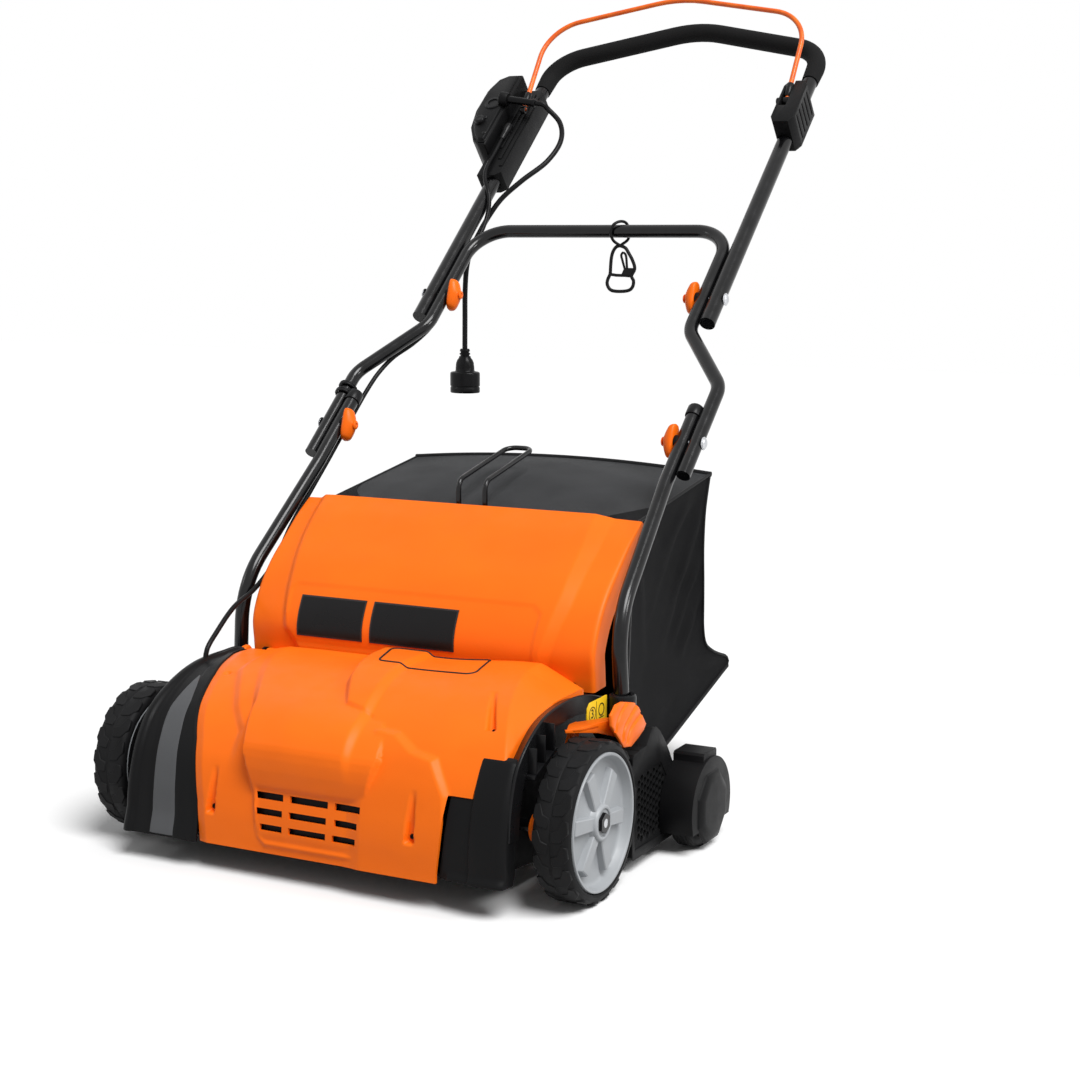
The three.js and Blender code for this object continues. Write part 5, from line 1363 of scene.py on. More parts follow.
@dataclass
class FrontCover:
    """The orange front cover and the black belt cover beside it.

    Both follow one arch from the bottom of the front up and over to the hood. A place on
    it is x and t, the length along the arch, and proud says how far it stands out there.
    """

    arch_shares: Outline = (
        (0, 0.16), (0.011, 0.35), (0.032, 0.478), (0.082, 0.645), (0.171, 0.798),
        (0.32, 0.912), (0.509, 0.985), (0.747, 1.0), (0.854, 0.996), (1.0, 0.925),
    )
    front: float = -118.0
    length: float = 281.0
    height: float = 228.0
    hood_line: float = 358.0
    wall: float = 4.0
    lip: float = 15.0
    flare: float = 7.0
    grain: float = 2.0
    inside: Point = (0.0, 60.0, 60.0)
    left_edge: Outline = (
        (0, -162), (52, -167), (128, -185), (179, -205), (242, -224), (330, -257), (403, -262)
    )
    low_step: float = 104.0
    mid_step: float = 149.0
    soft_step: Outline = (
        (-118, 60), (-114, 147), (-141, 179), (-184, 251), (-197, 330), (-205, 420), (30, 420), (60, 60)
    )
    drum: Outline = (
        (17, 192), (-6, 237), (-20, 282), (-28, 320), (-34, 360), (-38, 420), (300, 420), (300, -40), (60, -40),
        (60, 180)
    )
    motor: Outline = (
        (-58, 10), (-70, 22), (-77, 70), (-84, 90), (-92, 112), (-98, 138), (-112, 179), (-143, 240), (-172, 300),
        (-186, 345), (-192, 420), (44, 420), (40, 300), (36, 215), (72, 189), (86, 172), (97, 150), (101, 128),
        (93, 104), (87, 84), (82, 36), (70, 10),
    )
    well: Outline = ((-72, 22), (-73, 81), (84, 81), (81, 22), (70, 14), (-60, 14))
    panel: Outline = ((60, -20), (60, 172), (85, 170), (111, 167), (141, 150), (173, 144), (201, 103), (214, -20))
    bevel: Outline = ((0, 262), (130, 262), (153, 261), (227, 231), (316, 204), (403, 198))
    rise_at: tuple[float, ...] = (0, 40, 100, 150, 192, 215, 250, 300, 358, 403)
    rise_left: tuple[float, ...] = (1.0, 2.0, 5.5, 9.5, 13.5, 16.0, 18.5, 18.5, 16.5, 15.0)
    rise_right: tuple[float, ...] = (1.0, 2.0, 5.5, 9.5, 13.5, 15.5, 18.5, 22.5, 24.5, 25.0)
    dimple: tuple[float, float] = (-203.0, 243.0)
    screws: Outline = ((-143.2, 46.5), (152.4, 50.5), (225.6, 191.0))
    slots: tuple[tuple[float, float, float], ...] = ((-143.5, 41.0, 98.0), (152.0, 45.0, 103.0))
    crest_at: tuple[float, ...] = (0, 10, 24, 74, 80, 88, 100, 112, 120, 126, 140, 160, 190, 215, 260, 330, 403)
    crest_rise: tuple[float, ...] = (
        0, 2.4, 4.2, 4.8, 7.0, 11.0, 16.5, 20.8, 22.5, 22.5, 19.8, 15.4, 9.0, 5.5, 3.4, 2.6, 2.2
    )
    vent_rows: tuple[float, ...] = (71.0, 51.5, 32.5)
    vent_half: float = 4.2
    left_columns: int = 184
    mid_columns: int = 17
    vent_columns: tuple[Outline, ...] = (
        ((-71, -34), (-24, 33), (43, 82)), ((-70, -34), (-24, 31), (42, 79)), ((-67, -34), (-24, 30), (41, 75)),
    )

    def __post_init__(self) -> None:
        """Lays out the arch."""
        knots = [(self.front + u * self.length, v * self.height) for u, v in self.arch_shares]
        self.arch = Arch(knots, 4.0)

    def left_of(self, t: np.ndarray) -> np.ndarray:
        """The cover's left boundary at each arc length."""
        return np.interp(t, *zip(*self.left_edge))

    def proud(self, x: np.ndarray, t: np.ndarray) -> np.ndarray:
        """How far the orange cover stands proud of the arch.

        Args:
            x: how far the places lie to the right.
            t: how far they lie along the arch.

        Returns:
            An array of millimetres.
        """
        base = 4.2 * slope(x - self.left_of(t), 0, 13)
        step = edge_distance(x, t, self.soft_step)
        base = base + 6.0 * ramp(step, -11, 3) * ramp(t, 90, 150)
        drum = edge_distance(x, t, self.drum)
        left_rise, right_rise = (eased(t, self.rise_at, rise, 24.0) for rise in (self.rise_left, self.rise_right))
        rise = left_rise + (right_rise - left_rise) * ramp(x, 60, 190)
        bevel = np.interp(t, *zip(*self.bevel))
        fall = slope(x, bevel, np.maximum(266.0, bevel + 8))
        flank = np.interp(t, [0, 190, 300, 403], [6, 7, 9, 12])
        body = rise * slope(drum, -flank, 4) * (1 - fall)
        motor = edge_distance(x, t, self.motor)
        crest = np.interp(t, self.crest_at, self.crest_rise)
        soft = np.interp(t, [0, 70, 124, 200, 403], [3.5, 4.0, 4.5, 7.0, 10.0])
        bulge = crest * slope(motor, -soft, soft * 0.4)
        crown = slope(motor, 0, 60) * ramp(t, 84, 130) * 2.4 * (1 - 0.6 * ramp(t, 170, 215))
        bulge = bulge + crown
        bulge = bulge - 2.6 * slope(edge_distance(x, t, self.well), -1, 2.5)
        panel = edge_distance(x, t, self.panel)
        lift = np.interp(t, [0, 60, 140, 180], [3.0, 4.5, 7.0, 6.5])
        facet = lift * slope(panel, 0, 9) * ramp(x, 62, 84)
        surface = body + facet
        total = base + np.maximum(bulge, surface)
        total = total - 3.6 * slope(x, bevel + 8, np.maximum(263.0, bevel + 16)) * ramp(t, 150, 175)
        for middle, low, high in self.slots:
            total = total - self.slot(x - middle, t, low, high, 5.8)
        share = slope(t, 186, 249)
        total = total - self.slot(x - (226 - 30 * share), t, 186, 249, 5.4)
        dimple = np.hypot(x - self.dimple[0], t - self.dimple[1])
        return total - 4.0 * (1 - slope(dimple, 3.0, 5.0))

    @staticmethod
    def slot(aside: np.ndarray, t: np.ndarray, low: float, high: float, half: float) -> np.ndarray:
        """Depth of a screw slot that is deep at its foot and runs out at its top.

        Args:
            aside: how far the places lie to the right of the slot's middle.
            t: how far they lie along the arch.
            low: where the slot starts.
            high: where it ends.
            half: half its width at its foot.

        Returns:
            An array of millimetres.
        """
        share = slope(t, low, high)
        wide = half * (1 - 0.5 * share)
        across = slope(wide - np.abs(aside - 1.5 * share), -1.0, 1.6)
        return 10.0 * across * slope(t, low - 2.5, low) * (1 - share) ** 0.7

    def columns(self, t: np.ndarray) -> np.ndarray:
        """X lines of the cover's mesh, fitted to its boundaries.

        Args:
            t: the arc lengths of its rows.

        Returns:
            An array with a row of places for each arc length.
        """
        left = self.left_of(t)[:, None]
        low = np.interp(t, [11, 41, 102, 160, 403], [189, 193, 198, 206, 206])[:, None]
        mid = np.interp(t, [104, 149, 403], [230, 234, 240])[:, None]
        far = np.full_like(low, 262.0)
        spans = [(left, low, self.left_columns), (low, mid, self.mid_columns), (mid, far, 14)]
        parts = [a + (b - a) * (np.arange(n) / n)[None, :] for a, b, n in spans]
        return np.concatenate(parts + [far], axis=1)

    def lines(self, top: float) -> np.ndarray:
        """Arc lengths of the mesh's rows, with one on every step and vent edge.

        Args:
            top: the last of them.

        Returns:
            The arc lengths, in order.
        """
        marks = [0.0, self.low_step, self.mid_step, top]
        for row in self.vent_rows:
            marks += [row - self.vent_half, row + self.vent_half]
        marks = sorted(marks)
        rows = []
        for low, high in zip(marks, marks[1:]):
            count = max(1, round((high - low) / self.grain))
            rows += list(low + (high - low) * np.arange(count) / count)
        return np.array(rows + [top])

    def make_cover(self) -> None:
        """The orange shell with its bulge, drum, panel, slots and vents."""
        rows = self.lines(self.hood_line)
        x = self.columns(rows)
        t = np.repeat(rows[:, None], x.shape[1], axis=1)
        proud = self.proud(x, t)
        x = np.concatenate([x, x[:, -1:] + 0.8], axis=1)
        t = np.concatenate([t, t[:, -1:]], axis=1)
        grid = self.arch.at(x, t, np.concatenate([proud, proud[:, -1:] - self.lip], axis=1))
        middle_x = (x[:-1, :-1] + x[1:, 1:]) / 2
        middle_t = (t[:-1, :-1] + t[1:, 1:]) / 2
        column = np.arange(x.shape[1] - 1)[None, :]
        keep = ~((middle_t < self.low_step) & (column >= self.left_columns))
        keep &= ~((middle_t < self.mid_step) & (column >= self.left_columns + self.mid_columns))
        for row, spans in zip(self.vent_rows, self.vent_columns):
            opened = np.abs(middle_t - row) < self.vent_half
            across = middle_x[np.argmax(opened[:, 0])]
            for low, high in spans:
                keep &= ~(opened & ((across > low) & (across < high))[None, :])
        skin = Draft("front_cover_shell").sheet(grid, keep)
        rear = grid[-1]
        drop = [rear, rear + (0, 1.6, -0.6), rear + (0, 2.6, -2.4)]
        low_edge = rear + (0, 2.8, 0)
        low_edge[:, 2] = 210.0
        skin.sheet(np.array(drop + [low_edge]))
        shell = skin.draw(recalculate=False)
        face_out(shell, self.inside)
        dress(shell, "chassis", ORANGE, ["front_cover"], thick=self.wall, smooth=60)

    def make_grille(self) -> None:
        """Dark louvre slats behind the vents, and the screws at the bottom of the slots."""
        draft = Draft("vent_louvres")
        for row in self.vent_rows:
            t = np.repeat([[row - 8.0], [row + 8.0]], 40, axis=1)
            x = np.repeat(np.linspace(-76, 86, 40)[None, :], 2, axis=0)
            draft.sheet(self.arch.at(x, t, -1.0))
        skin = draft.draw(recalculate=False)
        face_out(skin, self.inside)
        dress(skin, "chassis", BLACK, thick=1.6)
        head = [(0, 3.6), (2.0, 3.6), (2.8, 3.0), (2.9, 1.4), (1.8, 1.2), (1.8, 0)]
        heads = Draft("cover_screws")
        for x, t in self.screws:
            seat, mark = np.array([x]), np.array([t])
            floor = self.proud(seat, mark)
            place, ahead = (self.arch.at(seat, mark, floor + away)[0] for away in (-1.5, 3.0))
            heads.lathe(head, place, ahead - place, 20)
        dress(heads.draw(), "chassis", BLACK, smooth=40)

    def make_belt_cover(self) -> None:
        """The black cover over the belt, with its rounded outer edge and bottom flare."""
        rows = np.concatenate([np.arange(0, self.arch.top, 3.0), [self.arch.top]])
        left = self.left_of(rows)[:, None]
        shares = np.linspace(0, 1, 44)[None, :]
        x = (left - 0.6) + (-280 - left + 0.6) * shares
        t = np.repeat(rows[:, None], x.shape[1], axis=1)
        proud = 1.6 * ramp(shares, 0, 0.05) + 0 * t
        proud = proud + 3.5 * ramp(-x, 262, 268)
        corner = np.clip((-x - 270) / 10, 0, 1)
        proud = proud - 9.0 * (1 - np.sqrt(np.clip(1 - corner**2, 0, 1)))
        proud = proud - 1.2 * ramp(shares, 0.28, 0.34) * (1 - ramp(shares, 0.62, 0.68))
        grid = self.arch.at(x, t, proud)
        grid[..., 1] -= self.flare * (1 - ramp(t, 0, 34))
        side = []
        for _, y, z in grid[:, -1]:
            low, inwards = min(24.0, z - 2), np.linspace(0, 1, 10)
            side.append([(-280.0, y + (25.0 - y) * share * 0.6, z + (low - z) * share * 0.6) for share in inwards])
        draft = Draft("belt_cover_shell").sheet(grid)
        draft.sheet(np.array(side))
        skin = draft.draw(recalculate=False)
        work = bmesh.new()
        work.from_mesh(skin.data)
        bmesh.ops.remove_doubles(work, verts=work.verts, dist=1e-4)
        bmesh.ops.recalc_face_normals(work, faces=work.faces)
        work.to_mesh(skin.data)
        work.free()
        face_out(skin, self.inside)
        dress(skin, "chassis", BLACK, ["belt_cover"], thick=3.0, smooth=45)
        self.make_stripe()

    def make_stripe(self) -> None:
        """The lighter tapering stripe over the belt cover."""
        rows = np.linspace(3, 233, 90)
        shares = np.linspace(0, 1, 9)[None, :]
        outer = np.interp(rows, [0, 59, 88, 129, 169, 210, 233], [-236, -237, -239, -242, -246, -245, -243])[:, None]
        inner = np.interp(rows, [0, 83, 138, 181, 210, 233], [-199, -203, -210, -219, -230, -241])[:, None]
        x = outer + (inner - outer) * shares
        t = np.repeat(rows[:, None], x.shape[1], axis=1)
        edge = ramp(shares, 0, 0.12) * (1 - ramp(shares, 0.88, 1))
        grid = self.arch.at(x, t, 0.8 + 1.4 * edge + 0 * t)
        grid[..., 1] -= self.flare * (1 - ramp(t, 0, 34))
        skin = Draft("belt_cover_band").sheet(grid).draw(recalculate=False)
        face_out(skin, self.inside)
        dress(skin, "chassis", STRIPE, ["belt_cover_stripe"], thick=1.0, smooth=50)

    def make_badge(self) -> None:
        """The blank badge on the drum: a fine dark line round a bare field."""
        corners = [(70, 283), (148, 283), (131, 355.5), (-17, 355.5), (7, 283), (70, 283)]
        turned = rounded([(x, t, 0) for x, t in corners], (11, 9, 9, 11), 9.0)
        knots = np.array(turned)[:, :2]
        steps = np.concatenate([[0], np.cumsum(np.hypot(*np.diff(knots, axis=0).T))])
        along = np.linspace(0, steps[-1], 150)[:-1]
        x, t = np.interp(along, steps, knots[:, 0]), np.interp(along, steps, knots[:, 1])
        line = self.arch.at(x, t, self.proud(x, t) + 0.1)
        obj = Draft("badge_line").tube([tuple(p) for p in line], 1.4, 8, loop=True).draw()
        dress(obj, "chassis", BADGE_LINE, smooth=60)

    def build(self) -> None:
        """Makes both covers and all that is on them."""
        self.make_cover()
        self.make_grille()
        self.make_belt_cover()
        self.make_badge()


@dataclass
class Hood:
    """The hinged orange hood with its side bevels, recessed label field and blank plates."""

    side: Outline = (
        (147.65, 233.9), (146.1, 269), (163, 308), (190, 342), (225, 372), (260, 399.9), (293, 421)
    )
    wall: float = 3.0
    skirt: float = 34.0
    recess: Outline = ((-184, 8), (-199, 20), (-203, 80), (-196, 88), (170, 88), (182, 78), (176, 8))

    def __post_init__(self) -> None:
        """Lays out the hood's side line."""
        self.arch = Arch(self.side, 5.0)

    def proud(self, x: np.ndarray, t: np.ndarray) -> np.ndarray:
        """Side bevels, the central panel and the shallow label recess.

        Args:
            x: how far the places lie to the right.
            t: how far they lie along the hood's side line.

        Returns:
            An array of millimetres.
        """
        left = np.interp(t, [0, 10, 28, 56, 106, 170, 240, 252], [-182, -186, -200, -205, -212, -225, -231, -233])
        right = np.interp(t, [0, 29, 61, 109, 189, 252], [180, 189, 197, 204, 203, 198])
        outer = np.interp(t, [0, 21, 54, 96, 191, 252], [196, 202, 211, 222, 227, 226])
        raised = 6.0 * slope(x - left, -9, 0) * (1 - slope(x, right, outer))
        recess = edge_distance(x, t, self.recess)
        return raised + 1.5 * ramp(np.abs(x), 262, 214) - 1.3 * slope(recess, -2.5, 0.5)

    def make_panel(self) -> None:
        """The hood's skin with a rolled edge all round."""
        lip_x, lip_drop = np.array([-265, -265, -264.6, -263.4, -261]), np.array([-self.skirt, -8, -3.6, -1.4, -0.3])
        edges_x = np.concatenate([lip_x, np.linspace(-258, 258, 200), -lip_x[::-1]])
        drops = np.concatenate([lip_drop, np.zeros(200), lip_drop[::-1]])
        top = self.arch.top
        rows = np.concatenate([[-16.0, -8.0], np.arange(0, top, 3.0), [top]])
        x = np.repeat(edges_x[None, :], len(rows), axis=0)
        t = np.repeat(rows[:, None], x.shape[1], axis=1)
        drop = drops[None, :] * (1 - 0.75 * ramp(rows, 150, top))[:, None]
        proud = self.proud(x, t) + drop
        grids = [self.arch.at(x, t, proud)]
        for depth in (4.0, 14.0):
            grids.append(self.arch.at(x[-1:], np.full_like(x[-1:], top + 1.5), proud[-1:] - depth))
        skin = Draft("hood_shell").sheet(np.concatenate(grids, axis=0)).draw(recalculate=False)
        face_out(skin, (0, 300, 250))
        dress(skin, "hood", ORANGE, ["hood_panel"], thick=self.wall, smooth=50)

    def make_plates(self) -> None:
        """Two dark blank plates with a fine lighter frame."""
        for name, low_x, high_x in (("left", -184, -79), ("right", -67, 64)):
            for kind, inset, lift, finish in (("plate", 0.0, 1.0, LABEL), ("face", 2.4, 1.25, BLACK_SATIN)):
                across = np.linspace(low_x + inset, high_x - inset, 24)
                u, v = np.meshgrid(across, np.linspace(20 + inset, 73 - inset, 14))
                grid = self.arch.at(u, v, self.proud(u, v) + lift)
                skin = Draft(f"hood_{kind}_{name}").sheet(grid).draw(recalculate=False)
                if sum(p.normal.y * p.area for p in skin.data.polygons) > 0:
                    skin.data.flip_normals()
                dress(skin, "hood", finish, [f"hood_label_{name}"] if kind == "plate" else [], thick=0.7)

    def make_hinge(self) -> None:
        """The barrel along the hood's foot, with its knuckles."""
        profile = [(0, 6.0), (0.6, 7.6), (3, 8.0), (465, 8.0), (467.4, 7.6), (468, 6.0)]
        obj = Draft("hood_barrel").lathe(profile, (-234, 140, 222), (1, 0, 0), 28).draw()
        dress(obj, "hood", ORANGE, smooth=40)
        ear = [(124, 214), (124, 226), (128, 231), (137, 232), (143, 226), (143, 214)]
        obj = Draft("hood_ear").prism(ear, side_place(-1.0), 262, 270).draw()
        dress(obj, "chassis", ORANGE, bevel=1.6, segments=3, smooth=40)

    def build(self) -> None:
        """Makes the hood and its plates."""
        self.make_panel()
        self.make_plates()
        self.make_hinge()


# ---------------------------------------------------------------- wheels and sides


@dataclass
class FrontWheel:
    """One big front wheel: treaded rubber tyre on a dished grey disc with six ribs."""

    side: Side
    radius: float = 100.0
    inner_x: float = 300.7
    width: float = 50.0
    rim_radius: float = 85.0
    lugs: int = 20
    ribs: int = 6
    rib_turn: float = 52.0
    lug: Outline = ((-6.6, 2.4), (1.6, 1.6), (8.2, 9.0), (9.0, 22.6), (1.4, 23.8), (-0.4, 15.0), (-7.8, 9.6))
    rib: tuple[tuple[float, float, float], ...] = (
        (21.0, 8.4, 4.0), (30.0, 8.4, 4.2), (46.0, 8.8, 4.8), (65.0, 9.6, 5.4), (66.6, 9.4, 6.6), (68.0, 9.8, 15.6)
    )

    def __post_init__(self) -> None:
        """Works out where the wheel stands and which way is outwards."""
        self.sign, self.name = self.side.sign, self.side.value
        self.body = f"front_wheel_{self.name}"
        self.centre = (self.sign * self.inner_x, 0.0, self.radius)
        self.axis = (self.sign, 0.0, 0.0)

    def out(self, depth: float) -> float:
        """Where a depth from the wheel's inner face lies along X."""
        return self.sign * (self.inner_x + depth)

    def tyre(self) -> None:
        """The tyre's carcass, then its tread blocks in two staggered rows."""
        r, w, seat = self.radius, self.width, self.rim_radius
        profile = [
            (6, seat - 1), (2.2, seat + 0.5), (0.8, seat + 3), (0.6, r - 11), (1.6, r - 6.5), (4.4, r - 2.8),
            (9, r - 1.6), (w / 2 - 1.2, r - 1.3), (w / 2, r - 2.0), (w / 2 + 1.2, r - 1.3), (w - 9, r - 1.6),
            (w - 4.4, r - 2.8), (w - 1.6, r - 6.0), (w - 0.6, r - 11), (w - 0.6, seat + 4.4), (w - 1.4, seat + 3.4),
            (w - 1.2, seat + 2.2), (w - 2.6, seat + 0.6), (w - 7, seat - 1),
        ]
        carcass = Draft(f"tyre_{self.name}").lathe(profile, self.centre, self.axis, 96, True).draw()
        dress(carcass, self.body, TYRE, [f"front_tyre_{self.name}"], smooth=42)
        step = 360.0 / self.lugs
        for row in (0, 1):
            low, high = [], []
            for degrees, across in self.lug:
                x = self.out(across if row == 0 else w - across)
                turn = math.radians(90 + degrees + row * step / 2)
                top = r - 0.1 - 2.2 * (1 - min(across, 6.0) / 6.0)
                for ring, size in ((low, r - 8.5), (high, top)):
                    ring.append((x, size * math.cos(turn), r + size * math.sin(turn)))
            obj = Draft(f"tread_{row}_{self.name}").rings([low, high]).draw()
            modified(obj, "BEVEL", width=0.9 * MM, segments=1, limit_method="ANGLE", angle_limit=math.radians(40))
            baked(obj)
            Repeat(self.lugs, step, (0, 0, r)).apply(obj, TYRE)
            dress(obj, self.body, TYRE, smooth=40)

    def rim(self) -> None:
        """The dished disc, its lip, hub and six tapering ribs, and a black disc on its inner side that is painted shade
        there.
        """
        w = self.width
        r = self.rim_radius
        profile = [
            (4, 18), (4, r - 4), (2, r - 2.4), (2.4, r - 0.4), (5, r), (w - 6, r), (w - 1.4, r), (w - 0.1, r - 0.8),
            (w, r - 2.2), (w - 0.6, r - 3.6), (w - 3.4, r - 4.8), (w - 11, r - 6.4), (w - 13.0, r - 8),
            (w - 14.0, r - 12), (w - 13.2, 44), (w - 11.6, 30), (w - 9.6, 25), (w - 6.6, 23.4), (w - 3.4, 22.6),
            (w - 1.2, 21.8), (w - 0.1, 20.4), (w + 0.0, 18.6), (w - 0.6, 17.4), (w - 2.2, 16.8), (w - 2.6, 10),
            (w - 2.6, 8.6), (8, 8.6), (8, 18),
        ]
        obj = Draft(f"rim_{self.name}").lathe(profile, self.centre, self.axis, 96, True).draw()
        dress(obj, self.body, GREY, [f"front_rim_{self.name}"], smooth=38)
        first = math.radians(self.rib_turn)
        cosine, sine = math.cos(first), math.sin(first)
        floor = w - 16.0
        rings = []
        for size, half, below in self.rib:
            depth = w - below
            shoulder = max(floor, depth - 1.2)
            edges = (
                (-half - 1.4, floor), (-half, shoulder), (-half + 1.3, depth), (half - 1.3, depth),
                (half, shoulder), (half + 1.4, floor),
            )
            rings.append(
                [
                    (self.out(deep), size * cosine - across * sine, self.radius + size * sine + across * cosine)
                    for across, deep in edges
                ]
            )
        obj = Draft(f"rim_ribs_{self.name}").rings(rings).draw()
        Repeat(self.ribs, 360.0 / self.ribs, (0, 0, self.radius)).apply(obj, GREY)
        dress(obj, self.body, GREY, smooth=34)
        # Painted shade: a black disc over the rim's inner side stands in for the shade that falls there.
        inner_shade_disc = [(1.2, 20), (0.8, 24), (0.8, r - 6), (1.8, r - 1.5), (3.8, r - 1.5), (3.8, 20)]
        back = Draft(f"wheel_back_shade_{self.name}").lathe(inner_shade_disc, self.centre, self.axis, 72, True).draw()
        dress(back, self.body, BLACK, smooth=38)

    def nut(self) -> None:
        """The bright dome nut and its washer on the spindle."""
        washer = [(0, 8.4), (0, 14.5), (1.4, 15), (2.0, 14.5), (2.0, 8.4)]
        base = (self.out(self.width - 6.5), 0, self.radius)
        obj = Draft(f"wheel_washer_{self.name}").lathe(washer, base, self.axis, 40, True).draw()
        dress(obj, "front_axle", STEEL, smooth=35)
        seat = self.width - 4.4
        draft = Draft(f"wheel_nut_{self.name}")
        draft.rings([[(self.out(seat + d), y, z) for y, z in disc_points(9.2, 6, 0, self.radius)] for d in (0.0, 4.6)])
        dome = [(4.2, 7.8), (5.4, 7.6), (6.2, 6.4), (6.7, 4.0), (6.8, 0)]
        draft.lathe(dome, (self.out(seat), 0, self.radius), self.axis, 32)
        dress(draft.draw(), "front_axle", STEEL, bevel=0.5, smooth=40)

    def build(self) -> None:
        """Makes the wheel."""
        self.tyre()
        self.rim()
        self.nut()


@dataclass
class RearWheel:
    """One small rear roller wheel with a ribbed rubber tread."""

    side: Side
    radius: float = 56.0
    inner_x: float = 343.0
    width: float = 30.0
    axle_y: float = 260.0
    grooves: int = 4

    def build(self) -> None:
        """Turns the wheel and cuts its tread grooves in the profile."""
        r, w, sign = self.radius, self.width, self.side.sign
        profile = [(0, 8), (0, 18), (2.4, 19), (4, 40), (1.2, 42), (0.4, 46), (0.6, r - 5), (2.4, r - 1.4)]
        for groove in range(self.grooves):
            away = 5 + groove * 6.2
            profile += [(away, r), (away + 3.6, r), (away + 4.2, r - 1.0), (away + 5.4, r - 1.0)]
        profile += [
            (w - 2.4, r - 1.4), (w - 0.6, r - 5), (w - 0.4, 46), (w - 1.2, 42), (w - 4, 40), (w - 2.4, 19), (w, 18),
            (w, 8)
        ]
        draft = Draft(f"roller_{self.side.value}")
        draft.lathe(profile, (sign * self.inner_x, self.axle_y, r), (sign, 0, 0), 64, True)
        body = f"rear_wheel_{self.side.value}"
        dress(draft.draw(), body, TYRE, [body], smooth=35)


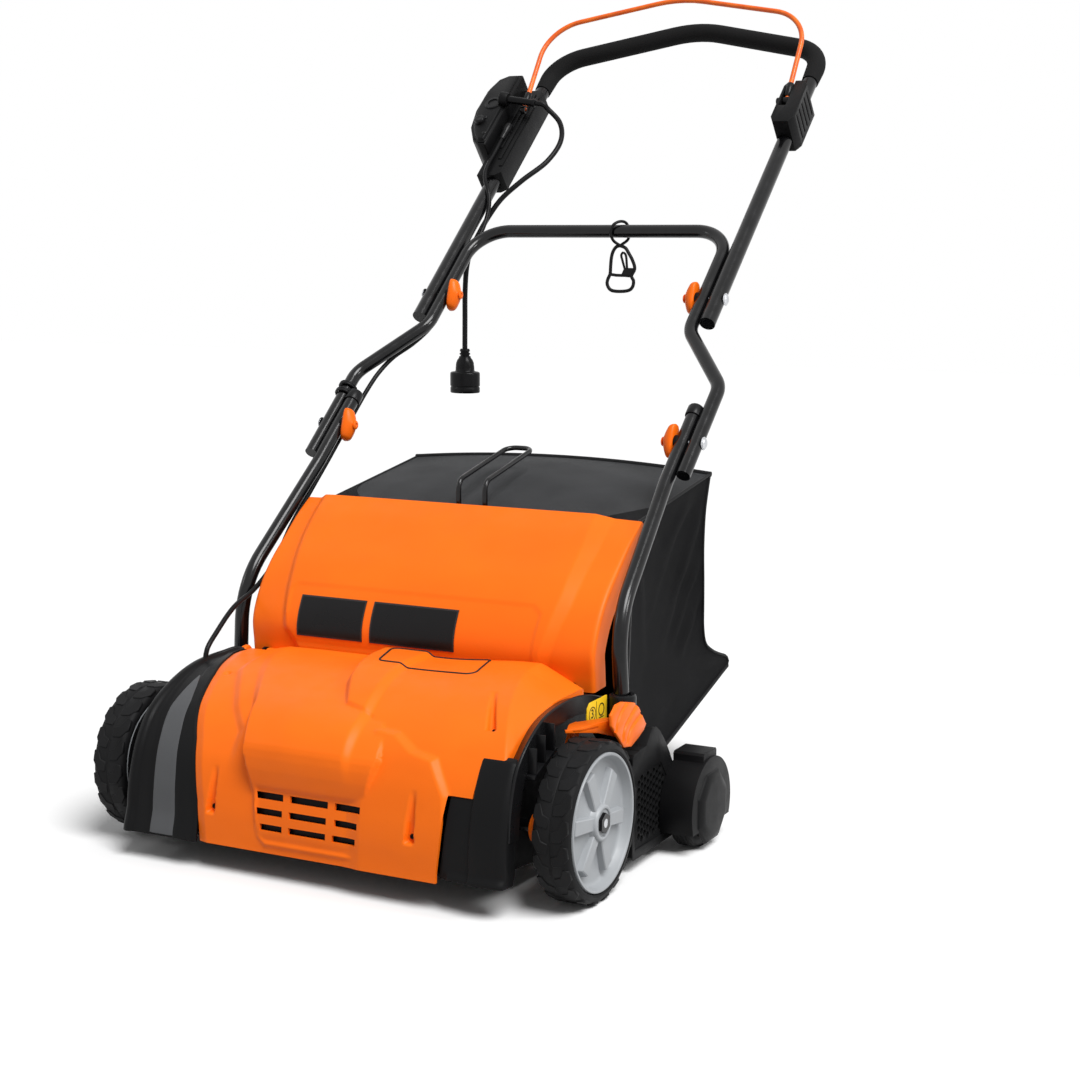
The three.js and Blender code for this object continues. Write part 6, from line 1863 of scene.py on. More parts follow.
@dataclass
class SideHousing:
    """The black housing outboard of the deck, with its honeycomb field and wheel cover."""

    side: Side
    inner_x: float = 280.3
    outer_x: float = 338.0
    outline: Outline = (
        (108, 22), (108, 150), (112, 156), (150, 158), (160, 170), (168, 177), (180, 176), (192, 168), (206, 154),
        (220, 137), (234, 117), (250, 97), (280, 72), (280, 40), (268, 28), (232, 17), (113, 17),
    )
    pitch: tuple[float, float] = (9.2, 9.9)
    cell: float = 4.8
    comb_rim: float = 5.8
    comb: Outline = ((116, 30), (116, 118), (150, 128), (196, 126), (214, 104), (236, 62), (226, 40), (200, 28))
    hollow: Outline = (
        (113, 27), (113, 140), (196, 140), (214, 126), (228, 108), (244, 90), (275, 67), (275, 45), (265, 33),
        (231, 22), (117, 22),
    )
    axle: tuple[float, float] = (260.0, 56.0)
    tube_at: tuple[float, float] = (298.0, 163.0)

    def __post_init__(self) -> None:
        """Works out which way is outwards and where the handle's tube stands."""
        self.sign, self.name = self.side.sign, self.side.value
        self.place = side_place(self.sign)
        self.tube = (self.sign * self.tube_at[0], self.tube_at[1])

    def shell(self) -> None:
        """The hollow housing with a shallow field for the honeycomb."""
        body = Draft(f"housing_shell_{self.name}").prism(self.outline, self.place, self.inner_x, self.outer_x).draw()
        inner = Draft("cut_hollow").prism(self.hollow, self.place, self.inner_x - 5, self.outer_x - 5)
        recess = Draft("cut_field").prism(self.comb, self.place, self.outer_x - 1.2, self.outer_x + 5)
        socket = Draft("cut_socket").lathe([(0, 17.2), (70, 17.2)], (*self.tube, 157), (0, 0, 1), 32)
        knob = Draft("cut_knob").prism([(40, 150), (40, 260), (150, 260), (146, 180), (128, 156)], self.place, 316, 360)
        cells = Draft("cut_cells")
        for y, z in self.cells():
            cells.prism(disc_points(self.cell, 6, y, z), self.place, self.outer_x - 4.6, self.outer_x + 2)
        cut(body, [draft.draw() for draft in (inner, recess, socket, knob, cells)])
        dress(body, "chassis", BLACK, [f"side_housing_{self.name}"], bevel=0.7, smooth=34)

    def cells(self) -> Route:
        """The middles of the honeycomb's cells, inside its field.

        Returns:
            The middles in (y, z).
        """
        found = []
        for column in range(14):
            for row in range(11):
                y, z = 112 + column * self.pitch[0], 34 + (row + 0.5 * (column % 2)) * self.pitch[1]
                if float(edge_distance(np.array(y), np.array(z), self.comb)) > self.comb_rim:
                    found.append((y, z))
        return found

    def honeycomb(self) -> None:
        """Painted shade: near-black discs on the floors of the honeycomb's pits."""
        floors = [(self.sign * (self.outer_x - 4.5), y, z) for y, z in self.cells()]
        # Painted shade: the pit floors are darker than the housing's own black.
        pit_shade_discs = Stud(5.0, 0.4, 6, (0, 90, 0)).lay(f"comb_pit_shade_discs_{self.name}", floors, PIT_SHADE)
        dress(pit_shade_discs, "chassis", PIT_SHADE, smooth=30)

    def wheel_cover(self) -> None:
        """The cup over the rear wheel: round wall, top tab and eight-sided bulge."""
        y0, z0 = self.axle

        def arc(radius: float, first: int, last: int) -> Route:
            """Points round the axle from one angle to another, in steps of five degrees."""
            turns = [math.radians(degrees) for degrees in range(first, last, 5)]
            return [(y0 + radius * math.cos(t), z0 + radius * math.sin(t)) for t in turns]

        outline = arc(66, -22, 203) + [(y0 - 62, z0 - 25.2), (y0 + 62, z0 - 25.2)]
        body = Draft(f"wheel_cover_{self.name}").prism(outline, self.place, 337, 383).draw()
        tab = [(238, 100), (238, 127), (241, 130), (279, 130), (282, 127), (282, 100)]
        cut(body, [Draft("join_tab").prism(tab, self.place, 337, 380).draw()], "UNION")
        inner = arc(61, -32, 213) + [(y0 - 52, -20), (y0 + 52, -20)]
        cut(body, [Draft("cut_cup").prism(inner, self.place, 341, 378.6).draw()])
        dress(body, "chassis", BLACK, bevel=2.0, segments=3, smooth=34)
        steps = ((380, 51), (382.4, 51), (384.6, 49.0), (387.2, 44.0), (388.6, 39.0), (389.0, 35.5))
        eighth = math.radians(22.5)
        rings = [[self.place(y, z, deep) for y, z in disc_points(size, 8, y0, z0, eighth)] for deep, size in steps]
        obj = Draft(f"cover_bulge_{self.name}").rings(rings).draw()
        dress(obj, "chassis", BLACK, bevel=0.8, smooth=30)

    def socket(self) -> None:
        """The collar that holds the handle's lower tube."""
        profile = [(0, 12), (0, 16.4), (1, 17.6), (50, 18), (56, 18), (59, 17), (60, 15.6), (60, 11)]
        obj = Draft(f"tube_collar_{self.name}").lathe(profile, (*self.tube, 158), (0, 0, 1), 40, True).draw()
        dress(obj, "chassis", BLACK_SATIN, smooth=35)
        foot = [(136, 152), (136, 170), (144, 182), (182, 182), (190, 170), (190, 152)]
        block = Draft(f"collar_foot_{self.name}").prism(foot, self.place, 284, 314).draw()
        cut(block, [Draft("cut_bore").lathe([(0, 12.5), (60, 12.5)], (*self.tube, 140), (0, 0, 1), 32).draw()])
        dress(block, "chassis", BLACK, bevel=1.2)

    def build(self) -> None:
        """Makes the housing."""
        self.shell()
        self.honeycomb()
        self.wheel_cover()
        self.socket()


@dataclass
class RightCorner:
    """The stepped black panels beside the right front wheel and the fender over it."""

    rim: Outline = (
        (-113, 96), (-110, 124), (-103, 152), (-92, 178), (-74, 197), (-51, 213), (-22, 226), (19, 233), (56, 234),
        (81, 232), (119, 224), (158, 211), (185, 199),
    )
    rib_feet: Outline = ((-66, 200), (-44, 211), (-20, 220))
    edge: Outline = (
        (231.2, 13), (231.2, 1.8), (233.0, 0), (269, 0), (275, 1.7), (279, 5), (280.2, 9), (280.2, 27), (276, 27),
        (276, 13)
    )

    def flare(self, t: Numbers) -> np.ndarray:
        """How far the panels' bottoms stand out forwards."""
        return 5.0 * (1 - slope(t, 9, 17))

    def make_panels(self, cover: FrontCover) -> None:
        """The flat inner panel, then the outer one with its rounded edge.

        Args:
            cover: the front cover, whose arch they follow.
        """
        rows = np.linspace(6, 112, 54)
        low = np.interp(rows, [11, 41, 102], [190.4, 193.9, 199.0])[:, None]
        x = low + (234 - low) * np.linspace(0, 1, 24)[None, :]
        t = rows[:, None] + 0 * x
        proud = np.interp(t, [0, 104, 112], [1.5, 8.0, 6.0]) - 1.5 * (1 - slope(x - low, 0, 1.5))
        grid = cover.arch.at(x, t, proud)
        grid[..., 1] -= self.flare(t) * slope(x, 196, 204)
        inner = Draft("corner_inner").sheet(grid).draw(recalculate=False)
        face_out(inner, cover.inside)
        dress(inner, "chassis", BLACK, ["right_corner_cover"], thick=3.0, smooth=40)
        across, deep = np.array(self.edge).T
        rings = []
        for t in np.linspace(6, 156, 76):
            proud = np.interp(t, [0, 30, 104, 149, 157], [6.0, 7.5, 12.0, 14.4, 10.0])
            points = cover.arch.at(across, np.full(len(across), t), proud - deep)
            points[:, 1] -= self.flare(t)
            rings.append([tuple(p) for p in points])
        outer = Draft("corner_outer").rings(rings).draw()
        dress(outer, "chassis", BLACK, bevel=0.6, smooth=40)

    def make_fender(self) -> None:
        """The arched strip with its raised lip, and the small ribs under it."""
        line = np.array(smooth_route([(0, y, z) for y, z in self.rim], 5.0))[:, 1:]
        run = np.gradient(line, axis=0)
        away = np.stack([-run[:, 1], run[:, 0]], axis=1) / np.hypot(run[:, 0], run[:, 1])[:, None]
        shares = np.linspace(0, 1, len(line))
        dips = np.interp(shares, [0, 0.12, 0.3, 0.5, 0.65, 1], [3, 9, 15, 9, 6, 5])
        rings = []
        for place, normal, dip in zip(line, away, dips):
            ring = (
                (262, dip + 12), (262, dip), (275.5, 2.6), (278.4, 0), (280.4, 0), (281.4, 1.2), (281.4, 24),
                (277, 24), (277, dip + 12),
            )
            rings.append([(x, *(place - normal * depth)) for x, depth in ring])
        dress(Draft("fender_strip").rings(rings).draw(), "chassis", BLACK_SATIN, smooth=36)
        ribs = Draft("fender_ribs")
        for y, z in self.rib_feet:
            ribs.prism([(y, z - 34), (y, z), (y + 2.4, z), (y + 2.4, z - 34)], side_place(1.0), 277, 293)
        ribs.prism([(-70, 163), (-70, 167), (-12, 190), (-12, 186)], side_place(1.0), 277, 293)
        dress(ribs.draw(), "chassis", BLACK_SATIN, bevel=0.5)

    def build(self) -> None:
        """Makes the panels and the fender."""
        self.make_panels(FrontCover())
        self.make_fender()


# ---------------------------------------------------------------- depth setting


@dataclass
class DepthSetting:
    """The crank's orange lever with its fluted knob, and the numbered yellow plate."""

    knob_face: Outline = (
        (33, 224), (47, 234), (65, 234), (102, 225), (115, 216), (137, 190), (131, 184), (113, 177), (92, 171),
        (70, 175), (57, 188), (34, 210)
    )
    knob_back: Outline = (
        (80, 211), (94, 219), (102, 221), (108, 220), (118, 213), (136, 190), (131, 184), (116, 179), (108, 176),
        (103, 180), (94, 187), (82, 198)
    )
    arm: Outline = ((-56, 106), (-42, 88), (24, 140), (58, 190), (58, 204), (40, 205), (14, 160))
    shelf: Outline = (
        (287, 30), (297, 5), (303, 10), (311, 18), (321, 44), (332, 72), (330, 92), (312, 84), (287, 44)
    )
    strip: tuple[tuple[float, ...], ...] = (
        (296, 4, 206.6, 4, 203.0), (303, 10, 207.4, 10, 202.6), (311, 18, 208.4, 18, 202.0),
        (321, 44, 209.4, 44, 197.0), (333, 70, 210.0, 68, 188.0),
    )
    film: Outline = ((92, 184), (92, 211), (99, 218), (150, 218), (150, 184))
    dial: tuple[float, float] = (107.0, 202.0)
    level: tuple[float, float] = (133.0, 203.0)
    flutes: tuple[Outline, ...] = (
        ((46, 200), (50, 212), (62, 223), (80, 232)), ((66, 184), (70, 198), (86, 210), (108, 222)),
        ((78, 178), (86, 192), (104, 202), (128, 208)),
    )

    def lever(self) -> None:
        """The arm, the thin plate over the tyre and the big fluted knob."""
        face = np.array(self.knob_face, float)
        middle = face.mean(axis=0)
        rings = [[(318.0, *p) for p in self.knob_back], [(340.6, *p) for p in face]]
        for depth, size in ((343.2, 0.985), (344.0, 0.94)):
            rings.append([(depth, *p) for p in middle + (face - middle) * size])
        knob = Draft("lever_knob").rings(rings).draw()
        routes = [smooth_route([(345.2, y, z) for y, z in line], 4.0) for line in self.flutes]
        cut(knob, [Draft("cut_flute").tube(route, 4.2, 16).draw() for route in routes])
        dress(knob, "front_axle", ORANGE_KNOB, ["depth_lever"], bevel=1.2, segments=3, smooth=40)
        arm = Draft("lever_arm").prism(self.arm, side_place(1.0), 283.2, 288.8)
        boss = [(0, 6), (0, 18.2), (0.8, 19), (5.2, 19), (6, 18.2), (6, 6)]
        arm.lathe(boss, (283, -50, 100), (1, 0, 0), 40, True)
        arm.prism(self.shelf, lambda x, y, z: (x, y, z), 203.4, 206.6)
        strip = []
        for x, y, top, far, low in self.strip:
            upper, lower = (x, y, top), (x, far, low)
            strip.append([upper, lower, (x - 2.6, far + 2.2, low), (x - 2.6, y + 2.2, top)])
        arm.rings(strip)
        dress(arm.draw(), "front_axle", ORANGE_KNOB, bevel=0.7, smooth=35)

    def plate(self) -> None:
        """The yellow plate with a ring for the number, a level ring and plain lines."""
        base = Draft("depth_plate_film").prism(self.film, side_place(1.0), 280.4, 282.3).draw()
        dress(base, "chassis", YELLOW, ["depth_plate"], bevel=0.4)
        low, high = 282.2, 282.7
        for name, centre, outer, inner in (("dial_ring", self.dial, 9.5, 8.6), ("level_ring", self.level, 8.4, 6.9)):
            edges = ((low, outer), (high, outer), (high, inner), (low, inner))
            rings = [[(x, *p) for p in disc_points(radius, 36, *centre)] for x, radius in edges]
            dress(Draft(name).rings(rings, closed=True).draw(), "chassis", INK)
        marks = Draft("dial_marks")
        for y, z, wide, tall in ((118.4, 187, 0.8, 29), (126, 189.0, 14, 1.2), (126, 192.4, 14, 1.2)):
            mark = [(y, z), (y + wide, z), (y + wide, z + tall), (y, z + tall)]
            marks.prism(mark, side_place(1.0), low, high - 0.1)
        dress(marks.draw(), "chassis", INK)
        self.number()

    def number(self) -> None:
        """The generic number in the plate's ring."""
        data = bpy.data.curves.new("dial_number", "FONT")
        data.body = "3"
        data.size = 16.5 * MM
        data.extrude = 0.2 * MM
        data.align_x = data.align_y = "CENTER"
        text = linked("dial_number", data)
        mesh = evaluated(text)
        bpy.data.objects.remove(text)
        turn = Matrix(((0, 0, 1, 0), (1, 0, 0, 0), (0, 1, 0, 0), (0, 0, 0, 1)))
        mesh.transform(Matrix.Translation(row_point((282.5, *self.dial))) @ turn)
        dress(linked("dial_number_print", mesh), "chassis", INK)

    def build(self) -> None:
        """Makes the lever and the plate."""
        self.lever()
        self.plate()


# ---------------------------------------------------------------- grass bag


@dataclass
class GrassBag:
    """The fabric catcher: coated top, net body, piped seams and wire frame."""

    half_width: float = 247.0
    brow: Point = (307.4, 413.2)
    crest: Point = (570.6, 452.3)
    back: Outline = (
        (570.6, 452.3), (562, 428), (554, 402), (550, 370), (549, 340), (551, 300), (552, 262), (553, 228),
        (562, 204), (588, 188), (620, 176), (642, 169), (651, 163), (653.3, 157.4), (649, 152),
    )
    belly: Outline = ((649, 152), (531, 117), (412.7, 82.1), (345, 64), (277.3, 46))
    spans: int = 36
    rises: int = 44
    across: int = 60
    wire: float = 3.0
    folds: tuple[tuple[float, ...], ...] = (
        (566, 440, 452, 262, 3.6, 9), (556, 398, 415, 205, 3.2, 11), (552, 345, 452, 196, 3.0, 8),
        (552, 288, 486, 188, 3.4, 8), (556, 226, 606, 180, 3.4, 9), (540, 446, 392, 330, 2.6, 13),
        (330, 392, 372, 190, 2.4, 14), (640, 166, 520, 168, 2.8, 9), (500, 432, 360, 240, 2.0, 12),
        (470, 150, 330, 96, 2.2, 11),
    )

    @staticmethod
    def resampled(points: Sequence[Point], count: int) -> np.ndarray:
        """A smooth line through the points, with even steps.

        Args:
            points: the points in (y, z).
            count: how many steps.

        Returns:
            An array of the line's points.
        """
        line = np.array(smooth_route([(0, *p) for p in points], 4.0))[:, 1:]
        steps = np.concatenate([[0], np.cumsum(np.hypot(*np.diff(line, axis=0).T))])
        at = np.linspace(0, steps[-1], count + 1)
        return np.stack([np.interp(at, steps, line[:, 0]), np.interp(at, steps, line[:, 1])], axis=1)

    def top_line(self, share: float) -> np.ndarray:
        """The coated top in (y, z) at a share of the half width.

        Args:
            share: how far to the side, as a share of the half width.

        Returns:
            An array of points in (y, z).
        """
        s = np.linspace(0, 1, self.spans + 1)[:, None]
        line = np.array(self.brow) + (np.array(self.crest) - np.array(self.brow)) * s
        crown = 1 - share * share
        line[:, 1] += (21.0 * np.sin(math.pi * s[:, 0] * 0.86) + 3.0 * s[:, 0]) * crown
        return line

    def back_line(self, share: float) -> np.ndarray:
        """The sagging back, which starts where the top ends.

        Args:
            share: how far to the side, as a share of the half width.

        Returns:
            An array of points in (y, z).
        """
        line = self.resampled(self.back, self.rises)
        s = np.linspace(0, 1, self.rises + 1)
        crown = 1 - share * share
        line[:, 0] -= 9.0 * np.sin(math.pi * s) * crown
        line[:, 1] += (self.top_line(share)[-1, 1] - self.crest[1]) * (1 - s) ** 2
        return line

    def belly_line(self, share: float) -> np.ndarray:
        """The sagging underside, back to the foot of the mouth.

        Args:
            share: how far to the side, as a share of the half width.

        Returns:
            An array of points in (y, z).
        """
        line = self.resampled(self.belly, self.spans)
        line[:, 1] -= 4.0 * np.sin(math.pi * np.linspace(0, 1, self.spans + 1)) * (1 - share**4)
        return line

    def fold(self, y: np.ndarray, z: np.ndarray) -> np.ndarray:
        """How far the side cloth stands out in its slack folds.

        Args:
            y: the places' distances along the machine.
            z: their heights.

        Returns:
            An array of millimetres.
        """
        total = 1.1 * np.sin(y * 0.05 + z * 0.03) * np.sin(z * 0.045 - y * 0.02 + 1.3)
        for y0, z0, y1, z1, height, wide in self.folds:
            run = np.array([y1 - y0, z1 - z0])
            share = np.clip(((y - y0) * run[0] + (z - z0) * run[1]) / (run @ run), 0, 1)
            aside = ((y - y0) * -run[1] + (z - z0) * run[0]) / np.hypot(*run)
            gap = np.hypot(y - y0 - share * run[0], z - z0 - share * run[1])
            crest = np.exp(-((gap / wide) ** 2)) - 0.6 * np.exp(-(((aside - 1.5 * wide) / wide) ** 2))
            total = total + height * crest * np.sin(math.pi * np.clip(0.08 + share, 0, 1)) ** 0.6
        return total

    def side_grid(self) -> np.ndarray:
        """The right side panel between its four seams.

        Returns:
            An array of points, as rows by columns by three.
        """
        top, back, belly = self.top_line(1.0), self.back_line(1.0)[::-1], self.belly_line(1.0)[::-1]
        u, v = np.linspace(0, 1, self.spans + 1)[None, :, None], np.linspace(0, 1, self.rises + 1)[:, None, None]
        front = belly[0] + (top[0] - belly[0]) * v[:, 0]
        flat = (1 - v) * belly[None] + v * top[None] + (1 - u) * front[:, None] + u * back[:, None]
        flat = flat - (1 - u) * (1 - v) * belly[0] - u * (1 - v) * belly[-1] - (1 - u) * v * top[0] - u * v * top[-1]
        seam = (np.sin(math.pi * u) * np.sin(math.pi * v))[..., 0]
        y, z = flat[..., 0], flat[..., 1]
        x = self.half_width - 13.0 * seam**0.6 + self.fold(y, z) * np.clip(seam * 7, 0, 1)
        return np.stack([np.minimum(x, self.half_width + 3), y, z], axis=-1)

    def make_cloth(self) -> None:
        """The coated top, and the net back, underside and sides."""
        shares = np.linspace(-1, 1, self.across + 1)
        lofts = []
        for line in (self.top_line, self.back_line, self.belly_line):
            rows = [np.insert(line(float(s)), 0, s * self.half_width, axis=1) for s in shares]
            lofts.append(np.array(rows))
        slack = np.clip((1 - np.abs(shares)) * 10, 0, 1)[:, None]
        for loft in lofts[1:]:
            x, y, z = loft[..., 0], loft[..., 1], loft[..., 2]
            quiet = slack * np.sin(math.pi * np.linspace(0, 1, loft.shape[1]))[None, :]
            loft[..., 1] += 2.4 * np.sin(x * 0.031 + z * 0.05) * np.sin(z * 0.034 + 0.6) * quiet
        x, y = lofts[0][..., 0], lofts[0][..., 1]
        quiet = slack * np.sin(math.pi * np.linspace(0, 1, self.spans + 1))[None, :]
        lofts[0][..., 2] += 1.6 * np.sin(x * 0.026 + y * 0.02) * np.sin(y * 0.045 - x * 0.008) * quiet
        top = Draft("bag_top").sheet(lofts[0])
        net = Draft("bag_net").sheet(lofts[1]).sheet(lofts[2])
        right = self.side_grid()
        net.sheet(right).sheet(right * np.array([-1, 1, 1]))
        for draft, finish, node, thick in ((top, CLOTH, [], 1.1), (net, NET, ["bag_fabric"], 0.9)):
            obj = draft.draw()
            self.lay_map(obj)
            dress(obj, "grass_bag", finish, node, thick=thick, smooth=70)
        self.make_trim()

    def make_trim(self) -> None:
        """The black corner bands over the front of the coated top."""
        trim = Draft("bag_trim")
        rows = np.linspace(0, 0.36, 16)
        for sign in (-1, 1):
            grid = []
            for s in rows:
                inner = 0.985 - 0.27 * (1 - s / 0.36) ** 1.6
                band = []
                for share in np.linspace(inner, 1.0, 7):
                    line = self.top_line(float(share))
                    place = s * self.spans
                    y, z = (np.interp(place, np.arange(self.spans + 1), line[:, i]) for i in (0, 1))
                    band.append((sign * share * self.half_width, y, z + 1.6))
                grid.append(band)
            trim.sheet(np.array(grid))
        obj = trim.draw()
        self.lay_map(obj)
        dress(obj, "grass_bag", NET, thick=1.0, smooth=70)

    def lay_map(self, obj: bpy.types.Object) -> None:
        """Gives the cloth a map in millimetres along its own directions.

        Args:
            obj: the piece of cloth.
        """
        layer = obj.data.uv_layers.new(name="cloth")
        for polygon in obj.data.polygons:
            n = polygon.normal
            for loop in polygon.loop_indices:
                p = obj.data.vertices[obj.data.loops[loop].vertex_index].co / MM
                if abs(n.x) > 0.7:
                    layer.data[loop].uv = (p.y, p.z)
                elif abs(n.z) > abs(n.y):
                    layer.data[loop].uv = (p.x, p.y)
                else:
                    layer.data[loop].uv = (p.x, p.z)

    def make_piping(self) -> None:
        """The corded seams along both side edges, and across the bag at the top and the foot of its back."""
        draft = Draft("bag_piping")
        for sign in (-1, 1):
            for line, radius in ((self.top_line(1.0), 2.2), (self.back_line(1.0), 2.0), (self.belly_line(1.0), 3.0)):
                draft.tube([(sign * self.half_width, *p) for p in line], radius, 12)
        shares = np.linspace(-1.008, 1.008, self.across + 1)
        for line, radius in ((self.top_line, 4.0), (self.back_line, 3.0)):
            draft.tube([(s * self.half_width, *line(float(np.clip(s, -1, 1)))[-1]) for s in shares], radius, 14)
        dress(draft.draw(), "grass_bag", PIPING, smooth=60)

    def make_frame(self) -> None:
        """The wire frame round the mouth, and the lifting handle."""

        def mouth(x: float, share: float) -> Point:
            """A place on the mouth's edge, from its foot to its top."""
            return (x, 274 + 30 * share, 46 + 370 * share)

        half = self.half_width
        corners = [mouth(x, s) for x, s in ((-half, 0), (-half, 1), (half, 1), (half, 0))]
        route = rounded([mouth(-0.6, 0)] + corners + [mouth(0.6, 0)], (40, 40, 40, 40))
        wire = Draft("bag_wire").tube(route, self.wire, 16)
        dress(wire.draw(), "grass_bag", PAINT, ["bag_frame"], smooth=60)
        left = [(-21, 304, 419.3), (-21, 304, 458), (-21, 450, 490)]
        handle = rounded(left + [(-x, y, z) for x, y, z in left[::-1]], (16, 16, 16, 16))
        loop = Draft("bag_lift_wire").tube(handle, self.wire + 0.6, 18)
        dress(loop.draw(), "grass_bag", PAINT, ["bag_handle"], smooth=60)

    def build(self) -> None:
        """Makes the bag."""
        self.make_cloth()
        self.make_piping()
        self.make_frame()


# ---------------------------------------------------------------- controls


@dataclass
class Controls:
    """The switch box, the bail with its bracket, the lock button, cables and cord hook.

    Most of them are drawn in the handle's own lengths: x, along and above its plane.
    """

    lead_radius: float = 3.5
    bore: float = 12.2
    bail_tilt: float = 15.0
    lower_lead: tuple[Point, ...] = (
        (-277.8, 406.9, 504.3), (-277.8, 361.9, 464.7), (-278.6, 316.8, 425), (-275, 262, 383), (-273, 215, 336),
        (-272, 165, 306), (-272, 115, 288), (-271, 75, 262), (-270, 50, 242), (-270, 45, 228.9),
    )
    middle_lead: tuple[Point, ...] = (
        (-231, 282, -17), (-227, 250, -17), (-226, 225, -16.5), (-240, 190, -16), (-262, 158, -16),
        (-273, 125, -16.5), (-277, 90, -17), (-277.8, 40, -17), (-277.8, 0.3, -17),
    )
    upper_lead: tuple[Point, ...] = (
        (-250, 655, 22.5), (-249, 610, 22.5), (-247, 553, 22.5), (-241, 533, 19), (-230, 514, 13.5), (-223.5, 495, 4),
        (-222, 474, -5), (-223, 450, -12), (-226, 425, -17), (-229, 390, -17.5), (-231, 330, -17), (-231, 282.6, -17),
    )
    pod: Outline = (
        (-262, 600), (-262, 783), (-284, 783), (-303, 772), (-315, 742), (-316, 690), (-308, 646), (-290, 612),
        (-276, 600)
    )
    crown: Outline = (
        (-266, 608), (-266, 775), (-284, 775), (-299, 765), (-308, 740), (-309, 690), (-302, 650), (-287, 620),
        (-277, 608)
    )
    clamp: Outline = ((-222, 556), (-222, 760), (-230, 768), (-264, 768), (-264, 548), (-232, 548))
    bracket: Outline = (
        (222, 652), (228, 640), (253, 640), (259.9, 652), (259.9, 728), (253, 740), (228, 740), (222, 728)
    )

    def __post_init__(self) -> None:
        """Works out which way lies up from the handle's plane."""
        self.up = handle_way(0, 0, 1)

    def bored(self, x: float, low: float, high: float) -> bpy.types.Object:
        """A cutter for the hole that the upper tube passes through."""
        return Draft("cut_bore").tube(handle_route([(x, low, 0), (x, high, 0)]), self.bore, 32).draw()

    def make_box(self) -> None:
        """The pod with its domed face, the clamp half and the cord socket."""
        pod = Draft("switch_pod").prism(self.pod, handle_point, -16, 40).draw()
        cut(pod, [Draft("join_crown").prism(self.crown, handle_point, 38, 46).draw()], "UNION")
        dress(pod, "upper_handle", BLACK, ["switch_box"], bevel=3.2, segments=3, smooth=40)
        clamp = Draft("box_clamp").prism(self.clamp, handle_point, -20, 17.5).draw()
        cut(clamp, [self.bored(-239.9, 500, 800)])
        dress(clamp, "upper_handle", BLACK, bevel=2.0, segments=3, smooth=40)
        ribs = Draft("clamp_ribs")
        for x, low, high in ((-258.5, 640, 752), (-249.5, 616, 756), (-240.5, 588, 756), (-231.5, 570, 748)):
            ribs.prism([(x, low), (x, high), (x + 6.6, high), (x + 6.6, low)], handle_point, 17, 19.4)
        dress(ribs.draw(), "upper_handle", BLACK, bevel=0.7, smooth=35)
        profile = [(0, 15), (3, 15), (4.4, 13.6), (4.6, 8.6), (2.6, 8), (2.6, 0)]
        boss = Draft("pod_boss").lathe(profile, handle_point(-284, 700, 44), self.up, 36)
        dress(boss.draw(), "upper_handle", BLACK_SATIN, smooth=40)
        head = [(0, 3.6), (1.0, 3.6), (1.5, 3.0), (1.5, 1.6), (0.6, 1.2), (0.6, 0)]
        screws = Draft("pod_screws")
        for place in ((-284, 662, 46.2), (-270, 622, 45.6)):
            screws.lathe(head, handle_point(*place), self.up, 20)
        dress(screws.draw(), "upper_handle", BLACK_SATIN, smooth=40)
        profile = [(0, 11), (1, 12), (12, 11.4), (14, 10.2), (14, 7)]
        gland = Draft("cord_gland").lathe(profile, handle_point(-270, 705.4, 50.8), handle_way(58, -4, -8), 32)
        dress(gland.draw(), "upper_handle", BLACK, smooth=40)

    def make_bail(self) -> None:
        """The orange bail wire with its black ferrules."""
        tilt = math.radians(self.bail_tilt)

        def swung(x: float, reach: float) -> Point:
            """A place on the tilted bail, by how far it reaches from the pivots."""
            return handle_point(x, 700 + reach * math.cos(tilt), 30 + reach * math.sin(tilt))

        corners = [(232, 0), (232, 167), (0, 217), (-232, 167), (-232, 0)]
        route = rounded([swung(*c) for c in corners], (72, 200, 72))
        wire = Draft("bail_wire").tube(route, 4.0, 20).draw()
        dress(wire, "bail", ORANGE_WIRE, ["bail"], smooth=60)
        eyes = Draft("bail_eyes")
        for sign in (-1, 1):
            eyes.lathe([(-4, 3.4), (-4, 7), (4, 7), (4, 3.4)], swung(sign * 232, 0), (1, 0, 0), 28, True)
        dress(eyes.draw(), "bail", BLACK_SATIN, bevel=0.5, smooth=40)
        sleeves = Draft("bail_ferrules")
        for sign in (-1, 1):
            start, end = Vector(swung(sign * 232, 8)), Vector(swung(sign * 232, 46))
            sleeves.lathe([(0, 4.2), (0.4, 5.6), (1.4, 6.2), (24, 6.2), (25, 5.6), (25.2, 4.2)], start, end - start, 24)
        dress(sleeves.draw(), "bail", BLACK_SATIN, smooth=40)

    def make_bracket(self) -> None:
        """The clamp that carries the bail's other end, with its grooved faces."""
        solid = Draft("bracket_block").prism(self.bracket, handle_point, -20, 39).draw()
        slot = [(226, 680), (226, 745), (238, 745), (238, 680)]
        cutters = [self.bored(239.9, 600, 800), Draft("cut_slot").prism(slot, handle_point, 18, 45).draw()]
        for s in range(660, 730, 14):
            groove = [(257, s), (257, s + 4), (264, s + 6), (264, s + 2)]
            cutters.append(Draft("cut_groove").prism(groove, handle_point, -12, 32).draw())
        cut(solid, cutters)
        dress(solid, "upper_handle", BLACK, ["bail_bracket"], bevel=2.0, segments=3, smooth=38)
        profile = [(0, 0), (0, 5.5), (1.6, 6.2), (5, 6.2), (6.2, 5.2), (6.4, 0)]
        pin = Draft("bracket_pin").lathe(profile, handle_point(222.4, 700, 30), (-1, 0, 0), 24)
        dress(pin.draw(), "upper_handle", BLACK_SATIN, smooth=40)

    def make_button(self) -> None:
        """The lock button with its dished crown."""
        profile = [(0, 7), (0, 8.8), (8, 8.8), (13, 8.8), (15, 8.2), (15.8, 7.0), (15.4, 4.0), (14.9, 0)]
        button = Draft("lock_cap").lathe(profile, handle_point(-289, 652, 38.2), self.up, 36)
        dress(button.draw(), "lock_button", BLACK_SATIN, ["lock_button"], smooth=45)

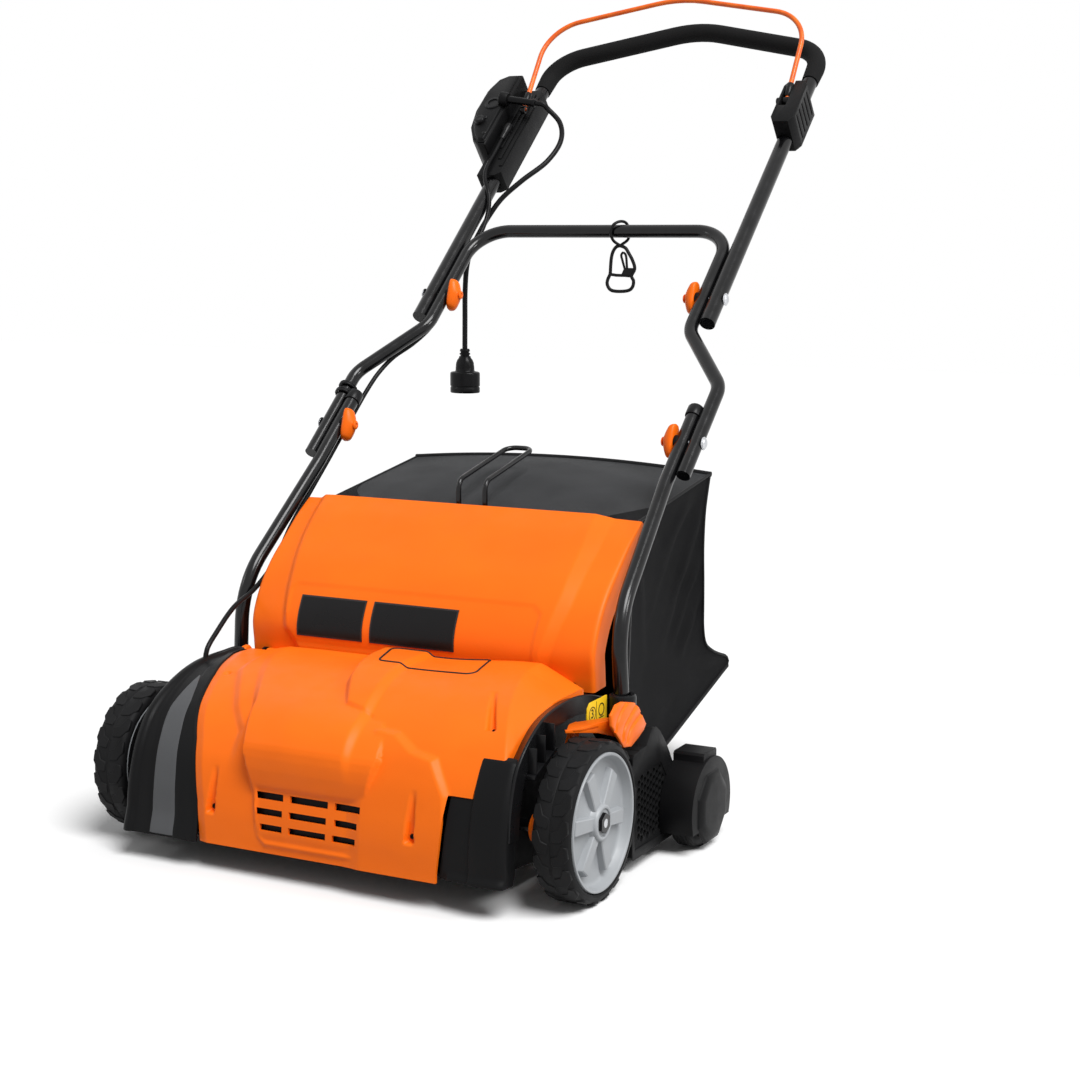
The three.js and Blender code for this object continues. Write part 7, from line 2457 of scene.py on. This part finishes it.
    def make_cables(self) -> None:
        """The motor cable along the handle, in the three parts that the joints need."""
        for name, line, body in (
            ("lower", self.lower_lead, "chassis"),
            ("middle", handle_route(self.middle_lead), "middle_handle"),
            ("upper", handle_route(self.upper_lead), "upper_handle"),
        ):
            route = smooth_route(line, 5.0)
            obj = Draft(f"lead_{name}").tube(route, self.lead_radius, 16).draw()
            dress(obj, body, CABLE, [f"motor_cable_{name}"], smooth=60)
        start, end = Vector(handle_point(-250, 668, 22)), Vector(handle_point(-249.6, 628, 22.5))
        profile = [(0, 7.4), (14, 7.4), (16, 6.4), (22, 5.8), (34, 4.8), (35, 4.2)]
        gland = Draft("lead_gland").lathe(profile, start, end - start, 24)
        dress(gland.draw(), "upper_handle", BLACK_SATIN, smooth=40)
        clips = Draft("lead_clips")
        for s in (74.0, 60.0):
            turns = np.linspace(0.1, FULL_TURN - 0.1, 30)
            for along in (s, s + 3.0):
                ring = [(-298.2 + 12.6 * math.cos(a), along, 12.6 * math.sin(a)) for a in turns]
                clips.tube(handle_route(ring), 2.0, 10)
        dress(clips.draw(), "middle_handle", BLACK_SATIN, smooth=60)

    def make_hook(self) -> None:
        """The cord hook: its ring round the bridge tube and its hanging frame."""
        centre = Vector(handle_point(32, 430.5, 0))

        def hang(points: Sequence[Point]) -> Route:
            """The points, measured from the ring's middle."""
            return [tuple(centre + Vector(p)) for p in points]

        ring = [
            (0, 0, -22), (-8, -8, -14), (-10, -13.6, -2), (-7, -11.6, 9), (0, -3, 14.8), (6, 7.4, 13), (9, 14, 1),
            (9, 10, -12), (0, 0, -22),
        ]
        frame_line = [
            (0, -22), (-6, -23.5), (-11.5, -30), (-14.5, -39), (-16, -53), (-17, -66), (-20, -72), (-22, -79),
            (-19.5, -86.5), (-13.5, -91), (16, -90), (22, -84), (23, -75), (19.5, -69), (25, -57), (21, -44),
            (15, -34), (9, -25.5), (0, -22),
        ]
        bars = Draft("hook_bars").tube(smooth_route(hang(ring), 2.5), 2.3, 14)
        bars.tube(smooth_route(hang([(x, 0, z) for x, z in frame_line]), 2.5), 2.7, 14)
        bars.tube(hang([(-17, 0, -66), (-6, 0, -67.4), (8, 0, -67.6), (20, 0, -68.4)]), 2.4, 12)
        catch = [(8, 0, -57), (3.6, 0, -43), (2, 0, -36.5), (4.6, 0, -32.6), (9, 0, -35), (12, 0, -56)]
        bars.tube(smooth_route(hang(catch), 2.5), 1.9, 12)
        wedge = [(3.4, -66.6), (8.5, -56), (25.5, -56), (19.5, -67)]
        bars.prism(wedge, lambda u, v, depth: tuple(centre + Vector((u, depth, v))), -3.2, 3.2)
        dress(bars.draw(), "cord_hook", BLACK_SATIN, ["cord_hook"], smooth=50)

    def build(self) -> None:
        """Makes all the controls."""
        self.make_box()
        self.make_bail()
        self.make_bracket()
        self.make_button()
        self.make_cables()
        self.make_hook()


# ---------------------------------------------------------------- rotor and deck


@dataclass
class Rotor:
    """The spring-tine rotor under the deck."""

    y: float = 130.0
    z: float = 85.0
    carriers: int = 6
    pitch: float = 64.0
    tip: float = 78.0
    stagger: float = 30.0

    def build(self) -> None:
        """Makes each carrier's hub and its pairs of spring tines."""
        profile = [
            (-17, 16.4), (-17, 25), (-15.6, 27), (-6, 27), (-5, 24.4), (5, 24.4), (6, 27), (15.6, 27), (17, 25),
            (17, 16.4)
        ]
        for index in range(self.carriers):
            x = (index - (self.carriers - 1) / 2) * self.pitch
            name = f"carrier_{index + 1}"
            hub = Draft(f"{name}_hub").lathe(profile, (x, self.y, self.z), (1, 0, 0), 48, True).draw()
            dress(hub, "rotor", BLACK, [f"tine_{name}"], smooth=36)
            first = math.radians(90 + index * self.stagger)
            tine = Draft(f"{name}_tines")
            for side in (-9.0, 9.0):
                line = []
                for size, lag in ((18, 0), (36, 0), (52, 0.02), (66, 0.09), (self.tip - 1.0, 0.2)):
                    turn = first + lag
                    line.append((x + side, self.y + size * math.cos(turn), self.z + size * math.sin(turn)))
                tine.tube(smooth_route(line, 4.0), 1.6, 8)
            obj = tine.draw()
            Repeat(4, 90.0, (0, self.y, self.z)).apply(obj, STEEL)
            dress(obj, "rotor", STEEL, smooth=60)


@dataclass
class Machine:
    """The whole dethatcher, its bought-in parts and the solids that keep their own shape."""

    kept: dict[str, Finish] = field(
        default_factory=lambda: {
            "deck_shell": BLACK, "motor_can": MOTOR, "motor_shaft": STEEL, "drive_belt": BELT, "rotor_pulley": MOTOR,
            "rotor_shaft": GUNMETAL, "rear_axle": STEEL, "crank_axle": PAINT, "hood_hinge_pin": STEEL,
            "lower_bolt_left": STEEL, "lower_bolt_right": STEEL, "upper_bolt_left": STEEL, "upper_bolt_right": STEEL,
        }
    )

    def build(self) -> None:
        """Makes every sub-assembly in order."""
        Studio().build()
        PowerLead().build()
        for name, finish in self.kept.items():
            dress_node(name, finish)
        FrontCover().build()
        Hood().build()
        for side in Side:
            FrontWheel(side).build()
            RearWheel(side).build()
            SideHousing(side).build()
        RightCorner().build()
        DepthSetting().build()
        Handle().build()
        GrassBag().build()
        Controls().build()
        Rotor().build()


def main() -> None:
    """Builds the machine."""
    logging.basicConfig(level=logging.INFO, format="%(message)s")
    Machine().build()


if __name__ == "__main__":
    main()
